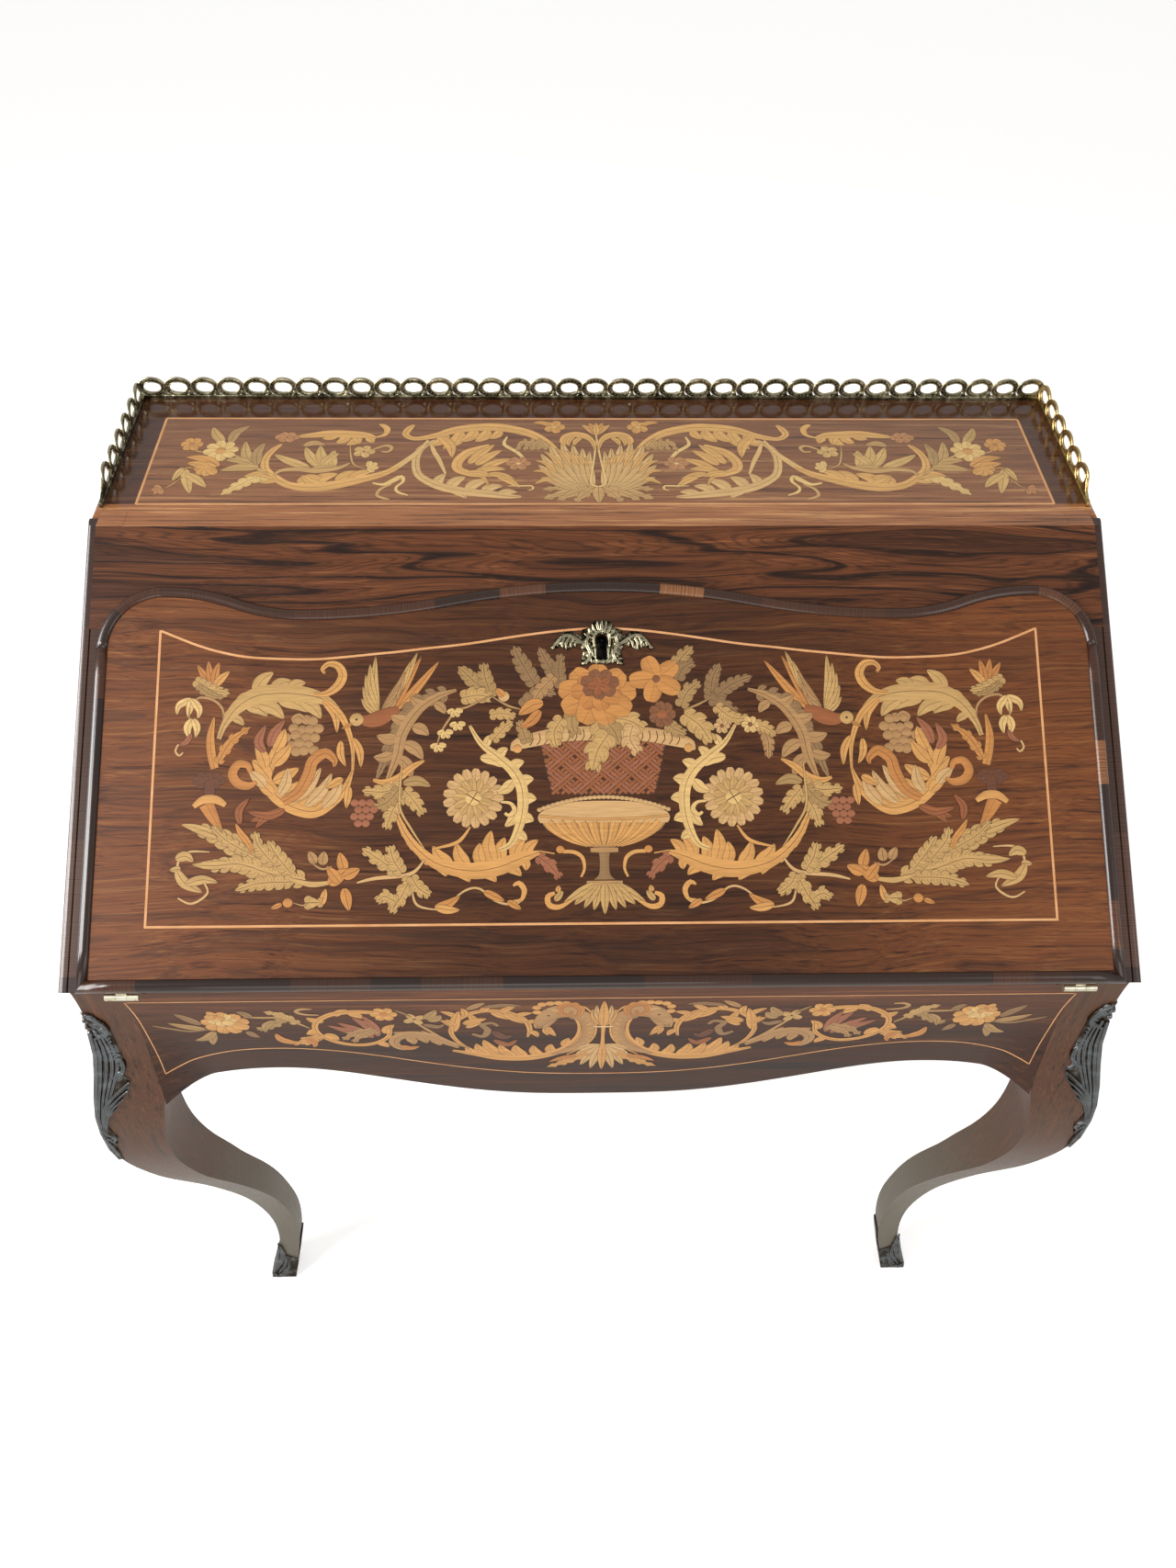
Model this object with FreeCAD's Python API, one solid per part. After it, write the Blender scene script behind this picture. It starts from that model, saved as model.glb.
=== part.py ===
import FreeCAD, Part
import math
import os

# Drop-front writing desk on four cabriole legs, in millimetres.
# X runs to the sitter's right, Y runs to the back, Z runs up from the floor.
# The origin lies on the floor, midway between the outermost points of the legs.

vector = FreeCAD.Vector

# Whole desk
slope_foot_height = 690.5
slope_run = 302.5
slope_rise = 174.5
case_depth = 482.5
case_width = 767.0
side_thickness = 20.0
top_thickness = 18.0
back_thickness = 12.0
back_inset = 2.0
apron_setback = 3.5
apron_thickness = 20.0
writing_drop = 3.0
seat_gap = 0.3
cut_overrun = 5.0

# Beaded strips on the sloping edges of the sides, and the like bead of the top
strip_thickness = 8.0
bead_reach = 6.5
quirk_width = 1.2
quirk_depth = 1.5

# Fixed rail above the fall
rail_thickness = 16.0
rail_cover = 1.0

# Fall
fall_inner_depth = 7.0
fall_face_height = 8.0
fall_foot_drop = 0.6
fall_side_gap = 1.5
fall_head_gap = 1.0
lip_side_margin = 8.5
moulding_width = 9.5
moulding_crown_height = 2.4
# Section of the bead: share of the width outward, then share of the full height
moulding_shares = (
    (0.0, 0.77),
    (0.13, 0.93),
    (0.38, 1.0),
    (0.65, 0.95),
    (0.87, 0.75),
    (1.0, 0.44),
)
field_middle_crest = 293.5
field_side_crest = 290.0
field_dip_drop = 18.0
field_dip_share = 0.584
field_corner_radius = 39.5

# Leather writing surface let into the inner face of the fall
leather_side_margin = 46.0
leather_foot_margin = 34.0
leather_lock_gap = 12.0
leather_thickness = 1.0

# Lock, bolt, strike and keyhole plate
lock_half_width = 35.0
lock_height = 42.0
lock_depth = 11.0
lock_wall = 1.5
bolt_half_width = 9.0
bolt_thickness = 3.0
bolt_offset = 0.8
bolt_length = 20.0
bolt_throw = 8.0
bolt_clearance = 0.3
strike_half_width = 24.0
strike_thickness = 1.5
strike_margin = 3.0
keyhole_drop = 16.0
keyhole_radius = 4.6
keyhole_slot_width = 7.2
keyhole_slot_length = 15.0
plate_half_width = 38.0
plate_height = 35.0
plate_rise = 15.0
plate_thickness = 1.5
# Right half outline, up from the foot, as shares of half width and of height
plate_shares = (
    (0.0, 0.04),
    (0.20, 0.10),
    (0.42, 0.0),
    (0.37, 0.30),
    (0.42, 0.47),
    (0.56, 0.45),
    (0.68, 0.33),
    (0.78, 0.43),
    (1.0, 0.37),
    (0.90, 0.58),
    (0.74, 0.75),
    (0.58, 0.76),
    (0.42, 0.65),
    (0.38, 0.80),
    (0.22, 0.85),
    (0.15, 0.98),
    (0.0, 1.0),
)

# Hinges: one leaf lies in the level top of the apron, the other in the level
# bevel under the fall, and the barrel stands outside
hinge_axis_ahead = 0.5
hinge_axis_drop = 5.5
hinge_side_gap = 6.5
hinge_width = 24.0
hinge_plate_thickness = 1.4
hinge_leaf_length = 12.0
fall_leaf_length = 5.0
barrel_radius = 2.8
barrel_gap = 0.2
hinge_pin_radius = 1.2
hinge_pin_clearance = 0.06
barrel_recess_radius = 2.0
barrel_recess_depth = 3.0
barrel_recess_drop = 3.2

# Elbow stays, one inside each side
stay_reach = 140.0
stay_offset = 11.0
stay_pivot_back = 120.0
stay_pivot_rise = 43.0
stay_width = 11.0
stay_thickness = 2.5
stay_layer_gap = 0.5
stay_side_gap = 1.0
stud_radius = 2.5
stud_clearance = 0.06
stud_head_radius = 4.0
stud_head_thickness = 0.9
open_pivot_clearance = 0.4
stop_margin = 25.0
stop_clearance = 0.4
lug_plate_length = 26.0
lug_plate_width = 13.0
lug_thickness = 1.6
lug_ear_width = 11.0

# Writing bed, well and sliding lid
bed_thickness = 18.0
bed_rebate = 8.0
well_half_width = 150.0
well_front_margin = 90.0
well_length = 150.0
well_drop = 92.0
well_wall = 8.0
well_floor_thickness = 6.0
channel_margin = 10.0
channel_depth = 9.0
channel_length = 375.0
lid_gap = 0.4
lid_top_gap = 0.3
lid_thickness = 8.4
lid_groove_radius = 9.0
lid_groove_depth = 3.0
lid_groove_half_length = 24.0
lid_groove_inset = 26.0
lid_travel = 190.0

# Fittings behind the fall: floor, shelves, uprights and drawers
fitting_front_margin = 304.0
fitting_board = 7.0
centre_half_width = 120.0
shelf_rise = 51.0
drawer_gap = 0.5
drawer_floor_gap = 0.3
drawer_front_thickness = 8.0
drawer_back_gap = 6.5
drawer_wall = 6.0
drawer_bottom = 5.0
knob_length = 15.0
knob_radius = 5.5
# Turned outline: share of the length from the drawer, share of the radius
knob_shares = (
    (0.0, 0.9),
    (0.12, 0.45),
    (0.5, 0.45),
    (0.72, 1.0),
    (1.0, 0.7),
)
drawer_travel = 130.0

# Legs: the outer corner line sways out at the knee and in at the ankle
knee_swell = 26.5
leg_top_width = 35.5
sole_thickness = 2.0
# Height as a share of the leg, sway as a share of the knee swell, and width as
# a share of the width at the top.
leg_shares = (
    (1.0, 0.0, 1.0),
    (0.955, 0.0, 1.0),
    (0.915, 0.07, 1.06),
    (0.873, 0.21, 1.15),
    (0.837, 0.42, 1.31),
    (0.80, 0.66, 1.49),
    (0.764, 0.85, 1.50),
    (0.728, 0.955, 1.41),
    (0.686, 1.0, 1.37),
    (0.64, 0.94, 1.31),
    (0.59, 0.74, 1.215),
    (0.543, 0.49, 1.135),
    (0.494, 0.155, 1.04),
    (0.444, -0.205, 0.92),
    (0.386, -0.566, 0.86),
    (0.32, -0.915, 0.79),
    (0.25, -1.155, 0.72),
    (0.19, -1.26, 0.68),
    (0.133, -1.235, 0.64),
    (0.08, -1.07, 0.62),
    (0.037, -0.81, 0.635),
    (0.0, -0.51, 0.69),
)

# Bronze shoes over the feet
sabot_height = 62.0
sabot_wall = 1.6
sabot_back_height = 24.0

# Bronze mounts over the front knees
mount_thickness = 3.0
mount_head = 655.0
mount_foot = 446.0
# Height as a share from foot to head, then the reach along each face of the
# leg as a share of the widest reach.
mount_reach = 27.0
mount_shares = (
    (1.0, 0.10),
    (0.955, 0.36),
    (0.905, 0.54),
    (0.84, 0.60),
    (0.765, 0.68),
    (0.69, 0.82),
    (0.632, 0.70),
    (0.60, 0.98),
    (0.555, 0.97),
    (0.495, 0.78),
    (0.445, 0.48),
    (0.40, 0.24),
    (0.345, 0.17),
    (0.29, 0.27),
    (0.24, 0.35),
    (0.19, 0.24),
    (0.12, 0.14),
    (0.0, 0.07),
)

# Aprons between the legs
apron_drop = 177.5
# Across from the middle as shares of the half length, then down from the
# writing level as shares of the drop.
apron_edge_shares = (
    (0.0, 1.0),
    (0.19, 0.985),
    (0.35, 0.915),
    (0.50, 0.812),
    (0.65, 0.718),
    (0.72, 0.70),
    (0.785, 0.703),
    (0.855, 0.726),
    (0.925, 0.77),
    (0.965, 0.798),
    (1.0, 0.83),
)
blend_length = 44.0
# Along the blend from the leg, then how much of the knee swell is followed
blend_shares = ((0.0, 1.0), (0.3, 0.56), (0.6, 0.18), (1.0, 0.0))
blend_root = 6.0

# Pierced gallery round the back and sides of the top
gallery_height = 20.0
gallery_rail = 3.4
gallery_thickness = 3.0
gallery_edge_inset = 4.0
gallery_back_inset = 5.0
gallery_valley = 14.5
gallery_hole_half_length = 8.0
gallery_hole_half_height = 6.5
gallery_seat_depth = 0.8
gallery_hole_sides = 8
gallery_crown_sides = 4
gallery_back_loops = 35
gallery_side_loops = 6
gallery_tip_length = 17.0
gallery_tip_height = 4.0

# Worked out from the values above
half_width = case_width / 2
inner_half_width = half_width - side_thickness
lip_half_width = half_width - lip_side_margin
field_half_width = lip_half_width - moulding_width
field_dip_across = field_dip_share * half_width
field_dip = field_side_crest - field_dip_drop
rail_foot = field_dip + rail_cover
hinge_centre = inner_half_width - hinge_side_gap - hinge_width / 2
slope_length = math.hypot(slope_run, slope_rise)
slope_cos = slope_run / slope_length
slope_sin = slope_rise / slope_length
top_height = slope_foot_height + slope_rise
under_top = top_height - top_thickness
writing_level = slope_foot_height - writing_drop
foot_line = -(case_depth + apron_setback - mount_thickness) / 2
back_line = foot_line + case_depth
apron_face = foot_line + apron_setback
middle_line = (apron_face + back_line) / 2
half_frame = (back_line - apron_face) / 2
bed_foot = writing_level - bed_thickness
hinge_axis_y = foot_line - hinge_axis_ahead
hinge_axis_z = slope_foot_height - hinge_axis_drop
field_foot = moulding_width - fall_foot_drop
field_shoulder = field_side_crest - field_corner_radius
core_half_width = inner_half_width - fall_side_gap
core_head = rail_foot - fall_head_gap
keyhole_height = core_head - keyhole_drop
leather_half_width = core_half_width - leather_side_margin
leather_head = core_head - lock_height - leather_lock_gap


def slopePoint(across, along, out):
    """Point at a distance across, up the slope from its foot, and out of it."""
    y = foot_line + along * slope_cos - out * slope_sin
    z = slope_foot_height + along * slope_sin + out * slope_cos
    return vector(across, y, z)


def slopeAlong(y, z):
    return (y - foot_line) * slope_cos + (z - slope_foot_height) * slope_sin


def slopeOut(y, z):
    return (z - slope_foot_height) * slope_cos - (y - foot_line) * slope_sin


def slopeYAt(out, z):
    """Where the plane lying this far out of the slope passes a height."""
    return foot_line + ((z - slope_foot_height) * slope_cos - out) / slope_sin


def box(x0, x1, y0, y1, z0, z1):
    return Part.makeBox(x1 - x0, y1 - y0, z1 - z0, vector(x0, y0, z0))


def prismX(points, x0, x1):
    """Solid between two X planes from an outline of (y, z) points."""
    wire = Part.makePolygon([vector(x0, y, z) for y, z in points + points[:1]])
    return Part.Face(wire).extrude(vector(x1 - x0, 0, 0))


def slopeBox(x0, x1, along0, along1, out0, out1):
    """Block lying square to the slope."""
    corners = ((along0, out0), (along1, out0), (along1, out1), (along0, out1))
    points = [slopePoint(0, along, out) for along, out in corners]
    return prismX([(p.y, p.z) for p in points], x0, x1)


def slopeSolid(edges, out0, out1):
    """Solid standing out of the slope on a closed outline of edges."""
    face = Part.Face(Part.Wire(Part.sortEdges(edges)[0]))
    solid = face.extrude(vector(0, -slope_sin, slope_cos) * (out1 - out0))
    solid.translate(vector(0, -slope_sin, slope_cos) * out0)
    return solid


def splineEdge(points):
    curve = Part.BSplineCurve()
    curve.interpolate(points)
    return curve.toShape()


def cylinderX(radius, x0, x1, y, z):
    return Part.makeCylinder(radius, x1 - x0, vector(x0, y, z), vector(1, 0, 0))


def mirrored(shape):
    return shape.mirror(vector(0, 0, 0), vector(1, 0, 0))


def turned(shape):
    """The same piece swung to the opposite corner or side of the frame."""
    return shape.mirror(vector(0, middle_line, 0), vector(0, 1, 0))


def save(name, shape):
    shape.exportStep("parts/" + name + ".step")


def saveSolids(name, shapes):
    save(name, Part.makeCompound(shapes))


# Case

def topPanel():
    flat = [
        (slopeYAt(0, under_top), under_top),
        (slopeYAt(0, top_height), top_height),
        (back_line, top_height),
        (back_line, under_top),
    ]
    ends = [
        (slopeYAt(-strip_thickness, under_top), under_top),
        (slopeYAt(-strip_thickness, top_height), top_height),
        (back_line, top_height),
        (back_line, under_top),
    ]
    panel = prismX(flat, -inner_half_width, inner_half_width)
    radius = strip_thickness / 2
    bead_front = slopeYAt(-strip_thickness, top_height - strip_thickness)
    for side in (-1, 1):
        x0, x1 = sorted((side * inner_half_width, side * half_width))
        panel = panel.fuse(prismX(ends, x0, x1))
        x0, x1 = sorted((side * half_width, side * (half_width + bead_reach - radius)))
        bead = box(x0, x1, bead_front, back_line, top_height - strip_thickness, top_height)
        centre = vector(side * (half_width + bead_reach - radius), bead_front, top_height - radius)
        bead = bead.fuse(Part.makeCylinder(radius, back_line - bead_front, centre, vector(0, 1, 0)))
        past = slopeBox(-case_width, case_width, 0, slope_length + top_thickness,
                        -strip_thickness, top_thickness)
        panel = panel.fuse(bead.cut(past))
    return panel.removeSplitter()


def sidePanel():
    outline = [
        (slopeYAt(-strip_thickness, writing_level), writing_level),
        (slopeYAt(-strip_thickness, under_top), under_top),
        (back_line, under_top),
        (back_line, writing_level),
    ]
    return prismX(outline, inner_half_width, half_width)


def slopeStrip():
    """Cross-grained strip with a quirk and a bead along its outer edge."""
    radius = strip_thickness / 2
    outer = half_width + bead_reach
    bead_x = outer - radius
    quirk_x = bead_x - radius + quirk_width
    length = slope_length + strip_thickness
    foot = slopePoint(0, 0, 0)
    edges = []
    points = [
        (inner_half_width, -strip_thickness),
        (inner_half_width, 0),
        (quirk_x - quirk_width, 0),
        (quirk_x - quirk_width / 2, -quirk_depth),
        (quirk_x, 0),
        (bead_x, 0),
    ]
    normal = vector(0, -slope_sin, slope_cos)
    places = [foot + vector(x, 0, 0) + normal * out for x, out in points]
    for here, there in zip(places, places[1:]):
        edges.append(Part.makeLine(here, there))
    under = foot + vector(bead_x, 0, 0) - normal * strip_thickness
    belly = foot + vector(outer, 0, 0) - normal * radius
    edges.append(Part.Arc(places[-1], belly, under).toShape())
    edges.append(Part.makeLine(under, places[0]))
    face = Part.Face(Part.Wire(edges))
    strip = face.extrude(vector(0, slope_cos, slope_sin) * length)
    below = box(0, case_width, foot_line - case_depth, back_line,
                writing_level - case_depth, writing_level)
    above = box(0, case_width, foot_line, back_line, top_height, top_height + case_depth)
    return strip.cut(below).cut(above)


def backPanel():
    outer = back_line - back_inset
    return box(-inner_half_width, inner_half_width, outer - back_thickness, outer,
               writing_level, under_top)


def upperRail():
    foot_out = slopePoint(0, rail_foot, 0)
    foot_in = slopePoint(0, rail_foot, -rail_thickness)
    outline = [
        (foot_in.y, foot_in.z),
        (foot_out.y, foot_out.z),
        (slopeYAt(0, under_top), under_top),
        (slopeYAt(-rail_thickness, under_top), under_top),
    ]
    rail = prismX(outline, -inner_half_width, inner_half_width)
    plate = slopeBox(-strike_half_width, strike_half_width, rail_foot - cut_overrun,
                     rail_foot + strike_thickness, strikeInner(), strikeOuter())
    mortise = slopeBox(-boltSlot(), boltSlot(), rail_foot - cut_overrun,
                       rail_foot + bolt_throw + strike_margin,
                       boltInner() - bolt_clearance, boltOuter() + bolt_clearance)
    return rail.cut(plate).cut(mortise)


def writingBed():
    front = apron_face + apron_thickness - bed_rebate
    back = back_line - apron_thickness + bed_rebate
    side = inner_half_width + bed_rebate
    bed = box(-side, side, front, back, bed_foot, writing_level)
    post = half_width - leg_top_width
    for sx in (-1, 1):
        x0, x1 = sorted((sx * post, sx * (side + cut_overrun)))
        bed = bed.cut(box(x0, x1, front - cut_overrun, apron_face + leg_top_width,
                          bed_foot - cut_overrun, writing_level + cut_overrun))
        bed = bed.cut(box(x0, x1, back_line - leg_top_width, back + cut_overrun,
                          bed_foot - cut_overrun, writing_level + cut_overrun))
    well_y = foot_line + well_front_margin
    channel = well_half_width + channel_margin
    bed = bed.cut(box(-channel, channel, well_y - channel_margin,
                      well_y - channel_margin + channel_length,
                      writing_level - channel_depth, writing_level + cut_overrun))
    return bed.cut(box(-well_half_width, well_half_width, well_y, well_y + well_length,
                       bed_foot - cut_overrun, writing_level))


def wellWalls():
    y0 = foot_line + well_front_margin
    y1 = y0 + well_length
    foot = bed_foot - well_drop + bed_thickness
    outer = well_half_width + well_wall
    walls = []
    for sx in (-1, 1):
        x0, x1 = sorted((sx * well_half_width, sx * outer))
        walls.append(box(x0, x1, y0 - well_wall, y1 + well_wall, foot, bed_foot))
    for start in (y0 - well_wall, y1):
        walls.append(box(-well_half_width, well_half_width, start, start + well_wall,
                         foot, bed_foot))
    return walls


def wellFloor():
    y0 = foot_line + well_front_margin - well_wall
    y1 = foot_line + well_front_margin + well_length + well_wall
    outer = well_half_width + well_wall
    top = bed_foot - well_drop + bed_thickness
    return box(-outer, outer, y0, y1, top - well_floor_thickness, top)


def wellLid():
    half = well_half_width + channel_margin - lid_gap
    front = foot_line + well_front_margin - channel_margin + lid_gap
    back = foot_line + well_front_margin + well_length + channel_margin
    top = writing_level - lid_top_gap
    lid = box(-half, half, front, back, top - lid_thickness, top)
    centre_z = top + lid_groove_radius - lid_groove_depth
    groove = cylinderX(lid_groove_radius, -lid_groove_half_length, lid_groove_half_length,
                       front + lid_groove_inset, centre_z)
    return lid.cut(groove)


# Legs, shoes and knee mounts

def legProfile(grow):
    """Outer and inner offsets from the case corner, with heights, top down."""
    outer, inner = [], []
    for height_share, sway_share, width_share in leg_shares:
        sway = sway_share * knee_swell
        width = width_share * leg_top_width
        height = height_share * writing_level
        outer.append((sway + grow, height))
        inner.append((sway - width - grow, height))
    return outer, inner


def crossedProfiles(outer_points, inner_points):
    """A piece sawn to one profile from the side and again from the front."""
    solids = []
    for along_x in (True, False):
        def place(offset, height):
            if along_x:
                return vector(half_width + offset, middle_line, height)
            return vector(0, back_line + offset, height)
        outer = [place(offset, height) for offset, height in outer_points]
        inner = [place(offset, height) for offset, height in inner_points]
        edges = [
            splineEdge(outer),
            Part.makeLine(outer[-1], inner[-1]),
            splineEdge(inner[::-1]),
            Part.makeLine(inner[0], outer[0]),
        ]
        face = Part.Face(Part.Wire(edges))
        run = vector(0, case_depth, 0) if along_x else vector(case_width, 0, 0)
        solids.append(face.extrude(run))
    return solids[0].common(solids[1])


def legSolid(grow):
    return crossedProfiles(*legProfile(grow))


def belowHeight(shape, height):
    block = box(0, case_width, 0, case_depth, -cut_overrun, height)
    return shape.common(block)


def legPiece(full_leg):
    sole = box(0, case_width, 0, case_depth, -cut_overrun, sole_thickness)
    return full_leg.cut(sole)


def sabotPiece(leg):
    """Shoe that stands high on the outer corner and low behind the foot."""
    shell = belowHeight(legSolid(sabot_wall), sabot_height)
    width = leg_shares[-1][2] * leg_top_width
    outer = leg_shares[-1][1] * knee_swell
    inner = outer - width
    corner = vector(half_width, back_line, 0)
    diagonal = vector(1, 1, 0)
    across = vector(1, -1, 0) * width
    points = [
        (outer + sabot_wall, sabot_height),
        (inner - sabot_wall, sabot_back_height),
        (inner - sabot_wall - cut_overrun, sabot_height + cut_overrun),
        (outer + sabot_wall, sabot_height + cut_overrun),
    ]
    places = [corner + diagonal * u + vector(0, 0, z) - across for u, z in points]
    places.append(places[0])
    slant = Part.Face(Part.makePolygon(places)).extrude(across + across)
    return shell.cut(slant).cut(leg)


def swayAt(height):
    """Outer offset of the leg at a height, straight between its stations."""
    stations = [(share * writing_level, sway * knee_swell) for share, sway, width in leg_shares]
    for (high, out_high), (low, out_low) in zip(stations, stations[1:]):
        if low <= height <= high:
            part = (height - low) / (high - low)
            return out_low + (out_high - out_low) * part
    return stations[0][1]


def mountPiece(full_leg):
    outer, inner = [], []
    rise = mount_head - mount_foot
    for height_share, reach_share in mount_shares:
        height = mount_foot + rise * height_share
        sway = swayAt(height)
        outer.append((sway + mount_thickness, height))
        inner.append((sway - mount_reach * reach_share, height))
    return crossedProfiles(outer, inner).cut(full_leg)


# Aprons

def apronPiece(half_length):
    """Apron seen from its face: centred on X, face on Y zero, level top."""
    drop = [(share * half_length, writing_level - depth * apron_drop)
            for share, depth in apron_edge_shares]
    right = [vector(x, 0, z) for x, z in drop]
    left = [vector(-x, 0, z) for x, z in drop[:0:-1]]
    edges = [
        splineEdge(left + right),
        Part.makeLine(right[-1], vector(half_length, 0, writing_level)),
        Part.makeLine(vector(half_length, 0, writing_level),
                      vector(-half_length, 0, writing_level)),
        Part.makeLine(vector(-half_length, 0, writing_level), left[0]),
    ]
    face = Part.Face(Part.Wire(edges))
    plate = face.extrude(vector(0, apron_thickness, 0))
    reach = knee_swell + blend_root
    trim = face.extrude(vector(0, reach + cut_overrun, 0))
    trim.translate(vector(0, -reach, 0))
    blend = apronBlend(half_length)
    whole = plate.fuse(blend.common(trim))
    whole = whole.fuse(blend.mirror(vector(0, 0, 0), vector(1, 0, 0)).common(trim))
    back = apron_thickness - bed_rebate
    rebate = box(-half_length - cut_overrun, half_length + cut_overrun, back,
                 apron_thickness + cut_overrun, bed_foot, writing_level + cut_overrun)
    return whole.cut(rebate)


def apronBlend(half_length):
    """Swelling that carries the knee of the leg into the flat apron."""
    wires = []
    stations = [(share * writing_level, sway * knee_swell)
                for share, sway, width in leg_shares[1:8]]
    for along_share, follow in blend_shares:
        x = half_length - blend_length * along_share
        front = [vector(x, -sway * follow, height) for height, sway in stations]
        low = vector(x, blend_root, stations[-1][0])
        high = vector(x, blend_root, stations[0][0])
        edges = [
            splineEdge(front),
            Part.makeLine(front[-1], low),
            Part.makeLine(low, high),
            Part.makeLine(high, front[0]),
        ]
        wires.append(Part.Wire(edges))
    return Part.makeLoft(wires, True, False)


def frontApron(leg):
    apron = apronPiece(half_width - leg_top_width)
    apron.translate(vector(0, apron_face, 0))
    for side in (-1, 1):
        apron = apron.cut(caseLeaf(side * hinge_centre))
        recess_x = side * (hinge_centre - hinge_width / 2 - barrel_recess_radius)
        pit = Part.makeCylinder(barrel_recess_radius, barrel_recess_depth,
                                vector(recess_x, apron_face, writing_level - barrel_recess_drop),
                                vector(0, 1, 0))
        apron = apron.cut(pit)
    return apron.cut(leg).cut(mirrored(leg))


def rearApron(leg):
    apron = apronPiece(half_width - leg_top_width)
    apron = apron.mirror(vector(0, 0, 0), vector(0, 1, 0))
    apron.translate(vector(0, back_line, 0))
    return apron.cut(leg).cut(mirrored(leg))


def sideApron(leg):
    apron = apronPiece(half_frame - leg_top_width)
    apron.rotate(vector(0, 0, 0), vector(0, 0, 1), 90)
    apron.translate(vector(half_width, middle_line, 0))
    return apron.cut(leg).cut(turned(leg))


# Fall

def headArcs():
    """Arcs of the serpentine head from the right shoulder to the middle.

    Each is its centre, its start, its middle and its end as (across, along),
    and whether the panel lies on the side of the centre.
    """
    corner_x = field_half_width - field_corner_radius
    corner = (corner_x, field_shoulder)
    diagonal = field_corner_radius * math.sqrt(0.5)
    arcs = [(corner, (field_half_width, field_shoulder),
             (corner_x + diagonal, field_shoulder + diagonal),
             (corner_x, field_side_crest), True)]
    for high_x, high in ((corner_x, field_side_crest), (0, field_middle_crest)):
        run = abs(high_x - field_dip_across) / 2
        rise = (high - field_dip) / 2
        radius = (run * run + rise * rise) / (2 * rise)
        turn = math.asin(run / radius) / 2
        toward = 1 if high_x > field_dip_across else -1
        middle = (high_x - toward * run, high - rise)
        crest = (high_x, high)
        dip = (field_dip_across, field_dip)
        over = ((high_x, high - radius), crest,
                (high_x - toward * radius * math.sin(turn),
                 high - radius + radius * math.cos(turn)), middle, True)
        under = ((field_dip_across, field_dip + radius), middle,
                 (field_dip_across + toward * radius * math.sin(turn),
                  field_dip + radius - radius * math.cos(turn)), dip, False)
        if toward > 0:
            arcs += [over, under]
        else:
            arcs += [flipped(under), flipped(over)]
    return arcs


def flipped(arc):
    centre, start, middle, end, inside = arc
    return centre, end, middle, start, inside


def fieldEdges():
    """Outline of the panel inside the moulding."""
    edges = []
    for sign in (1, -1):
        for centre, start, middle, end, inside in headArcs():
            points = [slopePoint(sign * x, along, 0) for x, along in (start, middle, end)]
            edges.append(Part.Arc(*points).toShape())
    corners = [
        (-field_half_width, field_shoulder),
        (-field_half_width, field_foot),
        (field_half_width, field_foot),
        (field_half_width, field_shoulder),
    ]
    places = [slopePoint(x, along, 0) for x, along in corners]
    return edges + [Part.makeLine(a, b) for a, b in zip(places, places[1:])]


def mouldingFace(origin, outward):
    """Section of the moulding: one full bead that rolls over to a low edge."""
    up = vector(0, -slope_sin, slope_cos)
    crown = fall_face_height + moulding_crown_height
    section = [(share * moulding_width, height * crown) for share, height in moulding_shares]
    section += [(moulding_width, seat_gap), (0, seat_gap), section[0]]
    return Part.Face(Part.makePolygon([origin + outward * across + up * out
                                       for across, out in section]))


def sideMoulding():
    start = slopePoint(field_half_width, field_foot - moulding_width, 0)
    face = mouldingFace(start, vector(1, 0, 0))
    along = vector(0, slope_cos, slope_sin)
    piece = face.extrude(along * (field_shoulder - field_foot + moulding_width))
    inner, outer = mitreEnds(1)
    return piece.cut(mitreWedge(inner, outer, (inner[0], outer[1])))


def footMoulding():
    start = slopePoint(-lip_half_width, field_foot, 0)
    face = mouldingFace(start, vector(0, -slope_cos, -slope_sin))
    piece = face.extrude(vector(lip_half_width + lip_half_width, 0, 0))
    for side in (-1, 1):
        inner, outer = mitreEnds(side)
        piece = piece.cut(mitreWedge(inner, outer, (outer[0], inner[1])))
    return piece


def mitreEnds(side):
    """Where the mitre line at a lower corner of the fall starts and stops."""
    inner = (side * (field_half_width - moulding_width), field_foot + moulding_width)
    outer = (side * (lip_half_width + moulding_width),
             field_foot - moulding_width - moulding_width)
    return inner, outer


def mitreWedge(inner, outer, beside):
    """What lies on one side of a mitre line, right through the moulding."""
    wire = Part.makePolygon([slopePoint(x, along, -cut_overrun)
                             for x, along in (inner, outer, beside, inner)])
    depth = fall_face_height + moulding_crown_height + cut_overrun + cut_overrun
    return Part.Face(wire).extrude(vector(0, -slope_sin, slope_cos) * depth)


def headMoulding():
    """Moulding turned about the centre of each arc of the serpentine head."""
    up = vector(0, -slope_sin, slope_cos)
    half = []
    for centre, start, middle, end, inside in headArcs():
        hub = slopePoint(*centre, 0)
        begin = slopePoint(*start, 0) - hub
        finish = slopePoint(*end, 0) - hub
        outward = begin * (1 / begin.Length)
        if not inside:
            outward = outward * -1
        turn = math.degrees(begin.getAngle(finish))
        if begin.cross(finish).dot(up) < 0:
            turn = -turn
        section = mouldingFace(hub + begin, outward)
        half.append(section.revolve(hub, up, turn))
    pieces = half + [mirrored(piece) for piece in half]
    return pieces[0].fuse(pieces[1:]).removeSplitter()


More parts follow.
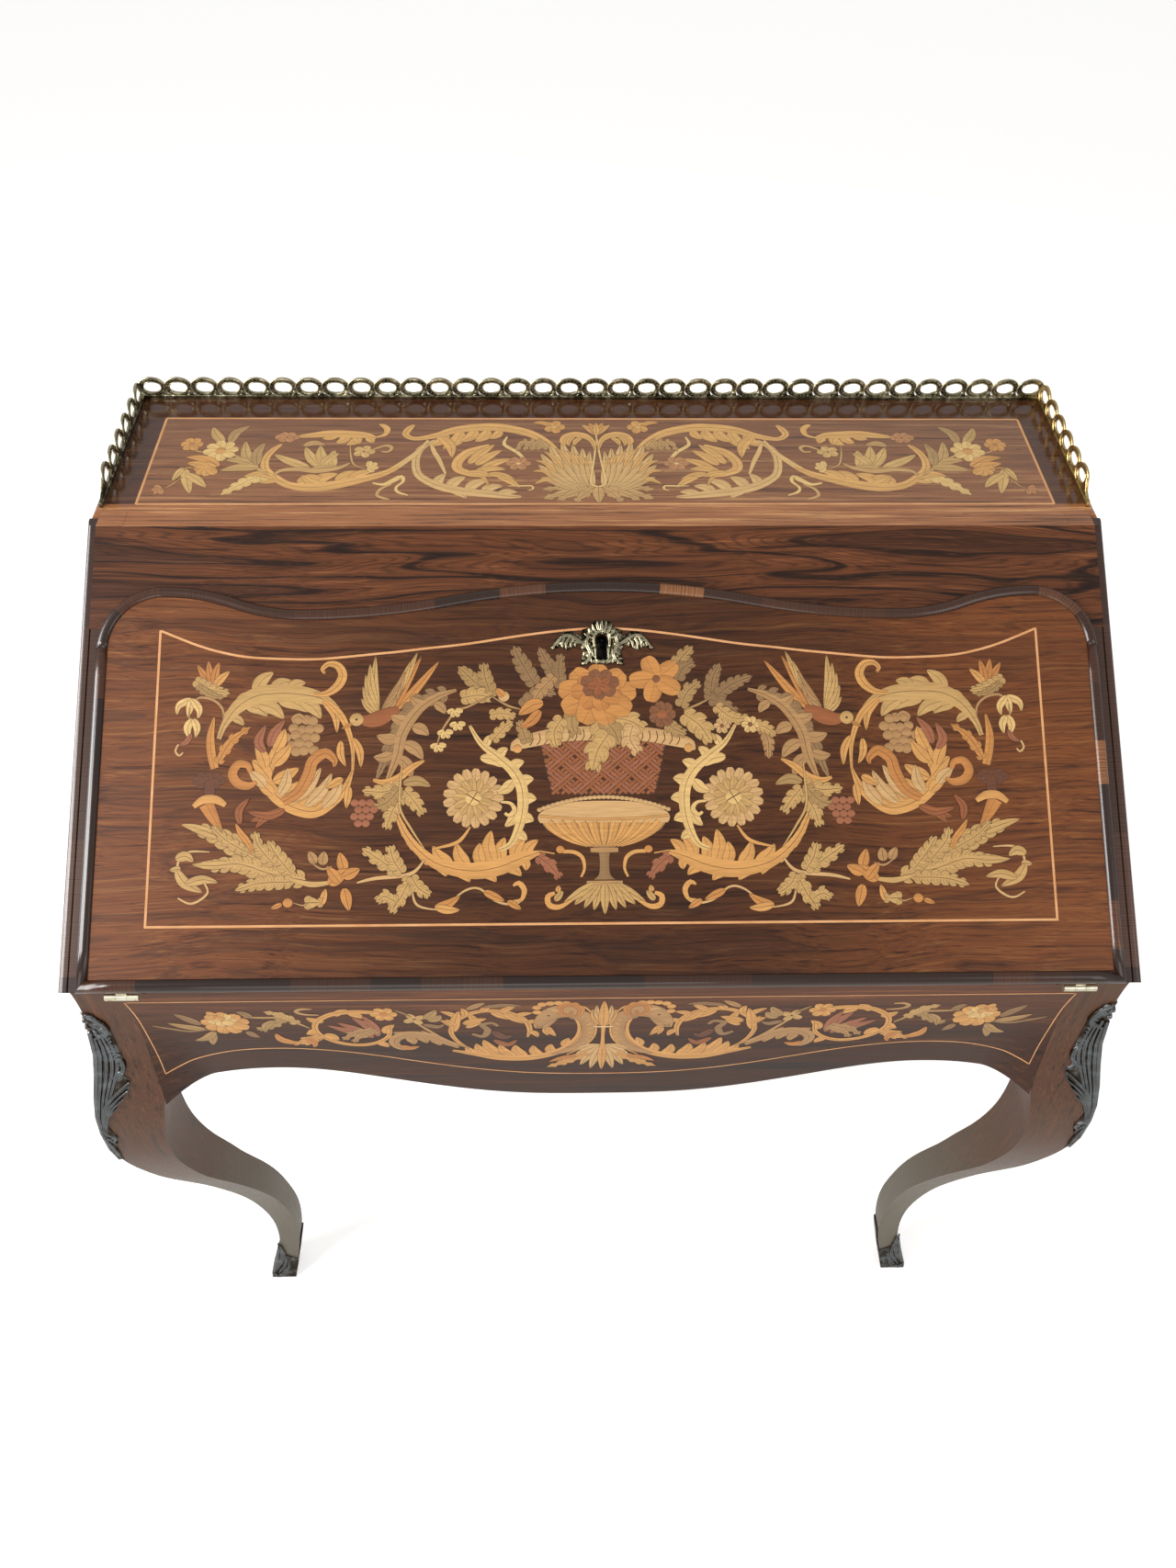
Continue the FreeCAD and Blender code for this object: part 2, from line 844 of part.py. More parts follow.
def fallPanel():
    lip = slopeSolid(fieldEdges(), seat_gap, fall_face_height)
    core = slopeBox(-core_half_width, core_half_width, -fall_foot_drop, core_head,
                    -fall_inner_depth, seat_gap)
    level = writing_level + seat_gap
    below = box(-case_width, case_width, foot_line - case_depth, back_line,
                foot_line, level)
    panel = lip.fuse(core.cut(below))
    leather = slopeBox(-leather_half_width, leather_half_width, leather_foot_margin, leather_head,
                       -fall_inner_depth - cut_overrun, -fall_inner_depth + leather_thickness)
    panel = panel.cut(leather)
    lock_room = slopeBox(-lock_half_width, lock_half_width, core_head - lock_height,
                         core_head, -fall_inner_depth - cut_overrun,
                         -fall_inner_depth + lock_depth)
    panel = panel.cut(lock_room)
    for side in (-1, 1):
        panel = panel.cut(fallLeaf(side * hinge_centre))
        panel = panel.cut(fallNeck(side * hinge_centre))
    return panel.cut(keyholeCutter())


def keyholeCutter():
    out = vector(0, -slope_sin, slope_cos)
    reach = fall_face_height + plate_thickness + cut_overrun
    round_hole = Part.makeCylinder(keyhole_radius, reach, slopePoint(0, keyhole_height, 0), out)
    slot = slopeBox(-keyhole_slot_width / 2, keyhole_slot_width / 2,
                    keyhole_height - keyhole_slot_length, keyhole_height, 0, reach)
    return round_hole.fuse(slot)


def writingLeather():
    return slopeBox(-leather_half_width, leather_half_width, leather_foot_margin, leather_head,
                    -fall_inner_depth, -fall_inner_depth + leather_thickness)


def keyholePlate():
    plate_foot = keyhole_height + plate_rise - plate_height
    half = [slopePoint(x * plate_half_width, plate_foot + share * plate_height, 0)
            for x, share in plate_shares]
    other = [slopePoint(-x * plate_half_width, plate_foot + share * plate_height, 0)
             for x, share in plate_shares[-2::-1]]
    outline = Part.makePolygon(half + other)
    plate = slopeSolid(outline.Edges, fall_face_height, fall_face_height + plate_thickness)
    return plate.cut(keyholeCutter())


def boltInner():
    return -fall_inner_depth + bolt_offset


def boltOuter():
    return boltInner() + bolt_thickness


def boltSlot():
    return bolt_half_width + bolt_clearance


def strikeInner():
    return -rail_thickness + strike_margin


def strikeOuter():
    return boltOuter() + bolt_clearance + strike_thickness / 2


def lockCase():
    case = slopeBox(-lock_half_width, lock_half_width, core_head - lock_height, core_head,
                    -fall_inner_depth, -fall_inner_depth + lock_depth)
    slot = slopeBox(-boltSlot(), boltSlot(), core_head - bolt_length - bolt_clearance,
                    core_head + cut_overrun, boltInner() - bolt_clearance,
                    boltOuter() + bolt_clearance)
    key_way = Part.makeCylinder(keyhole_radius, lock_depth,
                                slopePoint(0, keyhole_height, boltOuter() + lock_wall),
                                vector(0, -slope_sin, slope_cos))
    return case.cut(slot).cut(key_way)


def lockBolt():
    return slopeBox(-bolt_half_width, bolt_half_width, core_head - bolt_length, core_head,
                    boltInner(), boltOuter())


def strikePlate():
    plate = slopeBox(-strike_half_width, strike_half_width, rail_foot,
                     rail_foot + strike_thickness, strikeInner(), strikeOuter())
    return plate.cut(slopeBox(-boltSlot(), boltSlot(), rail_foot - cut_overrun,
                              rail_foot + strike_thickness + cut_overrun,
                              boltInner() - bolt_clearance, boltOuter() + bolt_clearance))


# Hinges

def barrel(x0, x1):
    return cylinderX(barrel_radius, x0, x1, hinge_axis_y, hinge_axis_z)


def knuckleSpan(centre, number):
    """Start and end of one of the three knuckles."""
    third = hinge_width / 3
    start = centre - hinge_width / 2 + third * number
    return start, start + third


def caseLeaf(centre):
    return box(centre - hinge_width / 2, centre + hinge_width / 2, apron_face,
               apron_face + hinge_leaf_length, writing_level - hinge_plate_thickness,
               writing_level)


def fallLeaf(centre):
    level = writing_level + seat_gap
    return box(centre - hinge_width / 2, centre + hinge_width / 2,
               hinge_axis_y + hinge_plate_thickness, apron_face + fall_leaf_length,
               level, level + hinge_plate_thickness)


def caseHinge(centre):
    """Leaf on the case with the two end knuckles and the pin."""
    leaf = caseLeaf(centre)
    for number in (0, 2):
        start, end = knuckleSpan(centre, number)
        leaf = leaf.fuse(box(start, end, hinge_axis_y, apron_face,
                             writing_level - hinge_plate_thickness, writing_level))
        leaf = leaf.fuse(barrel(start, end))
    x0 = centre - hinge_width / 2
    return leaf.fuse(cylinderX(hinge_pin_radius, x0, x0 + hinge_width,
                               hinge_axis_y, hinge_axis_z))


def fallNeck(centre):
    start, end = knuckleSpan(centre, 1)
    return box(start + barrel_gap, end - barrel_gap, hinge_axis_y,
               hinge_axis_y + hinge_plate_thickness, hinge_axis_z,
               writing_level + seat_gap + hinge_plate_thickness)


def fallHinge(centre):
    """Leaf on the fall with the middle knuckle."""
    start, end = knuckleSpan(centre, 1)
    start, end = start + barrel_gap, end - barrel_gap
    bore = cylinderX(hinge_pin_radius + hinge_pin_clearance, start - cut_overrun,
                     end + cut_overrun, hinge_axis_y, hinge_axis_z)
    knuckle = fallNeck(centre).fuse(barrel(start, end)).cut(bore)
    return fallLeaf(centre).fuse(knuckle)


# Stays: each is an arm on the side of the case and a link to the fall

arm_outer = inner_half_width - stay_side_gap
arm_inner = arm_outer - stay_thickness
link_outer = arm_inner - stay_layer_gap
link_inner = link_outer - stay_thickness
case_pivot = (foot_line + stay_pivot_back, writing_level + stay_pivot_rise)
fall_pivot_point = vector(0, hinge_axis_y, hinge_axis_z)
fall_pivot_point = fall_pivot_point + vector(0, slope_cos, slope_sin) * stay_reach
fall_pivot_point = fall_pivot_point - vector(0, -slope_sin, slope_cos) * stay_offset
fall_pivot = (fall_pivot_point.y, fall_pivot_point.z)
elbow = (case_pivot[0] + fall_pivot[0] - hinge_axis_y,
         case_pivot[1] + fall_pivot[1] - hinge_axis_z)


def bar(start, end, x0, x1):
    """Flat bar with round ends between two pivots."""
    radius = stay_width / 2
    run = math.hypot(end[0] - start[0], end[1] - start[1])
    side_y = -(end[1] - start[1]) / run * radius
    side_z = (end[0] - start[0]) / run * radius
    corners = [
        (start[0] + side_y, start[1] + side_z),
        (end[0] + side_y, end[1] + side_z),
        (end[0] - side_y, end[1] - side_z),
        (start[0] - side_y, start[1] - side_z),
    ]
    solid = prismX(corners, x0, x1)
    for y, z in (start, end):
        solid = solid.fuse(cylinderX(radius, x0, x1, y, z))
    return solid.removeSplitter()


def stayArm():
    arm = bar(case_pivot, elbow, arm_inner, arm_outer)
    hole = cylinderX(stud_radius + stud_clearance, arm_inner - cut_overrun,
                     arm_outer + cut_overrun, *case_pivot)
    pin = cylinderX(stud_radius, link_inner - stay_layer_gap, arm_inner, *elbow)
    head = cylinderX(stud_head_radius, link_inner - stay_layer_gap - stud_head_thickness,
                     link_inner - stay_layer_gap, *elbow)
    return arm.cut(hole).fuse(pin).fuse(head)


def stayLink():
    link = bar(elbow, fall_pivot, link_inner, link_outer)
    holes = ((elbow, stud_clearance), (fall_pivot, open_pivot_clearance))
    for place, clearance in holes:
        link = link.cut(cylinderX(stud_radius + clearance, link_inner - cut_overrun,
                                  link_outer + cut_overrun, *place))
    return link


def stopPlace():
    """The stop stud lies under the arm when the fall is level."""
    run_y, run_z = -stay_reach, stay_offset
    run = math.hypot(run_y, run_z)
    share = stop_margin / stay_reach
    away = stay_width / 2 + stud_radius + stop_clearance
    y = case_pivot[0] + run_y * share - away * run_z / run
    z = case_pivot[1] + run_z * share - away * stay_reach / run
    return y, z


def stayStuds():
    studs = []
    pin_end = arm_inner - stay_layer_gap / 2
    pivot = cylinderX(stud_radius, pin_end, inner_half_width, *case_pivot)
    washer = cylinderX(stud_head_radius, arm_outer + seat_gap, inner_half_width, *case_pivot)
    studs.append(pivot.fuse(washer))
    studs.append(cylinderX(stud_radius, arm_inner, inner_half_width, *stopPlace()))
    return studs + [mirrored(stud) for stud in studs]


def stayLug():
    """Angle plate on the fall with the pin that the link turns on."""
    ear_inner = link_inner - stay_layer_gap - lug_thickness
    ear_outer = link_inner - stay_layer_gap
    along = slopeAlong(*fall_pivot)
    out = slopeOut(*fall_pivot)
    inner = -fall_inner_depth
    plate = slopeBox(ear_outer - lug_plate_width, ear_outer, along - lug_plate_length / 2,
                     along + lug_plate_length / 2, inner - lug_thickness, inner)
    ear = slopeBox(ear_inner, ear_outer, along - lug_ear_width / 2, along + lug_ear_width / 2,
                   out, inner)
    ear = ear.fuse(cylinderX(lug_ear_width / 2, ear_inner, ear_outer, *fall_pivot))
    pin = cylinderX(stud_radius, ear_inner, link_outer, *fall_pivot)
    return plate.fuse(ear).fuse(pin)


# Fittings behind the fall

fitting_y = foot_line + fitting_front_margin
fitting_back = back_line - back_inset - back_thickness
floor_top = writing_level + fitting_board
shelf_foot = writing_level + shelf_rise
shelf_top = shelf_foot + fitting_board
upright_outer = centre_half_width + fitting_board
drawer_depth = fitting_back - fitting_y - drawer_front_thickness - drawer_back_gap


def fittingFloor():
    return box(-inner_half_width, inner_half_width, fitting_y, fitting_back,
               writing_level, floor_top)


def fittingUpright():
    return box(centre_half_width, upright_outer, fitting_y, fitting_back,
               floor_top, under_top)


def fittingShelf():
    return box(upright_outer, inner_half_width, fitting_y, fitting_back,
               shelf_foot, shelf_top)


def drawerSpan():
    return upright_outer + drawer_gap, inner_half_width - drawer_gap


def drawerHeights():
    return floor_top + drawer_floor_gap, shelf_foot - drawer_gap


def drawerTray():
    x0, x1 = drawerSpan()
    z0, z1 = drawerHeights()
    y0 = fitting_y + drawer_front_thickness
    tray = box(x0, x1, y0, y0 + drawer_depth, z0, z1)
    inside = box(x0 + drawer_wall, x1 - drawer_wall, y0 - cut_overrun,
                 y0 + drawer_depth - drawer_wall, z0 + drawer_bottom, z1 + cut_overrun)
    return tray.cut(inside)


def drawerFront():
    x0, x1 = drawerSpan()
    z0, z1 = drawerHeights()
    return box(x0, x1, fitting_y, fitting_y + drawer_front_thickness, z0, z1)


def drawerKnob():
    x0, x1 = drawerSpan()
    z0, z1 = drawerHeights()
    centre = vector((x0 + x1) / 2, fitting_y, (z0 + z1) / 2)
    outline = [centre]
    outline += [centre + vector(share * knob_radius, -along * knob_length, 0)
                for along, share in knob_shares]
    outline += [centre - vector(0, knob_length, 0), centre]
    return Part.Face(Part.makePolygon(outline)).revolve(centre, vector(0, 1, 0), 360)


# Gallery

def galleryBand(loops, pitch, tip):
    """Flat pierced band from X zero, let in just below Z zero, in the XZ plane."""
    end = loops * pitch
    crown = gallery_height - gallery_valley
    places = []
    for step in range(loops * gallery_crown_sides + 1):
        angle = math.pi * (step % gallery_crown_sides) / gallery_crown_sides
        places.append(vector(step * pitch / gallery_crown_sides, 0,
                             gallery_valley + crown * math.sin(angle)))
    edges = Part.makePolygon(places).Edges
    last = vector(end, 0, gallery_valley)
    if tip:
        point = vector(end + tip, 0, gallery_tip_height)
        bend = vector(end + tip / 2, 0, (gallery_rail + gallery_tip_height) / 2)
        edges.append(Part.Arc(last, bend, point).toShape())
        foot = vector(end + tip, 0, -gallery_seat_depth)
        edges.append(Part.makeLine(point, foot))
    else:
        foot = vector(end, 0, -gallery_seat_depth)
        edges.append(Part.makeLine(last, foot))
    start = vector(0, 0, -gallery_seat_depth)
    edges.append(Part.makeLine(foot, start))
    edges.append(Part.makeLine(start, vector(0, 0, gallery_valley)))
    wires = [Part.Wire(edges)]
    middle = gallery_rail + gallery_hole_half_height
    for number in range(loops):
        centre = vector((number + 1) * pitch - pitch / 2, 0, middle)
        ring = []
        for corner in range(gallery_hole_sides + 1):
            angle = 2 * math.pi * corner / gallery_hole_sides
            ring.append(centre + vector(gallery_hole_half_length * math.cos(angle), 0,
                                        gallery_hole_half_height * math.sin(angle)))
        wires.append(Part.makePolygon(ring))
    face = Part.Face(wires)
    face.validate()
    return face.extrude(vector(0, gallery_thickness, 0))


gallery_x = half_width + bead_reach - gallery_edge_inset
gallery_y = back_line - gallery_back_inset
gallery_pitch = (gallery_x + gallery_x) / gallery_back_loops


def galleryBack():
    band = galleryBand(gallery_back_loops, gallery_pitch, 0)
    band.translate(vector(-gallery_x, gallery_y - gallery_thickness, top_height))
    return band


def gallerySide():
    band = galleryBand(gallery_side_loops, gallery_pitch, gallery_tip_length)
    band.rotate(vector(0, 0, 0), vector(0, 0, 1), -90)
    band.translate(vector(gallery_x - gallery_thickness, gallery_y - gallery_thickness,
                          top_height))
    return band


def savePair(name, shape):
    """Right-hand piece as drawn, left-hand piece as its mirror image."""
    save(name + "_right", shape)
    save(name + "_left", mirrored(shape))


def main():
    os.makedirs("parts", exist_ok=True)
    back_gallery = galleryBack()
    side_gallery = gallerySide()
    top = topPanel().cut(back_gallery).cut(side_gallery).cut(mirrored(side_gallery))
    save("top_panel", top)
    save("gallery_back", back_gallery)
    savePair("gallery", side_gallery)
    savePair("side_panel", sidePanel())
    savePair("edge_strip", slopeStrip())
    save("back_panel", backPanel())
    save("upper_rail", upperRail())
    save("writing_bed", writingBed())
    saveSolids("well_walls", wellWalls())
    save("well_floor", wellFloor())
    save("well_lid", wellLid())

    full_leg = legSolid(0)
    leg = legPiece(full_leg)
    sabot = sabotPiece(leg)
    savePair("leg_rear", leg)
    savePair("leg_front", turned(leg).cut(caseLeaf(hinge_centre)))
    savePair("sabot_rear", sabot)
    savePair("sabot_front", turned(sabot))
    savePair("knee_mount", turned(mountPiece(full_leg)))

    save("apron_front", frontApron(turned(leg)))
    save("apron_rear", rearApron(leg))
    savePair("apron_side", sideApron(leg))

    save("fall_panel", fallPanel())
    save("fall_moulding_head", headMoulding())
    save("fall_moulding_foot", footMoulding())
    savePair("fall_moulding", sideMoulding())
    save("writing_leather", writingLeather())
    save("keyhole_plate", keyholePlate())
    save("lock_case", lockCase())
    save("lock_bolt", lockBolt())
    save("strike_plate", strikePlate())

    savePair("hinge_case", caseHinge(hinge_centre))
    savePair("hinge_fall", fallHinge(hinge_centre))
    saveSolids("stay_studs", stayStuds())
    savePair("stay_arm", stayArm())
    savePair("stay_link", stayLink())
    saveSolids("stay_lugs", [stayLug(), mirrored(stayLug())])

    save("fitting_floor", fittingFloor())
    savePair("fitting_upright", fittingUpright())
    savePair("fitting_shelf", fittingShelf())
    savePair("drawer_tray", drawerTray())
    savePair("drawer_front", drawerFront())
    savePair("drawer_knob", drawerKnob())


main()
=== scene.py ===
import math
import random

import bmesh
import bpy
from mathutils import Matrix, Vector
from mathutils.bvhtree import BVHTree


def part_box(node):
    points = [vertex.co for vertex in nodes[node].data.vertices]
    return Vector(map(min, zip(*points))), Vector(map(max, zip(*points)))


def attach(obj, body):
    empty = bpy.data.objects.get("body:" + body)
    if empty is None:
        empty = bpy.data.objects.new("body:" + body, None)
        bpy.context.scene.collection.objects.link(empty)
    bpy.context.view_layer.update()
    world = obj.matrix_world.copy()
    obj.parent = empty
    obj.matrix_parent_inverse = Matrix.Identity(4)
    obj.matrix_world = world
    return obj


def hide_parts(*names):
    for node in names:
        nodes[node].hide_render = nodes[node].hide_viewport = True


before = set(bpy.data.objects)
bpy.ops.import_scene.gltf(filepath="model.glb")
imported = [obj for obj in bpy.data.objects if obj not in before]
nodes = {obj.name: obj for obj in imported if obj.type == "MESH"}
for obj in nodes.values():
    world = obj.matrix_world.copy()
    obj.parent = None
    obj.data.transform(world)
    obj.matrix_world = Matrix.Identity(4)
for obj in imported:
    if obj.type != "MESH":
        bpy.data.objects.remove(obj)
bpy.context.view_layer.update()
mm = 0.001
print("frame:", len(nodes), "nodes")

# lines of the desk in mm, as the case is made
view = {"place": (-0.03145, -0.66715, 1.43424), "yaw": 2.093, "pitch": 50.372, "roll": -1.277,
        "lens": 27.04, "sensor": 36.0}
desk = {
    "slopeRun": 302.5,
    "slopeRise": 174.5,
    "footY": -241.5,  # foot of the slope
    "footZ": 690.5,
    "faceOut": 8.0,  # face of the fall above the slope
    "topZ": 865.0,
    "topFrontY": 61.0,
    "halfWidth": 383.5,
    "friezeY": -238.0,
    "backY": 241.0,  # back of the rear legs at the writing level
    "writingLevel": 687.5,
    "kneeSwell": 26.5,
}
slopeAngle = math.atan2(desk["slopeRise"], desk["slopeRun"])
slopeCos, slopeSin = math.cos(slopeAngle), math.sin(slopeAngle)


def onSlope(a, s, out):
    y = desk["footY"] + s * slopeCos - out * slopeSin
    z = desk["footZ"] + s * slopeSin + out * slopeCos
    return Vector((a, y, z)) * mm


def onFall(a, s, up):
    return onSlope(a, s, desk["faceOut"] + up)


def onTop(a, back, up):
    return Vector((a, desk["topFrontY"] + back, desk["topZ"] + up)) * mm


def linear(colour):
    channels = [int(colour[i:i + 2], 16) / 255 for i in (1, 3, 5)]
    flat = [c / 12.92 if c <= 0.04045 else ((c + 0.055) / 1.055) ** 2.4 for c in channels]
    return (*flat, 1.0)


def addNode(tree, kind, links=None, stops=None, **settings):
    node = tree.nodes.new(kind)
    for name, value in settings.items():
        setattr(node, name, value)
    for key, value in (links or {}).items():
        if isinstance(value, bpy.types.NodeSocket):
            tree.links.new(value, node.inputs[key])
        else:
            node.inputs[key].default_value = value
    if stops:
        ramp = node.color_ramp
        while len(ramp.elements) < len(stops):
            ramp.elements.new(1.0)
        for element, (position, colour) in zip(ramp.elements, stops):
            element.position = position
            element.color = linear(colour) if isinstance(colour, str) else (colour,) * 3 + (1.0,)
    return node


def maths(tree, operation, first, second=None, **settings):
    links = {0: first} if second is None else {0: first, 1: second}
    return addNode(tree, "ShaderNodeMath", links, operation=operation, **settings).outputs[0]


def ranged(tree, value, low, high, atLow, atHigh, kind="LINEAR"):
    return addNode(tree, "ShaderNodeMapRange", {0: value, 1: low, 2: high, 3: atLow, 4: atHigh},
                   interpolation_type=kind).outputs[0]


def mixed(tree, share, colour, other):
    return addNode(tree, "ShaderNodeMix", {0: share, 6: colour, 7: linear(other)},
                   data_type="RGBA").outputs[2]


def scaled(tree, colour, level):
    return addNode(tree, "ShaderNodeVectorMath", {0: colour, "Scale": level}, operation="SCALE").outputs[0]


def ramped(tree, value, stops):
    return addNode(tree, "ShaderNodeValToRGB", {"Fac": value}, stops=stops).outputs["Color"]


def noise(tree, place, scale, detail, rough=0.5):
    return addNode(tree, "ShaderNodeTexNoise", {
        "Vector": place, "Scale": scale, "Detail": detail, "Roughness": rough}).outputs["Fac"]


def attribute(tree, name, output):
    return addNode(tree, "ShaderNodeAttribute", attribute_name=name).outputs[output]


def axes(tree, place):
    return addNode(tree, "ShaderNodeSeparateXYZ", {0: place}).outputs


def turnedBy(tree, place, turn):
    return addNode(tree, "ShaderNodeMapping", {"Vector": place, "Rotation": turn}).outputs[0]


def startMaterial(name):
    material = bpy.data.materials.new(name)
    material.use_nodes = True
    tree = material.node_tree
    tree.nodes.clear()
    place = addNode(tree, "ShaderNodeTexCoord").outputs["Object"]
    return material, tree, place


def endMaterial(tree, colour, roughness, bump=None, bumpDepth=0.1, **look):
    sockets = {"Base Color": colour, "Roughness": roughness}
    if bump is not None:
        raised = addNode(tree, "ShaderNodeBump", {"Height": bump, "Strength": 1.0,
                                                  "Distance": bumpDepth * mm})
        sockets["Normal"] = raised.outputs[0]
    for name, value in look.items():
        sockets[{"metallic": "Metallic", "coat": "Coat Weight", "coatRoughness": "Coat Roughness",
                 "specular": "Specular IOR Level"}[name]] = value
    shader = addNode(tree, "ShaderNodeBsdfPrincipled", sockets)
    addNode(tree, "ShaderNodeOutputMaterial", {"Surface": shader.outputs[0]})


# Veneer and solid wood. Grain runs along the first axis after the turn. Streaks, lines and figure are
# a length and a width in mm, wander is a length and a depth in mm, levels and places are in metres.
woodLooks = {
    # sliced rosewood, french polished: even red-brown with fine dark lines, lighter towards both ends, partly
    # its own tone and partly painted sheen of the light on the polish
    "fallVeneer": {
        "turn": (-slopeAngle, 0, 0), "ground": "#532c12", "dark": "#281208", "light": "#66401f",
        "streak": (300, 2.2), "line": (90, 0.8), "wander": (180, 30), "gloss": 0.42,
        "figure": (300, 20), "rings": 10.0, "contrast": 0.45,
        "ends": {"from": 0.06, "to": 0.35, "gain": 1.45}},
    # rosewood from the heart of the log: wide wavy figure, near black lines
    "figuredRailVeneer": {
        "turn": (-slopeAngle, 0, 0), "ground": "#6f3e21", "dark": "#331a0d", "light": "#945a33",
        "streak": (300, 3.0), "line": (140, 0.8), "wander": (210, 20), "gloss": 0.36,
        "figure": (420, 26), "rings": 15.0, "contrast": 1.0},
    # the same wood under a bright polish, its ground made lighter as painted sheen of the light on the top
    "topVeneer": {
        "turn": (0, 0, 0), "ground": "#a86a3e", "dark": "#522c17", "light": "#e0a468",
        "streak": (150, 4.6), "line": (70, 1.8), "wander": (300, 8), "gloss": 0.18, "coat": 0.7,
        "border": {"side": 0.359, "front": 0.088, "back": 0.204, "flat": 0.8642}},
    # greyer rosewood laid level across the aprons: painted sheen makes it lighter high up and painted shade
    # darker towards the foot
    "apronVeneer": {
        "turn": (0, 0, 0), "ground": "#4c2a17", "dark": "#221008", "light": "#6a4026",
        "streak": (240, 6.0), "line": (80, 1.2), "wander": (320, 10), "gloss": 0.4,
        "paintedSheen": {"high": 0.685, "low": 0.60, "most": 1.75, "least": 0.7}},
    "sideVeneer": {
        "turn": (0, 0, math.radians(90)), "ground": "#633d28", "dark": "#341e12", "light": "#7d5238",
        "streak": (260, 6.0), "line": (90, 1.2), "wander": (280, 14), "gloss": 0.36},
    # rosewood laid along the legs, painted grey towards the foot: sheen of the pale floor in the polish
    "legVeneer": {
        "turn": (0, math.radians(90), 0), "ground": "#5a3822", "dark": "#341e11", "light": "#744a30",
        "streak": (260, 3.0), "line": (90, 0.9), "wander": (240, 8), "gloss": 0.38,
        "paintedFloorSheen": {"high": 0.50, "low": 0.16, "most": 0.6}},
    # plain mahogany with a thin shellac: warm, open grained, little figure
    "shellacMahogany": {
        "turn": (0, 0, 0), "ground": "#8a5433", "dark": "#5f361f", "light": "#9f6840",
        "streak": (180, 7.0), "line": (24, 1.0), "wander": (300, 6), "gloss": 0.38},
    "uprightMahogany": {
        "turn": (0, math.radians(90), 0), "ground": "#84502f", "dark": "#5b331d", "light": "#99633c",
        "streak": (180, 7.0), "line": (24, 1.0), "wander": (300, 6), "gloss": 0.38},
}


# dark year lines follow bands that swell and pinch along the sheet
def figured(tree, colour, bands, rings, strength):
    edge = maths(tree, "PINGPONG", maths(tree, "MULTIPLY", bands, rings), 1.0)
    heart = ramped(tree, edge, [(0.0, 0.98 * strength), (0.11, 0.85 * strength), (0.2, 0.2 * strength),
                                (0.6, 0.0)])
    colour = mixed(tree, heart, colour, "#1a0c06")
    ridge = maths(tree, "PINGPONG", maths(tree, "MULTIPLY", bands, rings * 6.3), 1.0)
    colour = mixed(tree, ranged(tree, ridge, 0.1, 0.5, 0.5 * strength, 0.0), colour, "#2a140a")
    wide = ramped(tree, bands, [(0.36, 0.7 * strength), (0.46, 0.0), (0.6, 0.0), (0.68, 0.55 * strength)])
    return mixed(tree, wide, colour, "#2f170c")


# darker red at the sides and back, outside the string: painted reflection of the dark gallery in the polish.
# Only the flat is polished bright.
def bordered(tree, place, colour, look):
    border, at = look["border"], axes(tree, place)
    within = maths(tree, "GREATER_THAN", at["Y"], border["front"])
    beyond = maths(tree, "GREATER_THAN", maths(tree, "ABSOLUTE", at["X"]), border["side"])
    beside = maths(tree, "MULTIPLY", beyond, within)
    behind = maths(tree, "GREATER_THAN", at["Y"], border["back"])
    either = maths(tree, "MAXIMUM", beside, behind)
    # painted shade: the whole top darker towards the back, where the polish mirrors the gallery
    colour = scaled(tree, colour, ranged(tree, at["Y"], 0.075, 0.215, 1.0, 0.74, "SMOOTHSTEP"))
    inner = maths(tree, "SUBTRACT", within, either, use_clamp=True)
    # inside the string the field is toned darker and greyer than the strip in front of it
    colour = mixed(tree, maths(tree, "MULTIPLY", inner, 0.3), colour, "#5e4434")
    # painted reflection: the border outside the string darkened for the gallery mirrored there
    colour = mixed(tree, maths(tree, "MULTIPLY", either, 0.84), colour, "#361408")
    level = maths(tree, "GREATER_THAN", at["Z"], border["flat"])
    return (colour, ranged(tree, level, 0.0, 1.0, 0.05, look["coat"]),
            ranged(tree, level, 0.0, 1.0, 0.4, look["gloss"]))


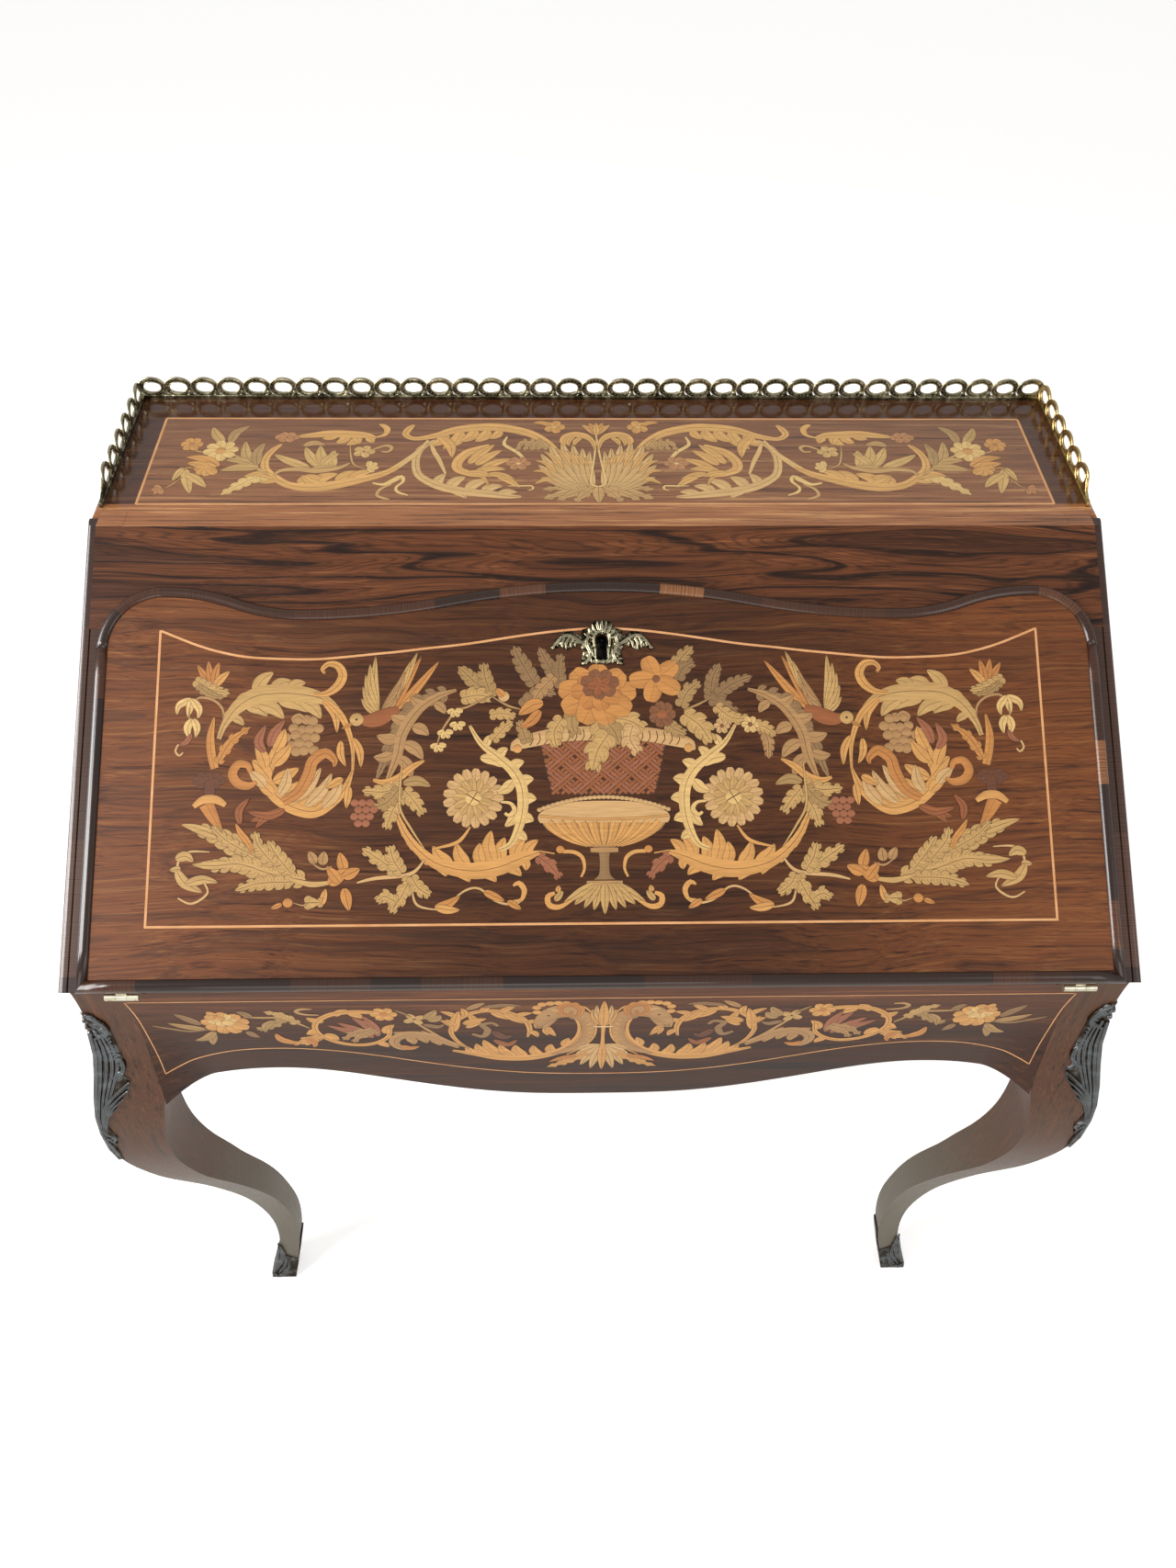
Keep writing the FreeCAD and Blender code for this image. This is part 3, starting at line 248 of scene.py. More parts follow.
def woodMaterial(name):
    look = woodLooks[name]
    material, tree, place = startMaterial(name)
    turned = turnedBy(tree, place, look["turn"])
    wanderLength, wanderDepth = look["wander"]
    drift = addNode(tree, "ShaderNodeTexNoise", {
        "Vector": turned, "Scale": 1000 / wanderLength, "Detail": 2.0, "Roughness": 0.45})
    shift = addNode(tree, "ShaderNodeVectorMath", {
        0: drift.outputs["Color"], 1: (0, wanderDepth * mm, wanderDepth * mm)}, operation="MULTIPLY")
    moved = addNode(tree, "ShaderNodeVectorMath", {0: turned, 1: shift.outputs[0]}).outputs[0]

    def grain(length, width, detail, seed, rough=0.55):
        stretched = addNode(tree, "ShaderNodeMapping", {
            "Vector": moved, "Location": (seed, seed * 2.3, seed * 1.7),
            "Scale": (1000 / length, 1000 / width, 1000 / width)})
        return noise(tree, stretched.outputs[0], 1.0, detail, rough)

    streaks = grain(*look["streak"], 4.0, 3.1)
    colour = ramped(tree, streaks, [(0.30, look["dark"]), (0.44, look["ground"]), (0.56, look["ground"]),
                                    (0.70, look["light"])])
    if "figure" in look:
        bands = grain(*look["figure"], 1.6, 9.2, 0.4)
        colour = figured(tree, colour, bands, look["rings"], look["contrast"])
    lines = grain(*look["line"], 2.0, 7.7, 0.6)
    thin = ramped(tree, lines, [(0.33, 0.55), (0.45, 0.0), (0.60, 0.0), (0.75, 0.0)])
    colour = mixed(tree, thin, colour, look["dark"])
    colour = mixed(tree, ramped(tree, lines, [(0.55, 0.0), (0.72, 0.35)]), colour, look["light"])
    gloss, polish = look["gloss"], look.get("coat", 0.08)
    rough = ranged(tree, streaks, 0.3, 0.7, gloss * 0.85, gloss * 1.15)
    if "border" in look:
        colour, polish, rough = bordered(tree, place, colour, look)
    # painted sheen: the legs mixed towards grey near the foot, for the floor mirrored in the polish
    if "paintedFloorSheen" in look:
        paintedFloorSheen = look["paintedFloorSheen"]
        level = ranged(tree, axes(tree, place)["Z"], paintedFloorSheen["low"], paintedFloorSheen["high"], paintedFloorSheen["most"], 0.0,
                       "SMOOTHSTEP")
        colour = mixed(tree, level, colour, "#7e7e70")
    # painted sheen high on the apron and painted shade towards its foot
    if "paintedSheen" in look:
        paintedSheen = look["paintedSheen"]
        level = ranged(tree, axes(tree, place)["Z"], paintedSheen["low"], paintedSheen["high"], paintedSheen["least"],
                       paintedSheen["most"], "SMOOTHSTEP")
        colour = scaled(tree, colour, level)
    # lighter towards both ends of the fall: partly the wood's own tone, partly painted sheen
    if "ends" in look:
        ends, away = look["ends"], maths(tree, "ABSOLUTE", axes(tree, place)["X"])
        level = ranged(tree, away, ends["from"], ends["to"], 1.0, 1.0 + ends["gain"], "SMOOTHSTEP")
        colour = scaled(tree, colour, level)
    # open pores, drawn longer and wider than real ones so that they show
    pore = ramped(tree, grain(14, 0.9, 1.0, 12.4), [(0.27, 0.5), (0.34, 0.0)])
    colour = mixed(tree, pore, colour, "#1c100a")
    endMaterial(tree, colour, rough, bump=lines, bumpDepth=0.025, specular=0.3, coat=polish,
                coatRoughness=0.09)
    return material


# rosewood laid across the bead in short lengths: each length has its own shade
def bandedMaterial(name, palette, blockMm, fromRun):
    material, tree, place = startMaterial(name)
    if fromRun:
        along, perMm = axes(tree, attribute(tree, "run", "Vector"))["X"], 1.0
    else:
        along, perMm = axes(tree, turnedBy(tree, place, (-slopeAngle, 0, 0)))["Y"], 1000.0
    # joints stand at uneven distances
    swing = maths(tree, "SINE", maths(tree, "MULTIPLY", along, perMm / blockMm * 0.73))
    sway = maths(tree, "MULTIPLY", swing, 0.9)
    moved = maths(tree, "ADD", maths(tree, "MULTIPLY", along, perMm / blockMm), sway)
    pick = addNode(tree, "ShaderNodeTexWhiteNoise", {"W": maths(tree, "FLOOR", moved)},
                   noise_dimensions="1D").outputs["Value"]
    shade = addNode(tree, "ShaderNodeValToRGB", {"Fac": pick}, stops=palette)
    shade.color_ramp.interpolation = "CONSTANT"
    skew = addNode(tree, "ShaderNodeCombineXYZ", {0: maths(tree, "MULTIPLY", along, perMm / 0.9)})
    lines = noise(tree, skew.outputs[0], 1.0, 3.0)
    mask = ramped(tree, lines, [(0.38, 0.8), (0.56, 0.0)])
    colour = mixed(tree, mask, shade.outputs["Color"], "#25150e")
    endMaterial(tree, colour, 0.3, specular=0.35, coat=0.4, coatRoughness=0.06)
    return material


beadPalette = [(0.0, "#54301c"), (0.16, "#2a1a12"), (0.34, "#432616"), (0.5, "#352015"),
               (0.66, "#a0683f"), (0.73, "#4a2b1a"), (0.9, "#6b4127")]
stripPalette = [(0.0, "#55382a"), (0.3, "#452c20"), (0.6, "#664535"), (0.8, "#3c261c")]


# patina gathers in hollows and in soft clouds, high places are rubbed bright; the bright crests are also
# painted highlight, and the darker grooves and rims painted shade
def metalMaterial(name, bright, dull, hollow, rough, patchMm):
    material, tree, place = startMaterial(name)
    cloud = noise(tree, place, 1000 / patchMm, 5.0, 0.65)
    colour = ramped(tree, cloud, [(0.30, hollow), (0.48, dull), (0.66, bright)])
    # the relief mark lightens the crests: partly rubbing, partly painted highlight
    rubbedAndLit = ranged(tree, attribute(tree, "relief", "Fac"), 0.68, 0.95, 0.0, 0.8)
    colour = mixed(tree, rubbedAndLit, colour, bright)
    spread = ranged(tree, cloud, 0.3, 0.7, rough * 1.25, rough * 0.8)
    endMaterial(tree, colour, spread, bump=noise(tree, place, 1000 / 1.6, 3.0), bumpDepth=0.05,
                metallic=1.0)
    return material


# calf skin, dyed, with gilt lines rolled in near its edges: distance from the edge and width in mm
giltLines = ((7.0, 0.5), (10.0, 1.2), (13.0, 0.5))


def leatherMaterial(name):
    material, tree, place = startMaterial(name)
    colour = ramped(tree, noise(tree, place, 28.0, 4.0), [(0.3, "#3a1a14"), (0.7, "#572a1f")])
    cells = addNode(tree, "ShaderNodeTexVoronoi", {"Vector": place, "Scale": 1000 / 1.1}).outputs["Distance"]
    low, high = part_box("writing_leather")
    foot, head = ((Matrix.Rotation(-slopeAngle, 3, "X") @ corner).y for corner in (low, high))
    at = axes(tree, turnedBy(tree, place, (-slopeAngle, 0, 0)))
    across = maths(tree, "ABSOLUTE", at["X"])
    along = maths(tree, "ABSOLUTE", maths(tree, "SUBTRACT", at["Y"], (foot + head) / 2))
    inset = maths(tree, "MINIMUM", maths(tree, "SUBTRACT", high.x, across),
                  maths(tree, "SUBTRACT", abs(head - foot) / 2, along))
    for distance, width in giltLines:
        off = maths(tree, "ABSOLUTE", maths(tree, "SUBTRACT", inset, distance * mm))
        colour = mixed(tree, maths(tree, "LESS_THAN", off, width * mm), colour, "#b98d43")
    endMaterial(tree, colour, 0.5, bump=cells, bumpDepth=0.12)
    return material


# sawn marquetry woods, scorched in hot sand and engraved: dark saw lines round each piece, thin cut
# veins, one side shaded. Each point says its tone, its place on the ribbon and how it is engraved.
def inlayMaterial(name, kerf):
    material, tree, place = startMaterial(name)
    tone = attribute(tree, "tone", "Color")
    at = axes(tree, attribute(tree, "place", "Vector"))
    cut = axes(tree, attribute(tree, "engrave", "Vector"))
    fibre = addNode(tree, "ShaderNodeMapping", {"Vector": place, "Scale": (70, 700, 700)})
    grain = noise(tree, fibre.outputs[0], 1.0, 3.0)
    colour = scaled(tree, tone, ranged(tree, grain, 0.3, 0.7, 0.86, 1.1))
    side = maths(tree, "ABSOLUTE", at["Y"])
    shadeSide = maths(tree, "MULTIPLY", maths(tree, "DIVIDE", at["Y"], at["Z"]), cut["Z"])
    colour = mixed(tree, ranged(tree, shadeSide, 0.0, 1.0, 0.0, 0.55), colour, "#6f4526")
    veined = maths(tree, "MULTIPLY", ranged(tree, side, 0.16, 0.34, 0.8, 0.0), cut["Y"])
    rim = maths(tree, "SUBTRACT", at["Z"], side)
    sawn = ranged(tree, rim, kerf * 0.6, kerf, 0.85, 0.0)
    colour = mixed(tree, maths(tree, "MAXIMUM", veined, sawn), colour, "#3f2414")
    endMaterial(tree, colour, 0.4, specular=0.3, coat=0.1, coatRoughness=0.12)
    return material


# sawn boxwood stringing: one even pale line
def stringMaterial(name):
    material, tree, place = startMaterial(name)
    colour = ramped(tree, noise(tree, place, 60.0, 3.0), [(0.3, "#d99a62"), (0.7, "#edb27c")])
    endMaterial(tree, colour, 0.4, specular=0.3, coat=0.1, coatRoughness=0.12)
    return material


woods = {name: woodMaterial(name) for name in woodLooks}
bandedBead = bandedMaterial("crossBandedBead", beadPalette, 46.0, True)
bandedStrip = bandedMaterial("crossBandedStrip", stripPalette, 70.0, False)
inlayWood = inlayMaterial("sandShadedInlay", 0.34)
boxwoodLine = stringMaterial("boxwoodStringing")
# name, high places, flats, hollows, roughness, size of the clouds in mm
darkBronze, giltBronze, galleryBrass, litGalleryBrass, polishedBrass, hingeBrass, filedSteel, keyholeShadeMetal = (
    metalMaterial(*look) for look in (
        # bluish high places: painted reflection of the window light on the ridges
        ("patinatedBronze", "#7d8387", "#443a30", "#1b140e", 0.3, 12),
        ("wornGiltBronze", "#c9bf9e", "#3c3320", "#120e08", 0.24, 4),
        ("agedCastBrass", "#c8c0a2", "#615b43", "#26231a", 0.3, 7),
        # a lighter copy of the gallery brass for the right-hand gallery: painted light
        ("litCastBrass", "#dcc084", "#a98a52", "#5a4726", 0.3, 9),
        ("lacqueredBrass", "#d9cfae", "#b8a77c", "#85724c", 0.24, 60),
        # the barrels are pale in themselves, and this lighter brass also paints light into the shade of the
        # bead over them
        ("paleHingeBrass", "#fbf6e2", "#e6dfc4", "#a39a7c", 0.36, 9),
        ("filedSteel", "#a9a7a2", "#8b8984", "#5d5a55", 0.36, 14),
        # near-black iron for the lock drum: painted shade inside the keyhole
        ("paintedShadeIron", "#3a3734", "#141210", "#080706", 0.5, 8)))
calfLeather = leatherMaterial("tooledCalf")
print("materials made")

nodeFinish = {
    "fallVeneer": ["fall_panel"],
    "figuredRailVeneer": ["upper_rail"],
    "topVeneer": ["top_panel"],
    "apronVeneer": ["apron_front", "apron_rear"],
    "sideVeneer": ["side_panel_left", "side_panel_right", "apron_side_left", "apron_side_right"],
    "legVeneer": ["leg_front_left", "leg_front_right", "leg_rear_left", "leg_rear_right"],
    "uprightMahogany": ["fitting_upright_left", "fitting_upright_right"],
    "shellacMahogany": ["back_panel", "writing_bed", "well_walls", "well_floor", "well_lid",
                        "fitting_floor", "fitting_shelf_left", "fitting_shelf_right",
                        "drawer_tray_left", "drawer_tray_right", "drawer_front_left",
                        "drawer_front_right"],
}
metalFinish = [
    (hingeBrass, ["hinge_case", "hinge_fall"]),
    (polishedBrass, ["stay_", "strike_plate", "drawer_knob"]),
    (filedSteel, ["lock_case", "lock_bolt"]),
    (darkBronze, ["sabot_", "knee_mount"]),
    (giltBronze, ["keyhole_plate"]),
    (galleryBrass, ["gallery_"]),
    (bandedStrip, ["edge_strip"]),
    (bandedBead, ["fall_moulding"]),
    (calfLeather, ["writing_leather"]),
]
for nodeName, node in nodes.items():
    finish = next((woods[wood] for wood, names in nodeFinish.items() if nodeName in names), None)
    if finish is None:
        finish = next((metal for metal, starts in metalFinish
                       if any(nodeName.startswith(start) for start in starts)), None)
    if finish is None:
        print("no finish for", nodeName)
        finish = woods["shellacMahogany"]
    for slot in node.material_slots:
        slot.material = finish
    if not node.material_slots:
        node.data.materials.append(finish)


def meshFrom(shape, name):
    mesh = bpy.data.meshes.new(name)
    shape.to_mesh(mesh)
    shape.free()
    return mesh


def addPiece(name, mesh, material):
    mesh.materials.append(material)
    piece = bpy.data.objects.new(name, mesh)
    bpy.context.scene.collection.objects.link(piece)
    return piece


def makeMesh(name, points, faces, material, smooth=False, marks=None):
    mesh = bpy.data.meshes.new(name)
    mesh.from_pydata([tuple(p) for p in points], [], faces)
    for key, (kind, values) in (marks or {}).items():
        layer = mesh.attributes.new(key, kind, "POINT")
        flat = [part for value in values for part in (value if hasattr(value, "__len__") else (value,))]
        layer.data.foreach_set({"FLOAT_VECTOR": "vector", "FLOAT_COLOR": "color",
                                "FLOAT": "value"}[kind], flat)
    shape = bmesh.new()
    shape.from_mesh(mesh)
    bmesh.ops.recalc_face_normals(shape, faces=shape.faces)
    shape.to_mesh(mesh)
    shape.free()
    if smooth:
        mesh.shade_smooth()
    return addPiece(name, mesh, material)


# faces of a tube: rings of n points, each joined to the next
def tubeFaces(rings, n, start=0, capped=True):
    faces = [(start + i * n + k, start + i * n + (k + 1) % n,
              start + (i + 1) * n + (k + 1) % n, start + (i + 1) * n + k)
             for i in range(rings - 1) for k in range(n)]
    if capped:
        faces += [tuple(ring * n + start + k for k in range(n)) for ring in (0, rings - 1)]
    return faces


# unit direction of a run at one of its points
def heading(run, i):
    before, after = run[max(i - 1, 0)], run[min(i + 1, len(run) - 1)]
    dx, dy = after[0] - before[0], after[1] - before[1]
    size = math.hypot(dx, dy) or 1.0
    return dx / size, dy / size


# a run from the left to the middle, and the same turned over to the right
def mirrored(points):
    return points + [(-x, *rest) for x, *rest in points[-2::-1]]


def finishPiece(piece, body, slot, *replaced):
    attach(piece, body)
    if replaced:
        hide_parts(*replaced)


# Cross-banded bead round the face of the fall
bead = {
    "fieldHalf": 365.5, "fieldFoot": 8.9, "shoulder": 250.5, "corner": 39.5,
    "sideCrest": 290.0, "middleCrest": 293.5, "dip": 272.0, "dipAcross": 223.964,
    "width": 9.5, "height": 10.4,
    "section": ((0.0, 0.77), (0.06, 0.87), (0.16, 0.945), (0.3, 0.99), (0.42, 1.0), (0.56, 0.98),
                (0.7, 0.92), (0.84, 0.79), (0.94, 0.62), (1.0, 0.44)),
}


def fieldHead(a):
    a = abs(a)
    cornerX = bead["fieldHalf"] - bead["corner"]
    if a >= cornerX:
        return bead["shoulder"] + math.sqrt(max(0.0, bead["corner"] ** 2 - (a - cornerX) ** 2))
    highX, high = (cornerX, bead["sideCrest"]) if a > bead["dipAcross"] else (0.0, bead["middleCrest"])
    run = abs(highX - bead["dipAcross"]) / 2
    rise = (high - bead["dip"]) / 2
    radius = (run * run + rise * rise) / (2 * rise)
    if abs(a - highX) < run:
        return high - radius + math.sqrt(radius ** 2 - (a - highX) ** 2)
    return bead["dip"] + radius - math.sqrt(radius ** 2 - (a - bead["dipAcross"]) ** 2)


def headRun():
    cornerX = bead["fieldHalf"] - bead["corner"]
    run = []
    for step in range(15):
        turn = math.radians(90) * step / 14
        run.append((-cornerX - bead["corner"] * math.cos(turn),
                    bead["shoulder"] + bead["corner"] * math.sin(turn)))
    count = 120
    for step in range(1, count):
        a = -cornerX + 2 * cornerX * step / count
        run.append((a, fieldHead(a)))
    return run + [(-a, s) for a, s in run[14::-1]]


def beadPiece(name, run, outward, mitres, start):
    section = [(w * bead["width"], h * bead["height"]) for w, h in bead["section"]]
    section += [(bead["width"], 0.02), (0.0, 0.02)]
    points, marks = [], []
    travelled = start
    for i, (a, s) in enumerate(run):
        da, ds = heading(run, i)
        na, ns = outward(a, s, -ds, da)
        shiftA, shiftS = mitres.get(i, (0, 0))
        if i:
            travelled += math.dist(run[i - 1], (a, s))
        for w, out in section:
            points.append(onSlope(a + na * w + shiftA * w, s + ns * w + shiftS * w, out))
            marks.append((travelled, w, 0.0))
    piece = makeMesh(name, points, tubeFaces(len(run), len(section)), bandedBead,
                     marks={"run": ("FLOAT_VECTOR", marks)})
    for polygon in piece.data.polygons[:-2]:
        polygon.use_smooth = True
    return piece


half, foot, shoulder = bead["fieldHalf"], bead["fieldFoot"], bead["shoulder"]
headBead = beadPiece("head_bead", headRun(), lambda a, s, na, ns: (na, ns), {}, 0.0)
finishPiece(headBead, "fall", "veneered_rosewood", "fall_moulding_head")
for side, word in ((-1, "left"), (1, "right")):
    steps = [(side * half, foot + (shoulder - foot) * k / 12) for k in range(13)]
    sideBead = beadPiece(word + "_bead", steps, lambda a, s, na, ns: (math.copysign(1, a), 0.0),
                         {0: (0, -1)}, 300.0 * side)
    finishPiece(sideBead, "fall", "veneered_rosewood", "fall_moulding_" + word)
steps = [(-half + 2 * half * k / 40, foot) for k in range(41)]
footBead = beadPiece("foot_bead", steps, lambda a, s, na, ns: (0.0, -1.0),
                     {0: (-1, 0), 40: (1, 0)}, 900.0)
finishPiece(footBead, "fall", "veneered_rosewood", "fall_moulding_foot")
print("beads laid")

# Marquetry: every sawn piece is a ribbon along a smooth spine, in mm on its ground
inlay = {"step": 2.0, "least": 0.25, "thick": 0.05, "onCurve": 0.14, "rise": 0.0022, "cell": 2.2}
lineHalf = {"fall": 0.85, "top": 0.95, "side": 0.8, "friezeLow": 0.5, "friezeHigh": 0.38, "friezeEnd": 0.4}
# colour and share of the painted light on the top's inlay
paintedTopLight = {"colour": "#ffd890", "share": 0.34}
tones = {
    "gold": "#dba05c", "pale": "#d6aa72", "straw": "#e6bd7a", "orange": "#d08f4e", "amber": "#c98649",
    "olive": "#cda366", "moss": "#b48e5a", "grey": "#9a7750", "tan": "#b98d5c", "pink": "#a8694a",
    "brown": "#8a5a3c", "rust": "#a0603a", "plum": "#6e4430", "dark": "#4e3020", "cream": "#ecc590",
}


# the top's woods mixed towards a warm light colour: painted light, since the top faces the lamps
def withPaintedLight(colour):
    share = paintedTopLight["share"]
    pairs = ((int(colour[i:i + 2], 16), int(paintedTopLight["colour"][i:i + 2], 16)) for i in (1, 3, 5))
    return "#" + "".join(f"{round(old * (1 - share) + light * share):02x}" for old, light in pairs)


flatSection = ((-1, 1), (0, 1), (1, 1), (1, 0), (-1, 0))


def smoothRun(points, step):
    ends = [points[0], *points, points[-1]]
    run = []
    for i in range(1, len(ends) - 2):
        four = ends[i - 1:i + 3]
        count = max(1, round(math.dist(four[1][:2], four[2][:2]) / step))
        for k in range(count):
            t = k / count
            run.append(tuple(0.5 * (2 * b + (c - a) * t + (2 * a - 5 * b + 4 * c - d) * t * t
                                    + (3 * b - a - 3 * c + d) * t ** 3) for a, b, c, d in zip(*four)))
    return run + [tuple(points[-1])]


def ribbon(run, tone, vein, shade, **more):
    return {"run": run, "tone": tone, "vein": vein, "shade": shade, **more}


def band(tone, points, vein=0.0, shade=0.0):
    run = [(x, y, max(h, inlay["least"])) for x, y, h in smoothRun(points, inlay["step"])]
    return [ribbon(run, tone, vein, shade)]


def stem(tone, half, points):
    last = len(points) - 1
    return band(tone, [(x, y, half * (0.55 if i in (0, last) else 1.0))
                       for i, (x, y) in enumerate(points)])


# rows of lobes that lean to the tip, joined by a midrib with no saw line of its own
def lobedLeaf(tone, half, points, count, shade):
    line = smoothRun([(x, y, 0) for x, y in points], 1.0)
    last, pieces = len(line) - 1, []
    length = sum(math.dist(p[:2], q[:2]) for p, q in zip(line, line[1:]))
    count = min(count, max(2, round(length / (half * 1.15))))
    body = [line[round(last * share)][:2] for share in (0.0, 0.3, 0.62, 0.97)]
    pieces += leaf(tone, half * 0.92, body, vein=0.0, shade=shade * 0.4)
    for k in range(count):
        t = 0.05 + 0.72 * k / max(1, count - 1)
        i = min(last - 1, round(t * last))
        x, y = line[i][:2]
        along = math.atan2(line[i + 1][1] - y, line[i + 1][0] - x)
        reach = half * (0.55 + 0.95 * math.sin(math.pi * min(1.0, t * 0.85 + 0.2)) ** 0.8)
        for side in (-1, 1):
            angle = along + side * math.radians(62 - 26 * t)
            bend = along + side * math.radians(78 - 26 * t)
            mid = (x + reach * 0.5 * math.cos(bend), y + reach * 0.5 * math.sin(bend))
            tip = (x + reach * math.cos(angle - side * 0.16), y + reach * math.sin(angle - side * 0.16))
            pieces += leaf(tone, max(0.9, reach * 0.34), [(x, y), mid, tip], vein=0.45, shade=shade * side)
    crown = [line[round(last * share)][:2] for share in (0.66, 0.85, 1.0)]
    pieces += leaf(tone, half * 0.5, crown, vein=0.5, shade=shade)
    rib = [(x, y, max(0.5, half * 0.36 * math.sin(math.pi * min(1, 0.18 + 0.75 * i / last))))
           for i, (x, y, _) in enumerate(line[:round(last * 0.9) + 1:2])]
    return pieces + [ribbon(rib, tone, 0.9, shade * 0.5, open=1.0)]


# wide a third of the way up and pointed
def leaf(tone, half, points, teeth=0, vein=0.8, shade=0.35):
    if teeth >= 3:
        return lobedLeaf(tone, half, points, teeth, shade)
    line = smoothRun([(x, y, 0) for x, y in points], 1.6)
    if len(line) < 7:
        line = smoothRun([(x, y, 0) for x, y in points], math.dist(points[0], points[-1]) / 7)
    run, n = [], len(line) - 1
    for i, (x, y, _) in enumerate(line):
        t = i / n
        width = half * (math.sin(math.pi * min(1, t * 0.93 + 0.03) ** 0.8) * 0.95 + 0.1 * (1 - t))
        run.append((x, y, max(width, inlay["least"])))
    return [ribbon(run, tone, vein, shade)]


def dots(tone, radius, places, shade=0.7):
    turns = [k * math.pi / 6 for k in range(7)]
    return [ribbon([(x - radius * math.cos(turn), y, max(radius * math.sin(turn), 0.2)) for turn in turns],
                   tone, 0, shade) for x, y in places]


def blossom(tone, x, y, count, inner, outer, half, middle="straw", core=0.0, turn=0.0, squash=1.0,
            arc=360.0):
    pieces = []
    for k in range(count):
        angle = math.radians(turn + arc * k / count)
        c, s = math.cos(angle), math.sin(angle) * squash
        petal = leaf(tone, half, [(x + inner * c, y + inner * s), (x + outer * c, y + outer * s)])[0]
        last = len(petal["run"]) - 1
        run = [(a, b, max(inlay["least"], half * math.sin(math.pi * min(1, 0.12 + 0.8 * i / last)) ** 0.6))
               for i, (a, b, _) in enumerate(petal["run"])]
        pieces.append(ribbon(run, tone, 0.5, 0.5))
    if core:
        pieces += dots(middle, core, [(x, y)])
    return pieces


# lobes first: their roots lie under the spine, and they lap over each other
def acanthus(tone, spine, lobes):
    pieces = []
    for x0, y0, x1, y1, half in lobes:
        middle = ((x0 + x1) / 2 - 0.12 * (y1 - y0), (y0 + y1) / 2 + 0.12 * (x1 - x0))
        pieces += leaf(tone, half * 1.35, [(x0, y0), middle, (x1, y1)], vein=0.7, shade=0.4)
    return pieces + [{**piece, "open": 1.0} for piece in band(tone, spine, vein=0.9, shade=0.4)]


# leaves given by root, tip and half width, the middle of each moved aside
def spray(tone, leaves, aside=0.0, up=0.0, **look):
    return [piece for x0, y0, x1, y1, half in leaves for piece in leaf(
        tone, half, [(x0, y0), ((x0 + x1) / 2 + aside, (y0 + y1) / 2 + up), (x1, y1)], **look)]


# leaves given by tone, half width, lobes to a side and points
def leafRows(*rows):
    return [piece for tone, half, teeth, *points in rows for piece in leaf(tone, half, points, teeth)]


# round fruit in rows, every second row moved by half a pitch
def packed(x, y, pitch, drop, perRow, count):
    return [(x + pitch * (k % perRow) + pitch / 2 * (k // perRow % 2), y - drop * (k // perRow))
            for k in range(count)]


def vase(tone, levels, shade=0.6):
    return band(tone, [(0.0, s, h) for s, h in levels], shade=shade)


def flip(pieces):
    return [{**piece, "run": [(-x, y, h) for x, y, h in piece["run"]], "shade": -piece["shade"]}
            for piece in pieces]


def sides(pieces):
    return pieces + flip(pieces)


# each piece lies one layer above whatever it laps over
def layersOf(shapes):
    cell, highest, layers = inlay["cell"], {}, []
    for shape in shapes:
        run, own = shape["run"], set()
        for i, (x, y, h) in enumerate(run):
            dx, dy = heading(run, i)
            count = math.ceil(h / cell)
            for k in range(-count, count + 1):
                own.add((round((x - dy * h * k / count) / cell), round((y + dx * h * k / count) / cell)))
        layer = 1 + max(highest.get((i + di, k + dk), 0) for i, k in own
                        for di in (-1, 0, 1) for dk in (-1, 0, 1))
        highest.update(dict.fromkeys(own, layer))
        layers.append(layer)
    return layers


# shapes laid on a ground by put, each with marks for its material
def ribbonPiece(name, shapes, put, material, section=flatSection, height=inlay["thick"], toneOf=tones):
    points, faces, spots, cuts, colours, relief = [], [], [], [], [], []
    layers = layersOf(shapes)
    print(name, len(shapes), "pieces in", max(layers), "layers")
    for layer, shape in zip(layers, shapes):
        run, colour = shape["run"], linear(toneOf[shape["tone"]])
        top = height + inlay["rise"] * layer
        faces += tubeFaces(len(run), len(section), len(points))
        travelled = 0.0
        for i, (x, y, h) in enumerate(run):
            dx, dy = heading(run, i)
            if i:
                travelled += math.dist(run[i - 1][:2], (x, y))
            for across, up in section:
                points.append(put(x - dy * h * across, y + dx * h * across,
                                  top * up * shape.get("lift", 1.0)))
                spots.append((travelled, h * across, h + shape.get("open", 0.0)))
                cuts.append((0.0, shape["vein"], shape["shade"]))
                colours.append(colour)
                relief.append(up)
    return makeMesh(name, points, faces, material, marks={
        "place": ("FLOAT_VECTOR", spots), "engrave": ("FLOAT_VECTOR", cuts),
        "tone": ("FLOAT_COLOR", colours), "relief": ("FLOAT", relief)})


# string lines, straight between points
def lineRun(half, points, closed=False):
    ends = points + points[:1] if closed else points
    return [ribbon([(*here, half), (*there, half)], "cream", 0, 0) for here, there in zip(ends, ends[1:])]


fallArch = [(-327, 264), (-300, 253), (-280, 247), (-260, 243.5), (-230, 242), (-210, 242),
            (-190, 243.6), (-170, 245.6), (-150, 247.6), (-130, 250), (-100, 253.4), (-60, 259.6),
            (-30, 263.4), (-6, 265.2), (0, 265.5)]
fallString = band("cream", [(x, y, lineHalf["fall"]) for x, y in mirrored(fallArch)])
for ends in ([(-327.3, 264.4), (-327.3, 45.0)], [(327.3, 264.4), (327.3, 45.0)], [(-328, 45.5), (328, 45.5)]):
    fallString += lineRun(lineHalf["fall"], ends)
fallLines = ribbonPiece("fall_stringing", fallString, onFall, boxwoodLine)
finishPiece(fallLines, "fall", "veneered_rosewood")

# vase and basket on the middle of the fall
basket = band("dark", [(0, 139, 38.6), (0, 157, 42.6), (0, 176, 47)])
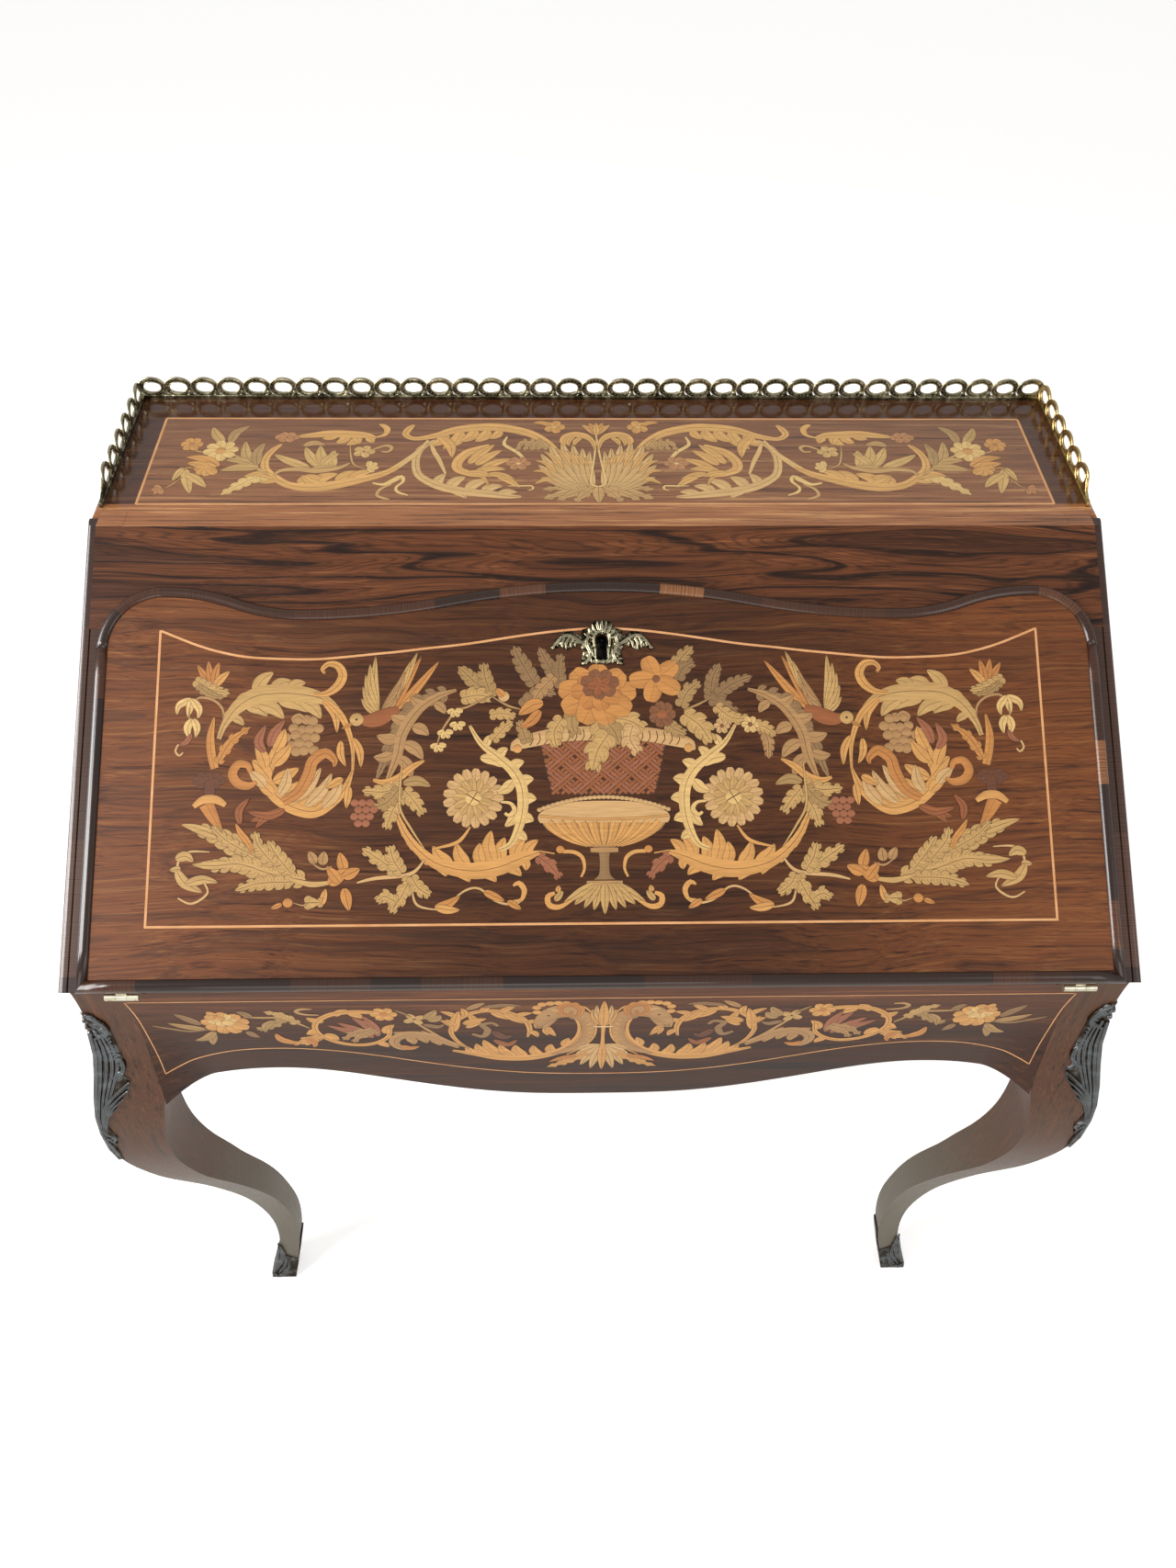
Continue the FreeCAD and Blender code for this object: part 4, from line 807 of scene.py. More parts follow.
# woven of splints in threes, each over one and under the next
for i in range(-7, 8):
    for j in range(-7, 8):
        x, s = (i - j) * 10.4, 159 + (i + j) * 8.4
        lean = 1 if (i + j) % 2 else -1
        for off, tone in ((-4.2, "rust"), (-1.4, "pink"), (1.4, "pink"), (4.2, "rust")):
            line = [(x + 10.2 * t - lean * off * 0.7, s + lean * 8.8 * t + off * 0.7, 1.22)
                    for t in (k / 12 - 1 for k in range(25))]
            line = [(a, b, h) for a, b, h in line if abs(a) < 37.5 + (b - 139) * 0.22 and 139.5 < b < 180]
            if len(line) > 3:
                basket += band(tone, [line[0], line[-1]], vein=0.25)
basket += vase("pale", [
    (134.5, 8), (134, 20), (132.5, 32), (129, 41), (126, 46.5), (122.5, 48.3), (119.5, 47.5), (118.4, 46.5)],
    shade=0.0)
basket += vase("tan", [(118.4, 45), (114, 42), (110, 36), (106, 26), (102.5, 15), (101, 12)], shade=0.0)
for k in range(-5, 6):
    basket += band("gold", [(8.2 * k, 119, 3.4), (7.0 * k, 113, 3.3), (4.8 * k, 106, 2.2),
                            (2.4 * k, 101.5, 1.1)], vein=0.6, shade=0.6)
rimArc = [(-47 + 94 * k / 28, 137.3 - 9.2 * (abs(-47 + 94 * k / 28) / 47) ** 2) for k in range(29)]
basket += band("cream", [(x, s, 1.3) for x, s in rimArc[::4]])
basket += dots("pale", 1.75, rimArc)
basket += band("gold", [
    (-47, 123.6, 0.9), (-20, 121.4, 0.9), (0, 121, 0.9), (20, 121.4, 0.9), (47, 123.6, 0.9)])
rim = [(-67, 172, 1.4), (-65, 176, 3.4), (-60, 178, 4.8), (-50, 180.5, 5.4), (-38, 183, 5.6),
    (-25, 184.4, 5.6), (-12, 184.8, 5.6), (0, 185, 5.6)]
basket += band("pale", mirrored(rim), shade=0.5)
for k in range(-10, 11):
    x, drop = k * 5.4, abs(k) * 0.45
    basket += band("brown", [(x, 180.4 - drop, 0.35), (x + 2.4, 184 - drop, 0.35),
                             (x + 1.6, 189.4 - drop, 0.35)])
basket += dots("gold", 3.4, [(-63, 173.5), (63, 173.5)])
basket += vase("grey", [(101, 8.5), (98, 5), (94, 3.8), (86, 3.6), (80, 4.6), (77, 8)], shade=0.6)
basket += band("tan", [(-10, 98.5, 1.8), (0, 98.5, 2.2), (10, 98.5, 1.8)], shade=0.4)
basket += band("tan", [(-13, 75, 1.3), (0, 74.6, 1.8), (13, 75, 1.3)])
for x, s in ((30, 60), (22, 59), (15, 56.5), (8, 55), (-8, 55), (-15, 56.5), (-22, 59), (-30, 60), (0, 52)):
    basket += leaf("olive", 3.4, [(x * 0.25, 74), (x * 0.6, 71 - (74 - s) * 0.25), (x, s)])
vaseSide = band("gold", [(-24, 62, 1), (-33, 57.5, 2), (-40, 59, 2.3), (-41, 65, 2.2), (-36, 67.5, 1.4)])
vaseSide += leafRows(
    ("olive", 2.6, 0, (-36, 62), (-30, 69)), ("gold", 2.2, 0, (-34, 68), (-33, 73)))
vaseSide += band("gold", [(-17, 79, 1), (-14.5, 85, 1.2), (-16, 93, 1.6), (-22, 97, 1.6), (-30, 97.5, 1.5)])
vaseSide += dots("orange", 3, [(-32, 99)]) + stem("gold", 1.2, [(-36, 96), (-47, 98)])
vaseSide += leaf("pink", 4.5, [(-48, 94), (-40, 88), (-32, 78)], teeth=3)

# gold leaf scrolls either side of the vase
lowScroll = acanthus("gold", [
    (-47, 97, 1.4), (-60, 93, 4.6), (-75, 87, 6), (-92, 84, 6), (-108, 85.5, 5.2), (-122, 90, 4.2),
    (-134, 99, 3.4), (-143, 110, 2.8), (-149, 122, 1.9), (-152, 131, 1)], [
    (-58, 94, -48, 106, 3), (-66, 93, -57, 108, 3.5), (-74, 90, -72, 108, 3.6), (-80, 89, -82, 113, 4),
    (-88, 87, -90, 104, 3.4), (-98, 87, -107, 104, 3.8), (-110, 89, -124, 102, 3.6), (-58, 92, -57, 84, 2.6),
    (-72, 87, -60, 80, 3), (-90, 84, -78, 76, 3.2), (-108, 85, -97, 76, 3.2), (-122, 90, -114, 80, 3),
    (-134, 98, -128, 88, 2.6), (-143, 109, -139, 99, 2.4), (-148, 120, -146, 109, 2)])
sunflower = blossom("pale", -95, 137, 17, 9, 22, 3.9)
sunflower += blossom("olive", -95, 137, 13, 5, 15, 3.0, turn=11)
sunflower += dots("straw", 6.0, [(-95, 137)]) + stem("brown", 0.7, [(-100, 140), (-90, 134)])
sunflower += stem("brown", 0.5, [(-92, 142), (-98, 132)])
lowScroll += stem("gold", 1.5, [(-97, 116), (-106, 105), (-124, 100)]) + sunflower
lowScroll += acanthus("straw", [
    (-98, 191, 1), (-90, 178, 2), (-78, 168, 3.2), (-66, 157, 4), (-60, 145, 4.2), (-59, 130, 4),
    (-62, 115, 3.2), (-68, 103, 2.2), (-76, 99, 1.4)], [(-90, 167, -74, 160, 3), (-64, 128, -72, 116, 3),
    (-66, 150, -78, 141, 3.2), (-86, 175, -81, 184, 2.4), (-77, 167, -70, 174, 2.8),
    (-68, 158, -58, 164, 3.2), (-62, 147, -51, 151, 3.4), (-60, 135, -49, 136, 3.4),
    (-61, 122, -51, 120, 3.2), (-65, 111, -56, 106, 2.8)])
lowScroll += band("straw", [(-75, 134, 1), (-68, 133, 1.4), (-65, 128, 2), (-69, 124, 1.6), (-72, 126, 1.2)])
lowScroll += band("gold", [(-66, 62, 1), (-60, 63, 1.5), (-58, 70, 2.2), (-62, 75, 2), (-66, 73, 1)])
lowScroll += stem("pale", 1, [(-112, 61), (-100, 70), (-90, 71), (-78, 62), (-66, 59.5), (-60, 62)])
lowScroll += leafRows(
    ("orange", 3, 0, (-87, 69), (-72, 62)), ("orange", 2.6, 0, (-70, 62), (-60, 56)),
    ("orange", 3.4, 0, (-122, 58), (-113, 60), (-104, 66)),
    ("gold", 3.2, 0, (-122, 58), (-112, 56), (-104, 56)))
lowScroll += stem("pale", 1.1, [(-120, 56), (-135, 60), (-139, 74)])

# bouquet in the basket, not mirrored
bouquet = []
for x, y, tx, ty, h in ((-66, 252, -50, 222, 5.6), (-47, 251, -31, 222, 4.6), (-30, 246, -31, 220, 4.6),
        (-107, 236, -83, 213, 5.2), (-88, 239, -82, 213, 5), (68, 251, 52, 226, 5.2), (69, 239, 56, 226, 5),
        (88, 238, 80, 210, 4.6), (112, 228, 82, 210, 4.6), (100, 200, 80, 210, 4.4), (73, 224, 58, 205, 5)):
    wood = "moss" if (x + y) % 2 else "grey"
    bouquet += leaf(wood, h, [(tx, ty), ((x + tx) / 2 - 2, (y + ty) / 2 + 2), (x, y)], teeth=6)
bouquet += leafRows(
    ("grey", 5, 5, (-60, 205), (-45, 217), (-34, 214)), ("tan", 4.5, 5, (-36, 228), (-47, 216), (-52, 206)),
    ("olive", 5.5, 5, (-104, 212), (-92, 214), (-82, 212)),
    ("olive", 4, 5, (-81, 180), (-72, 190), (-66, 194)), ("olive", 4, 5, (-83, 199), (-72, 200), (-64, 197)),
    ("moss", 4, 5, (-56, 178), (-60, 190), (-62, 195)), ("olive", 7, 5, (60, 199), (72, 190), (80, 177)),
    ("moss", 6, 5, (-22, 200), (-23, 192), (-20, 184)), ("olive", 6.5, 5, (-5, 200), (-2, 190), (-4, 179)),
    ("olive", 6.5, 5, (9, 196), (20, 194), (31, 188)), ("moss", 6, 5, (0, 195), (8, 187), (12, 176)),
    ("pale", 6, 5, (22, 190), (20, 180), (26, 170)), ("olive", 8, 5, (4, 184), (-4, 172), (-8, 157)),
    ("olive", 5.5, 5, (-30, 196), (-36, 186), (-34, 174)), ("tan", 4, 5, (118, 188), (122, 178), (122, 165)),
    ("olive", 4, 5, (109, 191), (120, 189), (128, 182)), ("olive", 4.5, 5, (84, 205), (96, 196), (110, 196)),
    ("moss", 4.5, 5, (46, 196), (52, 188), (62, 184)))
bouquet += stem("moss", 1, [(-82, 213), (-70, 206), (-60, 203)])
bouquet += stem("moss", 1, [(80, 211), (70, 206), (60, 202)])
bouquet += stem("tan", 1, [(-82, 214), (-100, 205), (-108, 203), (-113, 196), (-119, 186), (-122, 176)])
for x, y in ((-109, 203), (-107, 193), (-116, 187), (-121, 177)):
    bouquet += blossom("straw", x, y, 4, 0.5, 6, 2.2, arc=200, turn=200)
bouquet += dots("pale", 4.2, [(-73, 213)])
bouquet += leafRows(
    ("orange", 3, 0, (-73, 213), (-79, 219)), ("orange", 4.8, 0, (-44, 208), (-52, 206), (-62, 199)),
    ("amber", 4, 0, (-46, 202), (-53, 194), (-61, 189)))
bouquet += blossom("orange", -4, 214, 9, 4, 29, 9, turn=8, squash=0.8)
bouquet += blossom("amber", -4, 217, 7, 3, 19, 6.6, turn=28, squash=0.8)
bouquet += blossom("brown", -2, 222, 7, 1, 14.5, 4.8, turn=10, squash=0.8)
bouquet += blossom("rust", -2, 221, 5, 0, 9, 3.4, turn=40, squash=0.8)
bouquet += blossom("orange", 40, 226, 5, 2, 20, 7, middle="brown", core=3, turn=40, squash=0.9)
bouquet += blossom("brown", 44, 199, 7, 2, 10, 4, middle="rust", core=4)
bouquet += blossom("straw", 109, 191, 6, 1, 6.5, 2.6, middle="brown", core=1.8)
bouquet += blossom("pale", 88, 190, 6, 1, 6, 2.4, middle="brown", core=1.6)
fallMiddle = basket + sides(vaseSide + lowScroll) + bouquet
fallMiddlePiece = ribbonPiece("fall_vase_marquetry", fallMiddle, onFall, inlayWood)
finishPiece(fallMiddlePiece, "fall", "veneered_rosewood")

# side panels of the fall, traced on the left and turned over for the right
sprig = []
for x, y in ((-299, 238), (-291, 241), (-283, 240), (-275, 233)):
    wood, middle = "amber" if x < -280 else "gold", ((x - 286) / 2 - 1, (y + 221) / 2)
    sprig += leaf(wood, 3.2, [(-286, 221), middle, (x, y)])
sprig += leafRows(
    ("olive", 4.2, 7, (-300, 226), (-288, 219), (-274, 216)),
    ("moss", 3, 5, (-298, 222), (-288, 215), (-278, 213)))
sprig += stem("tan", 1.1, [(-278, 193), (-279, 204), (-286, 211), (-296, 213), (-301, 209)])
for x, y in ((-311, 207), (-303, 205), (-296, 204)):
    sprig += leaf("straw", 3, [(-302, 212), (x, y), (x - 1, y - 7)])
sprig += stem("tan", 0.8, [(-303, 205), (-303, 196), (-301, 190)])
sprig += leafRows(
    ("straw", 3.2, 0, (-301, 197), (-304, 190), (-302, 182)),
    ("straw", 3, 0, (-300, 197), (-297, 190), (-298, 183)),
    ("pink", 2.2, 0, (-301, 186), (-304, 180), (-310, 177)))
sprig += band("pale", [(-310, 178, 0.9), (-312, 173, 1), (-309, 169.5, 1), (-306.5, 172, 0.8)])
oliveLobes = [(-256, 216, -243, 232, 3.8), (-244, 218, -229, 225, 3.6), (-262, 206, -246, 199, 3.2),
              (-253, 208, -234, 197, 3.8), (-238, 210, -216, 202, 3.8), (-228, 212, -212, 204, 3.2),
              (-232, 219, -219, 224, 3), (-268, 206, -258, 217, 3), (-222, 210, -207, 197, 3.8),
              (-272, 198, -263, 192, 2.4), (-276, 196, -272, 204, 2.2)]
sprig += acanthus("olive", [
    (-281, 182, 1.6), (-277, 193, 2.6), (-268, 206, 5), (-255, 214, 6.4), (-240, 216, 6.8), (-220, 215, 6),
    (-205, 211, 4), (-195, 203, 2.4)], oliveLobes)
sprig += leaf("gold", 3.2, [(-206, 210), (-197, 200), (-195, 186)])
sprig += band("gold", [
    (-213, 215, 1.6), (-203, 216, 2.6), (-195, 222, 3.6), (-192, 230, 3.6), (-196, 237, 3), (-203, 238, 2.2),
    (-207, 234, 1.8), (-205, 231, 1)], vein=0.8, shade=0.4)
sprig += band("gold", [
    (-205, 211, 1.6), (-196, 203, 2.8), (-190, 195, 2.5), (-185, 182, 2), (-183, 170, 1.5), (-183, 155, 1)],
    vein=0.6)
sprig += leafRows(
    ("gold", 3, 0, (-192, 180), (-192, 170), (-188, 161)),
    ("gold", 3, 0, (-183, 182), (-178, 172), (-177, 160)))
random.seed(5)
grape = packed(-231, 195, 6.4, 5.8, 4, 20)
grape = [(x + random.uniform(-1.2, 1.2), y + random.uniform(-1.2, 1.2)) for x, y in grape]
sprig += dots("tan", 3.9, [(x, y) for x, y in grape if abs(x + 219) < 14 - abs(y - 184) * 0.45])
sprig += band("tan", [(-218, 196, 1), (-223, 200, 1.2), (-228, 197, 1.1), (-226, 193, 0.8)])
sprig += band("gold", [
    (-238, 192, 1), (-237, 180, 3), (-242, 165, 4.2), (-246, 152, 4.8), (-238, 140, 5.2), (-225, 131, 5.2),
    (-210, 128, 5), (-197, 135, 4), (-188, 145, 3), (-183, 158, 1)], vein=0.9, shade=0.4)
sprig += spray("gold", [
    (-240, 172, -233, 189, 4.48), (-241, 162, -228, 178, 4.76), (-240, 150, -222, 160, 4.76),
    (-232, 140, -216, 151, 4.76), (-222, 134, -206, 146, 4.48), (-210, 131, -196, 144, 4.2),
    (-243, 152, -256, 166, 5.6), (-246, 160, -254, 178, 4.76), (-240, 140, -252, 150, 4.2)], 1)
sprig += spray("pale", [
    (-226, 136, -206, 160, 4.4), (-216, 132, -198, 156, 4.4), (-204, 131, -191, 152, 4.4),
    (-246, 146, -258, 158, 4.4), (-236, 140, -230, 160, 4.4)], 2, -1)
sprig += band("amber", [
    (-233, 135, 3), (-222, 142, 4), (-215, 155, 4.6), (-212, 165, 4.4), (-203, 171, 4), (-196, 165, 2.6),
    (-197, 161, 1)], vein=0.8, shade=0.4)
sprig += band("amber", [
    (-252, 150, 1.2), (-258, 147, 3), (-266, 149, 3.6), (-270, 156, 3.6), (-266, 163, 3.2), (-259, 162, 2.6),
    (-257, 157, 2)], shade=0.6)
sprig += leafRows(
    ("pink", 3.6, 0, (-247, 172), (-252, 180), (-247, 192)),
    ("pink", 3.6, 0, (-244, 176), (-241, 186), (-233, 196)))
for x, y in ((-256, 121), (-252, 116), (-246, 122), (-258, 128)):
    sprig += leaf("rust", 3.2, [(-231, 129), (-243, 125), (x, y)])
sprig += band("orange", [
    (-283, 160, 3.2), (-286, 172, 3.4), (-287, 184, 3), (-285, 198, 1)], vein=0.6, shade=0.5)
sprig += leaf("orange", 3.8, [(-281, 164), (-272, 180), (-258, 191)], teeth=4)
sprig += blossom("plum", -287, 151, 8, 2, 12, 3.6, squash=0.45)
sprig += band("plum", [(-286, 150, 3.5), (-286, 143, 4), (-286, 138, 3)])
sprig += band("amber", [
    (-288, 134, 5.6), (-283, 125, 4.4), (-277, 115, 2), (-274, 109, 1.2)], vein=0.5, shade=0.6)
sprig += band("gold", [(-297, 132, 2), (-290, 137, 3.2), (-281, 137, 3.2), (-274, 133, 2)], shade=0.5)
sprig += leafRows(
    ("olive", 7.2, 9, (-225, 82), (-245, 92), (-265, 103), (-285, 113), (-305, 119)),
    ("olive", 6.4, 9, (-215, 78), (-240, 83), (-262, 90), (-280, 89), (-296, 90)),
    ("olive", 5.2, 6, (-225, 83), (-235, 95), (-243, 107)),
    ("olive", 4.8, 6, (-225, 77), (-248, 76), (-265, 71)),
    ("olive", 4.6, 5, (-238, 90), (-250, 104), (-252, 114)),
    ("olive", 4, 6, (-256, 98), (-272, 107), (-284, 118)))
sprig += band("orange", [(-266, 119, 0.8), (-262, 112, 2.4), (-257, 106, 2.4), (-253, 98, 1.2)], vein=0.5)
sprig += leaf("rust", 3, [(-263, 119), (-264, 129), (-257, 138)])
sprig += stem("olive", 2.2, [(-226, 79), (-210, 75), (-193, 77)])
sprig += spray("orange", [
    (-187, 84, -191, 98, 4.2), (-198, 75, -185, 86, 5), (-188, 80, -176, 86, 4.2),
    (-187, 72, -183, 56, 4.2), (-190, 76, -200, 88, 4)])
sprig += stem("pale", 1.5, [(-178, 76), (-165, 79), (-140, 82), (-130, 92)])
sprig += leafRows(
    ("olive", 5, 4, (-150, 84), (-163, 93), (-175, 101)),
    ("olive", 5, 4, (-146, 83), (-152, 92), (-155, 103)),
    ("olive", 4.8, 4, (-140, 79), (-146, 66), (-154, 54)),
    ("olive", 4.5, 4, (-139, 80), (-134, 72), (-125, 66)), ("tan", 3.6, 0, (-208, 90), (-213, 99)),
    ("tan", 4, 0, (-203, 89), (-202, 99)), ("olive", 4.4, 4, (-150, 62), (-158, 66), (-164, 62)),
    ("gold", 2.8, 0, (-203, 60), (-200, 72)), ("olive", 4.6, 4, (-214, 62), (-204, 62)))
sprig += stem("tan", 1, [(-210, 90), (-203, 86), (-196, 88)]) + dots("orange", 3.6, [(-227, 62)])
sprig += stem("tan", 0.8, [(-223, 62), (-216, 60), (-212, 62)]) + leaf("orange", 2, [(-231, 61), (-239, 58)])
sprig += stem("pale", 1.1, [(-284, 99), (-299, 99), (-306, 92), (-305, 84), (-300, 78)])
sprig += leafRows(
    ("olive", 3.8, 0, (-308, 94), (-301, 96), (-295, 92)), ("olive", 2.4, 0, (-304, 87), (-312, 86)),
    ("olive", 4, 0, (-307, 86), (-301, 77), (-288, 70)),
    ("olive", 3.6, 0, (-300, 76), (-288, 79), (-277, 77)))
sprig += band("pale", [(-287, 77, 0.8), (-284, 70, 1), (-290, 64, 1.1), (-297, 62, 1), (-305, 66, 0.8)])
# little bird with open wings
sprig += leafRows(
    ("orange", 3.4, 0, (-156, 201), (-142, 214), (-121, 240)),
    ("amber", 2.8, 0, (-154, 203), (-146, 220), (-134, 244)))
for x, y, h in ((-168, 244, 3.4), (-172, 238, 3.6), (-175, 230, 3.4), (-177, 221, 3.0), (-178, 212, 2.4)):
    sprig += leaf("olive", h, [(-166, 199), ((x - 166) / 2 - 1.5, (y + 199) / 2), (x, y)])
for x, y, h in ((-137, 247, 3.4), (-142, 240, 3.6), (-146, 232, 3.4), (-149, 223, 3.0), (-152, 214, 2.6)):
    wood, middle = "olive" if y > 235 else "tan", ((x - 163) / 2 + 2.5, (y + 201) / 2)
    sprig += leaf(wood, h, [(-163, 201), middle, (x, y)])
sprig += band("rust", [
    (-178, 196, 3), (-172, 195, 5.0), (-164, 197, 6.0), (-156, 201, 4.6), (-150, 204, 2)], shade=0.6)
sprig += dots("olive", 5.2, [(-181, 196)])
sprig += leaf("orange", 1.5, [(-184, 193), (-192, 189)]) + dots("dark", 0.9, [(-181, 196)])
# long grey feathered leaf down to the middle
sprig += leaf("grey", 6.0, [(-114, 216), (-136, 208), (-152, 184), (-166, 150)], teeth=9)
sprig += acanthus("tan", [
    (-108, 218, 1.0), (-122, 213, 2.4), (-136, 203, 3.6), (-147, 186, 4.0), (-151, 168, 3.4),
    (-158, 150, 1.2)], [(-130, 206, -142, 213, 3), (-142, 195, -156, 199, 3.4), (-150, 182, -166, 184, 3.4),
    (-154, 170, -168, 168, 3), (-140, 190, -128, 184, 3.4), (-146, 178, -132, 166, 3.6),
    (-150, 168, -140, 152, 3.4), (-124, 208, -116, 200, 2.8)])
sprig += band("gold", [
    (-168, 151, 1.2), (-160, 149, 2.4), (-150, 152, 3), (-140, 160, 2.6), (-131, 165, 1)], vein=0.6)
sprig += leafRows(
    ("olive", 5, 4, (-148, 146), (-160, 142), (-176, 143)),
    ("olive", 5, 4, (-148, 138), (-154, 127), (-158, 114)),
    ("olive", 5, 4, (-145, 143), (-138, 135), (-131, 125)),
    ("moss", 4.6, 4, (-149, 144), (-158, 134), (-170, 130)), ("gold", 3.2, 0, (-190, 152), (-202, 145)),
    ("gold", 3, 0, (-185, 146), (-187, 130)), ("moss", 4, 0, (-146, 148), (-136, 150), (-126, 146)))
sprig += stem("olive", 1, [(-147, 165), (-148, 150), (-148, 130), (-140, 115), (-130, 100)])
sprig += dots("pink", 3, packed(-181, 134, 5.6, 5, 3, 11))
fallSidesPiece = ribbonPiece("fall_side_marquetry", sides(sprig), onFall, inlayWood)
finishPiece(fallSidesPiece, "fall", "veneered_rosewood")
print("fall inlaid:", len(fallMiddle), "and", 2 * len(sprig), "pieces")

# figured rosewood that covers the front of the top, the rail and the heads of the side strips
overlay = {"half": 383.2, "sideFoot": 268.0, "head": 349.0, "sideHalf": 375.6, "midHalf": 375.5,
           "steps": 220, "gap": 0.8, "under": 0.01, "thick": 0.22}
cornerPatch = {"inner": 363, "outer": 383.2, "deep": 16.5, "under": 0.01, "thick": 0.2}


# lower edge of the overlay: it clears the head moulding by a gap
def overlayFoot(a):
    if abs(a) >= overlay["sideHalf"]:
        return overlay["sideFoot"]
    cornerX, radius = bead["fieldHalf"] - bead["corner"], bead["corner"] + bead["width"]
    if abs(a) > cornerX:
        arc = math.sqrt(max(0, radius ** 2 - (abs(a) - cornerX) ** 2))
        return max(overlay["sideFoot"], bead["shoulder"] + arc + overlay["gap"])
    slope = fieldHead(a + 0.5) - fieldHead(a - 0.5)
    return fieldHead(a) + bead["width"] * math.hypot(1, slope) + overlay["gap"]


def railOverlay():
    half, sideHalf, midHalf, steps = (overlay[key] for key in ("half", "sideHalf", "midHalf", "steps"))
    spans = [-half, -sideHalf] + [-midHalf + 2 * midHalf * k / steps for k in range(steps + 1)]
    spans += [sideHalf, half]
    points, faces = [], []
    for a in spans:
        for s in (overlayFoot(a), overlay["head"]):
            for out in (overlay["under"], overlay["thick"]):
                points.append(onSlope(a, s, out))
    for i in range(len(spans) - 1):
        for p, q in ((0, 1), (1, 3), (3, 2), (2, 0)):
            faces.append((i * 4 + p, i * 4 + q, i * 4 + 4 + q, i * 4 + 4 + p))
    last = (len(spans) - 1) * 4
    faces += [(0, 1, 3, 2), (last, last + 2, last + 3, last + 1)]
    piece = makeMesh("rail_veneer", points, faces, woods["figuredRailVeneer"])
    finishPiece(piece, "case", "veneered_rosewood")


railOverlay()
for side, word in ((-1, "left"), (1, "right")):
    inner, outer, deep = cornerPatch["inner"], cornerPatch["outer"], cornerPatch["deep"]
    corners = [onTop(side * a, back, up) for up in (cornerPatch["under"], cornerPatch["thick"])
               for a, back in ((inner, 0), (outer, 0), (outer, deep), (inner, deep))]
    patch = makeMesh("corner_veneer_" + word, corners, [(0, 1, 2, 3), (4, 5, 6, 7)] + [
        (i, (i + 1) % 4, (i + 1) % 4 + 4, i + 4) for i in range(4)], woods["topVeneer"])
    finishPiece(patch, "case", "veneered_top")

# top of the case
topLines = lineRun(lineHalf["top"], [(-359, 27), (359, 27), (359, 143), (-359, 143)], closed=True)
finishPiece(ribbonPiece("top_stringing", topLines, onTop, boxwoodLine), "case", "veneered_rosewood")
# palmette at the middle: base leaves, long lobes that open to the sides, volutes and a looped stem
fan = []
for tip, h in (((-45, 45), 4.6), ((-44, 33), 5), ((-33, 31), 4.6), ((-19, 29), 4.4)):
    fan += leaf("tan", h, [(-3, 48), (tip[0] * 0.55, (48 + tip[1]) / 2 + 2), tip], teeth=3)
for root, mid, tip, h in (((-17, 46), (-32, 55), (-46, 61), 5.2), ((-16, 47), (-33, 61), (-48, 78), 5.2),
        ((-15, 49), (-32, 67), (-46, 93), 5.4), ((-13, 50), (-28, 72), (-39, 106), 5.6),
        ((-11, 50), (-22, 76), (-29, 110), 5.6), ((-9, 50), (-16, 78), (-20, 106), 5.2),
        ((-7, 50), (-11, 78), (-12, 101), 4.8), ((-4, 50), (-7, 76), (-6, 97), 3.8)):
    fan += leaf("pale", h, [root, mid, tip], vein=0.9, shade=0.5)
    fan += leaf("gold", h * 0.5, [
        mid, ((mid[0] + tip[0]) / 2 - 3, (mid[1] + tip[1]) / 2), (tip[0] - 5, tip[1] - 9)])
fan += band("straw", [
    (0.6, 123, 0.9), (-1.3, 100, 1.0), (-2.8, 85, 1.1), (-5.4, 63, 1.3), (-5.8, 55, 1.3), (-4, 50.6, 1.3),
    (0, 49, 1.2)])
fan += band("gold", [
    (-1.3, 99, 1.2), (-4, 111, 2.6), (-10, 118, 3.8), (-18, 120, 4.2), (-25, 117, 3.8), (-28, 110, 3),
    (-25.5, 106, 1.2)], vein=0.7, shade=0.5)
fan += leafRows(
    ("gold", 2.6, 0, (-12, 116), (-17, 111), (-19, 104)),
    ("gold", 2.4, 0, (-18, 117), (-23, 111), (-23, 103)))
fan += leaf("gold", 3.2, [(0, 120), (-6, 128), (-12, 134)], shade=0.5)
fan += leaf("amber", 3.2, [(0, 121), (-3, 130), (-6, 137)])
fan += blossom("orange", -35, 131, 5, 1, 9, 4.2, core=2)
fan += leaf("orange", 2.8, [(-38, 134), (-46, 137), (-53, 137)])
topLeft = acanthus("gold", [
    (-26, 84, 1.4), (-34, 98, 3), (-44, 112, 3.8), (-58, 123, 4.6), (-80, 130, 5.2), (-100, 130, 5.2),
    (-118, 126, 4.6), (-134, 118, 3.4), (-150, 114, 2.4), (-158, 120, 2.8), (-156, 128, 3), (-152, 134, 1)], [
    (-112, 124, -126, 100, 4.4), (-100, 126, -112, 110, 4), (-90, 126, -100, 110, 4),
    (-124, 120, -136, 104, 4), (-80, 126, -88, 114, 3.2), (-130, 118, -118, 88, 3.6)])
topLeft += stem("pale", 2.2, [(-137, 110), (-133, 96), (-128, 84), (-122, 66)])
topLeft += acanthus("pale", [
    (-133, 112, 1.4), (-144, 100, 3), (-147, 84, 3.2), (-144, 66, 3.4), (-134, 55, 4), (-122, 48, 4.6),
    (-106, 43, 4.6), (-88, 40, 4.4), (-72, 37, 3), (-61, 36, 1)], [
    (-118, 48, -106, 62, 4), (-104, 45, -88, 58, 4), (-92, 43, -76, 50, 3.6), (-128, 50, -122, 66, 3.4),
    (-116, 44, -104, 34, 3), (-80, 39, -64, 42, 3)])
topLeft += band("straw", [(-74, 117, 1), (-76, 106, 1.8), (-66, 96, 2), (-60, 86, 1.6), (-60, 78, 1)])
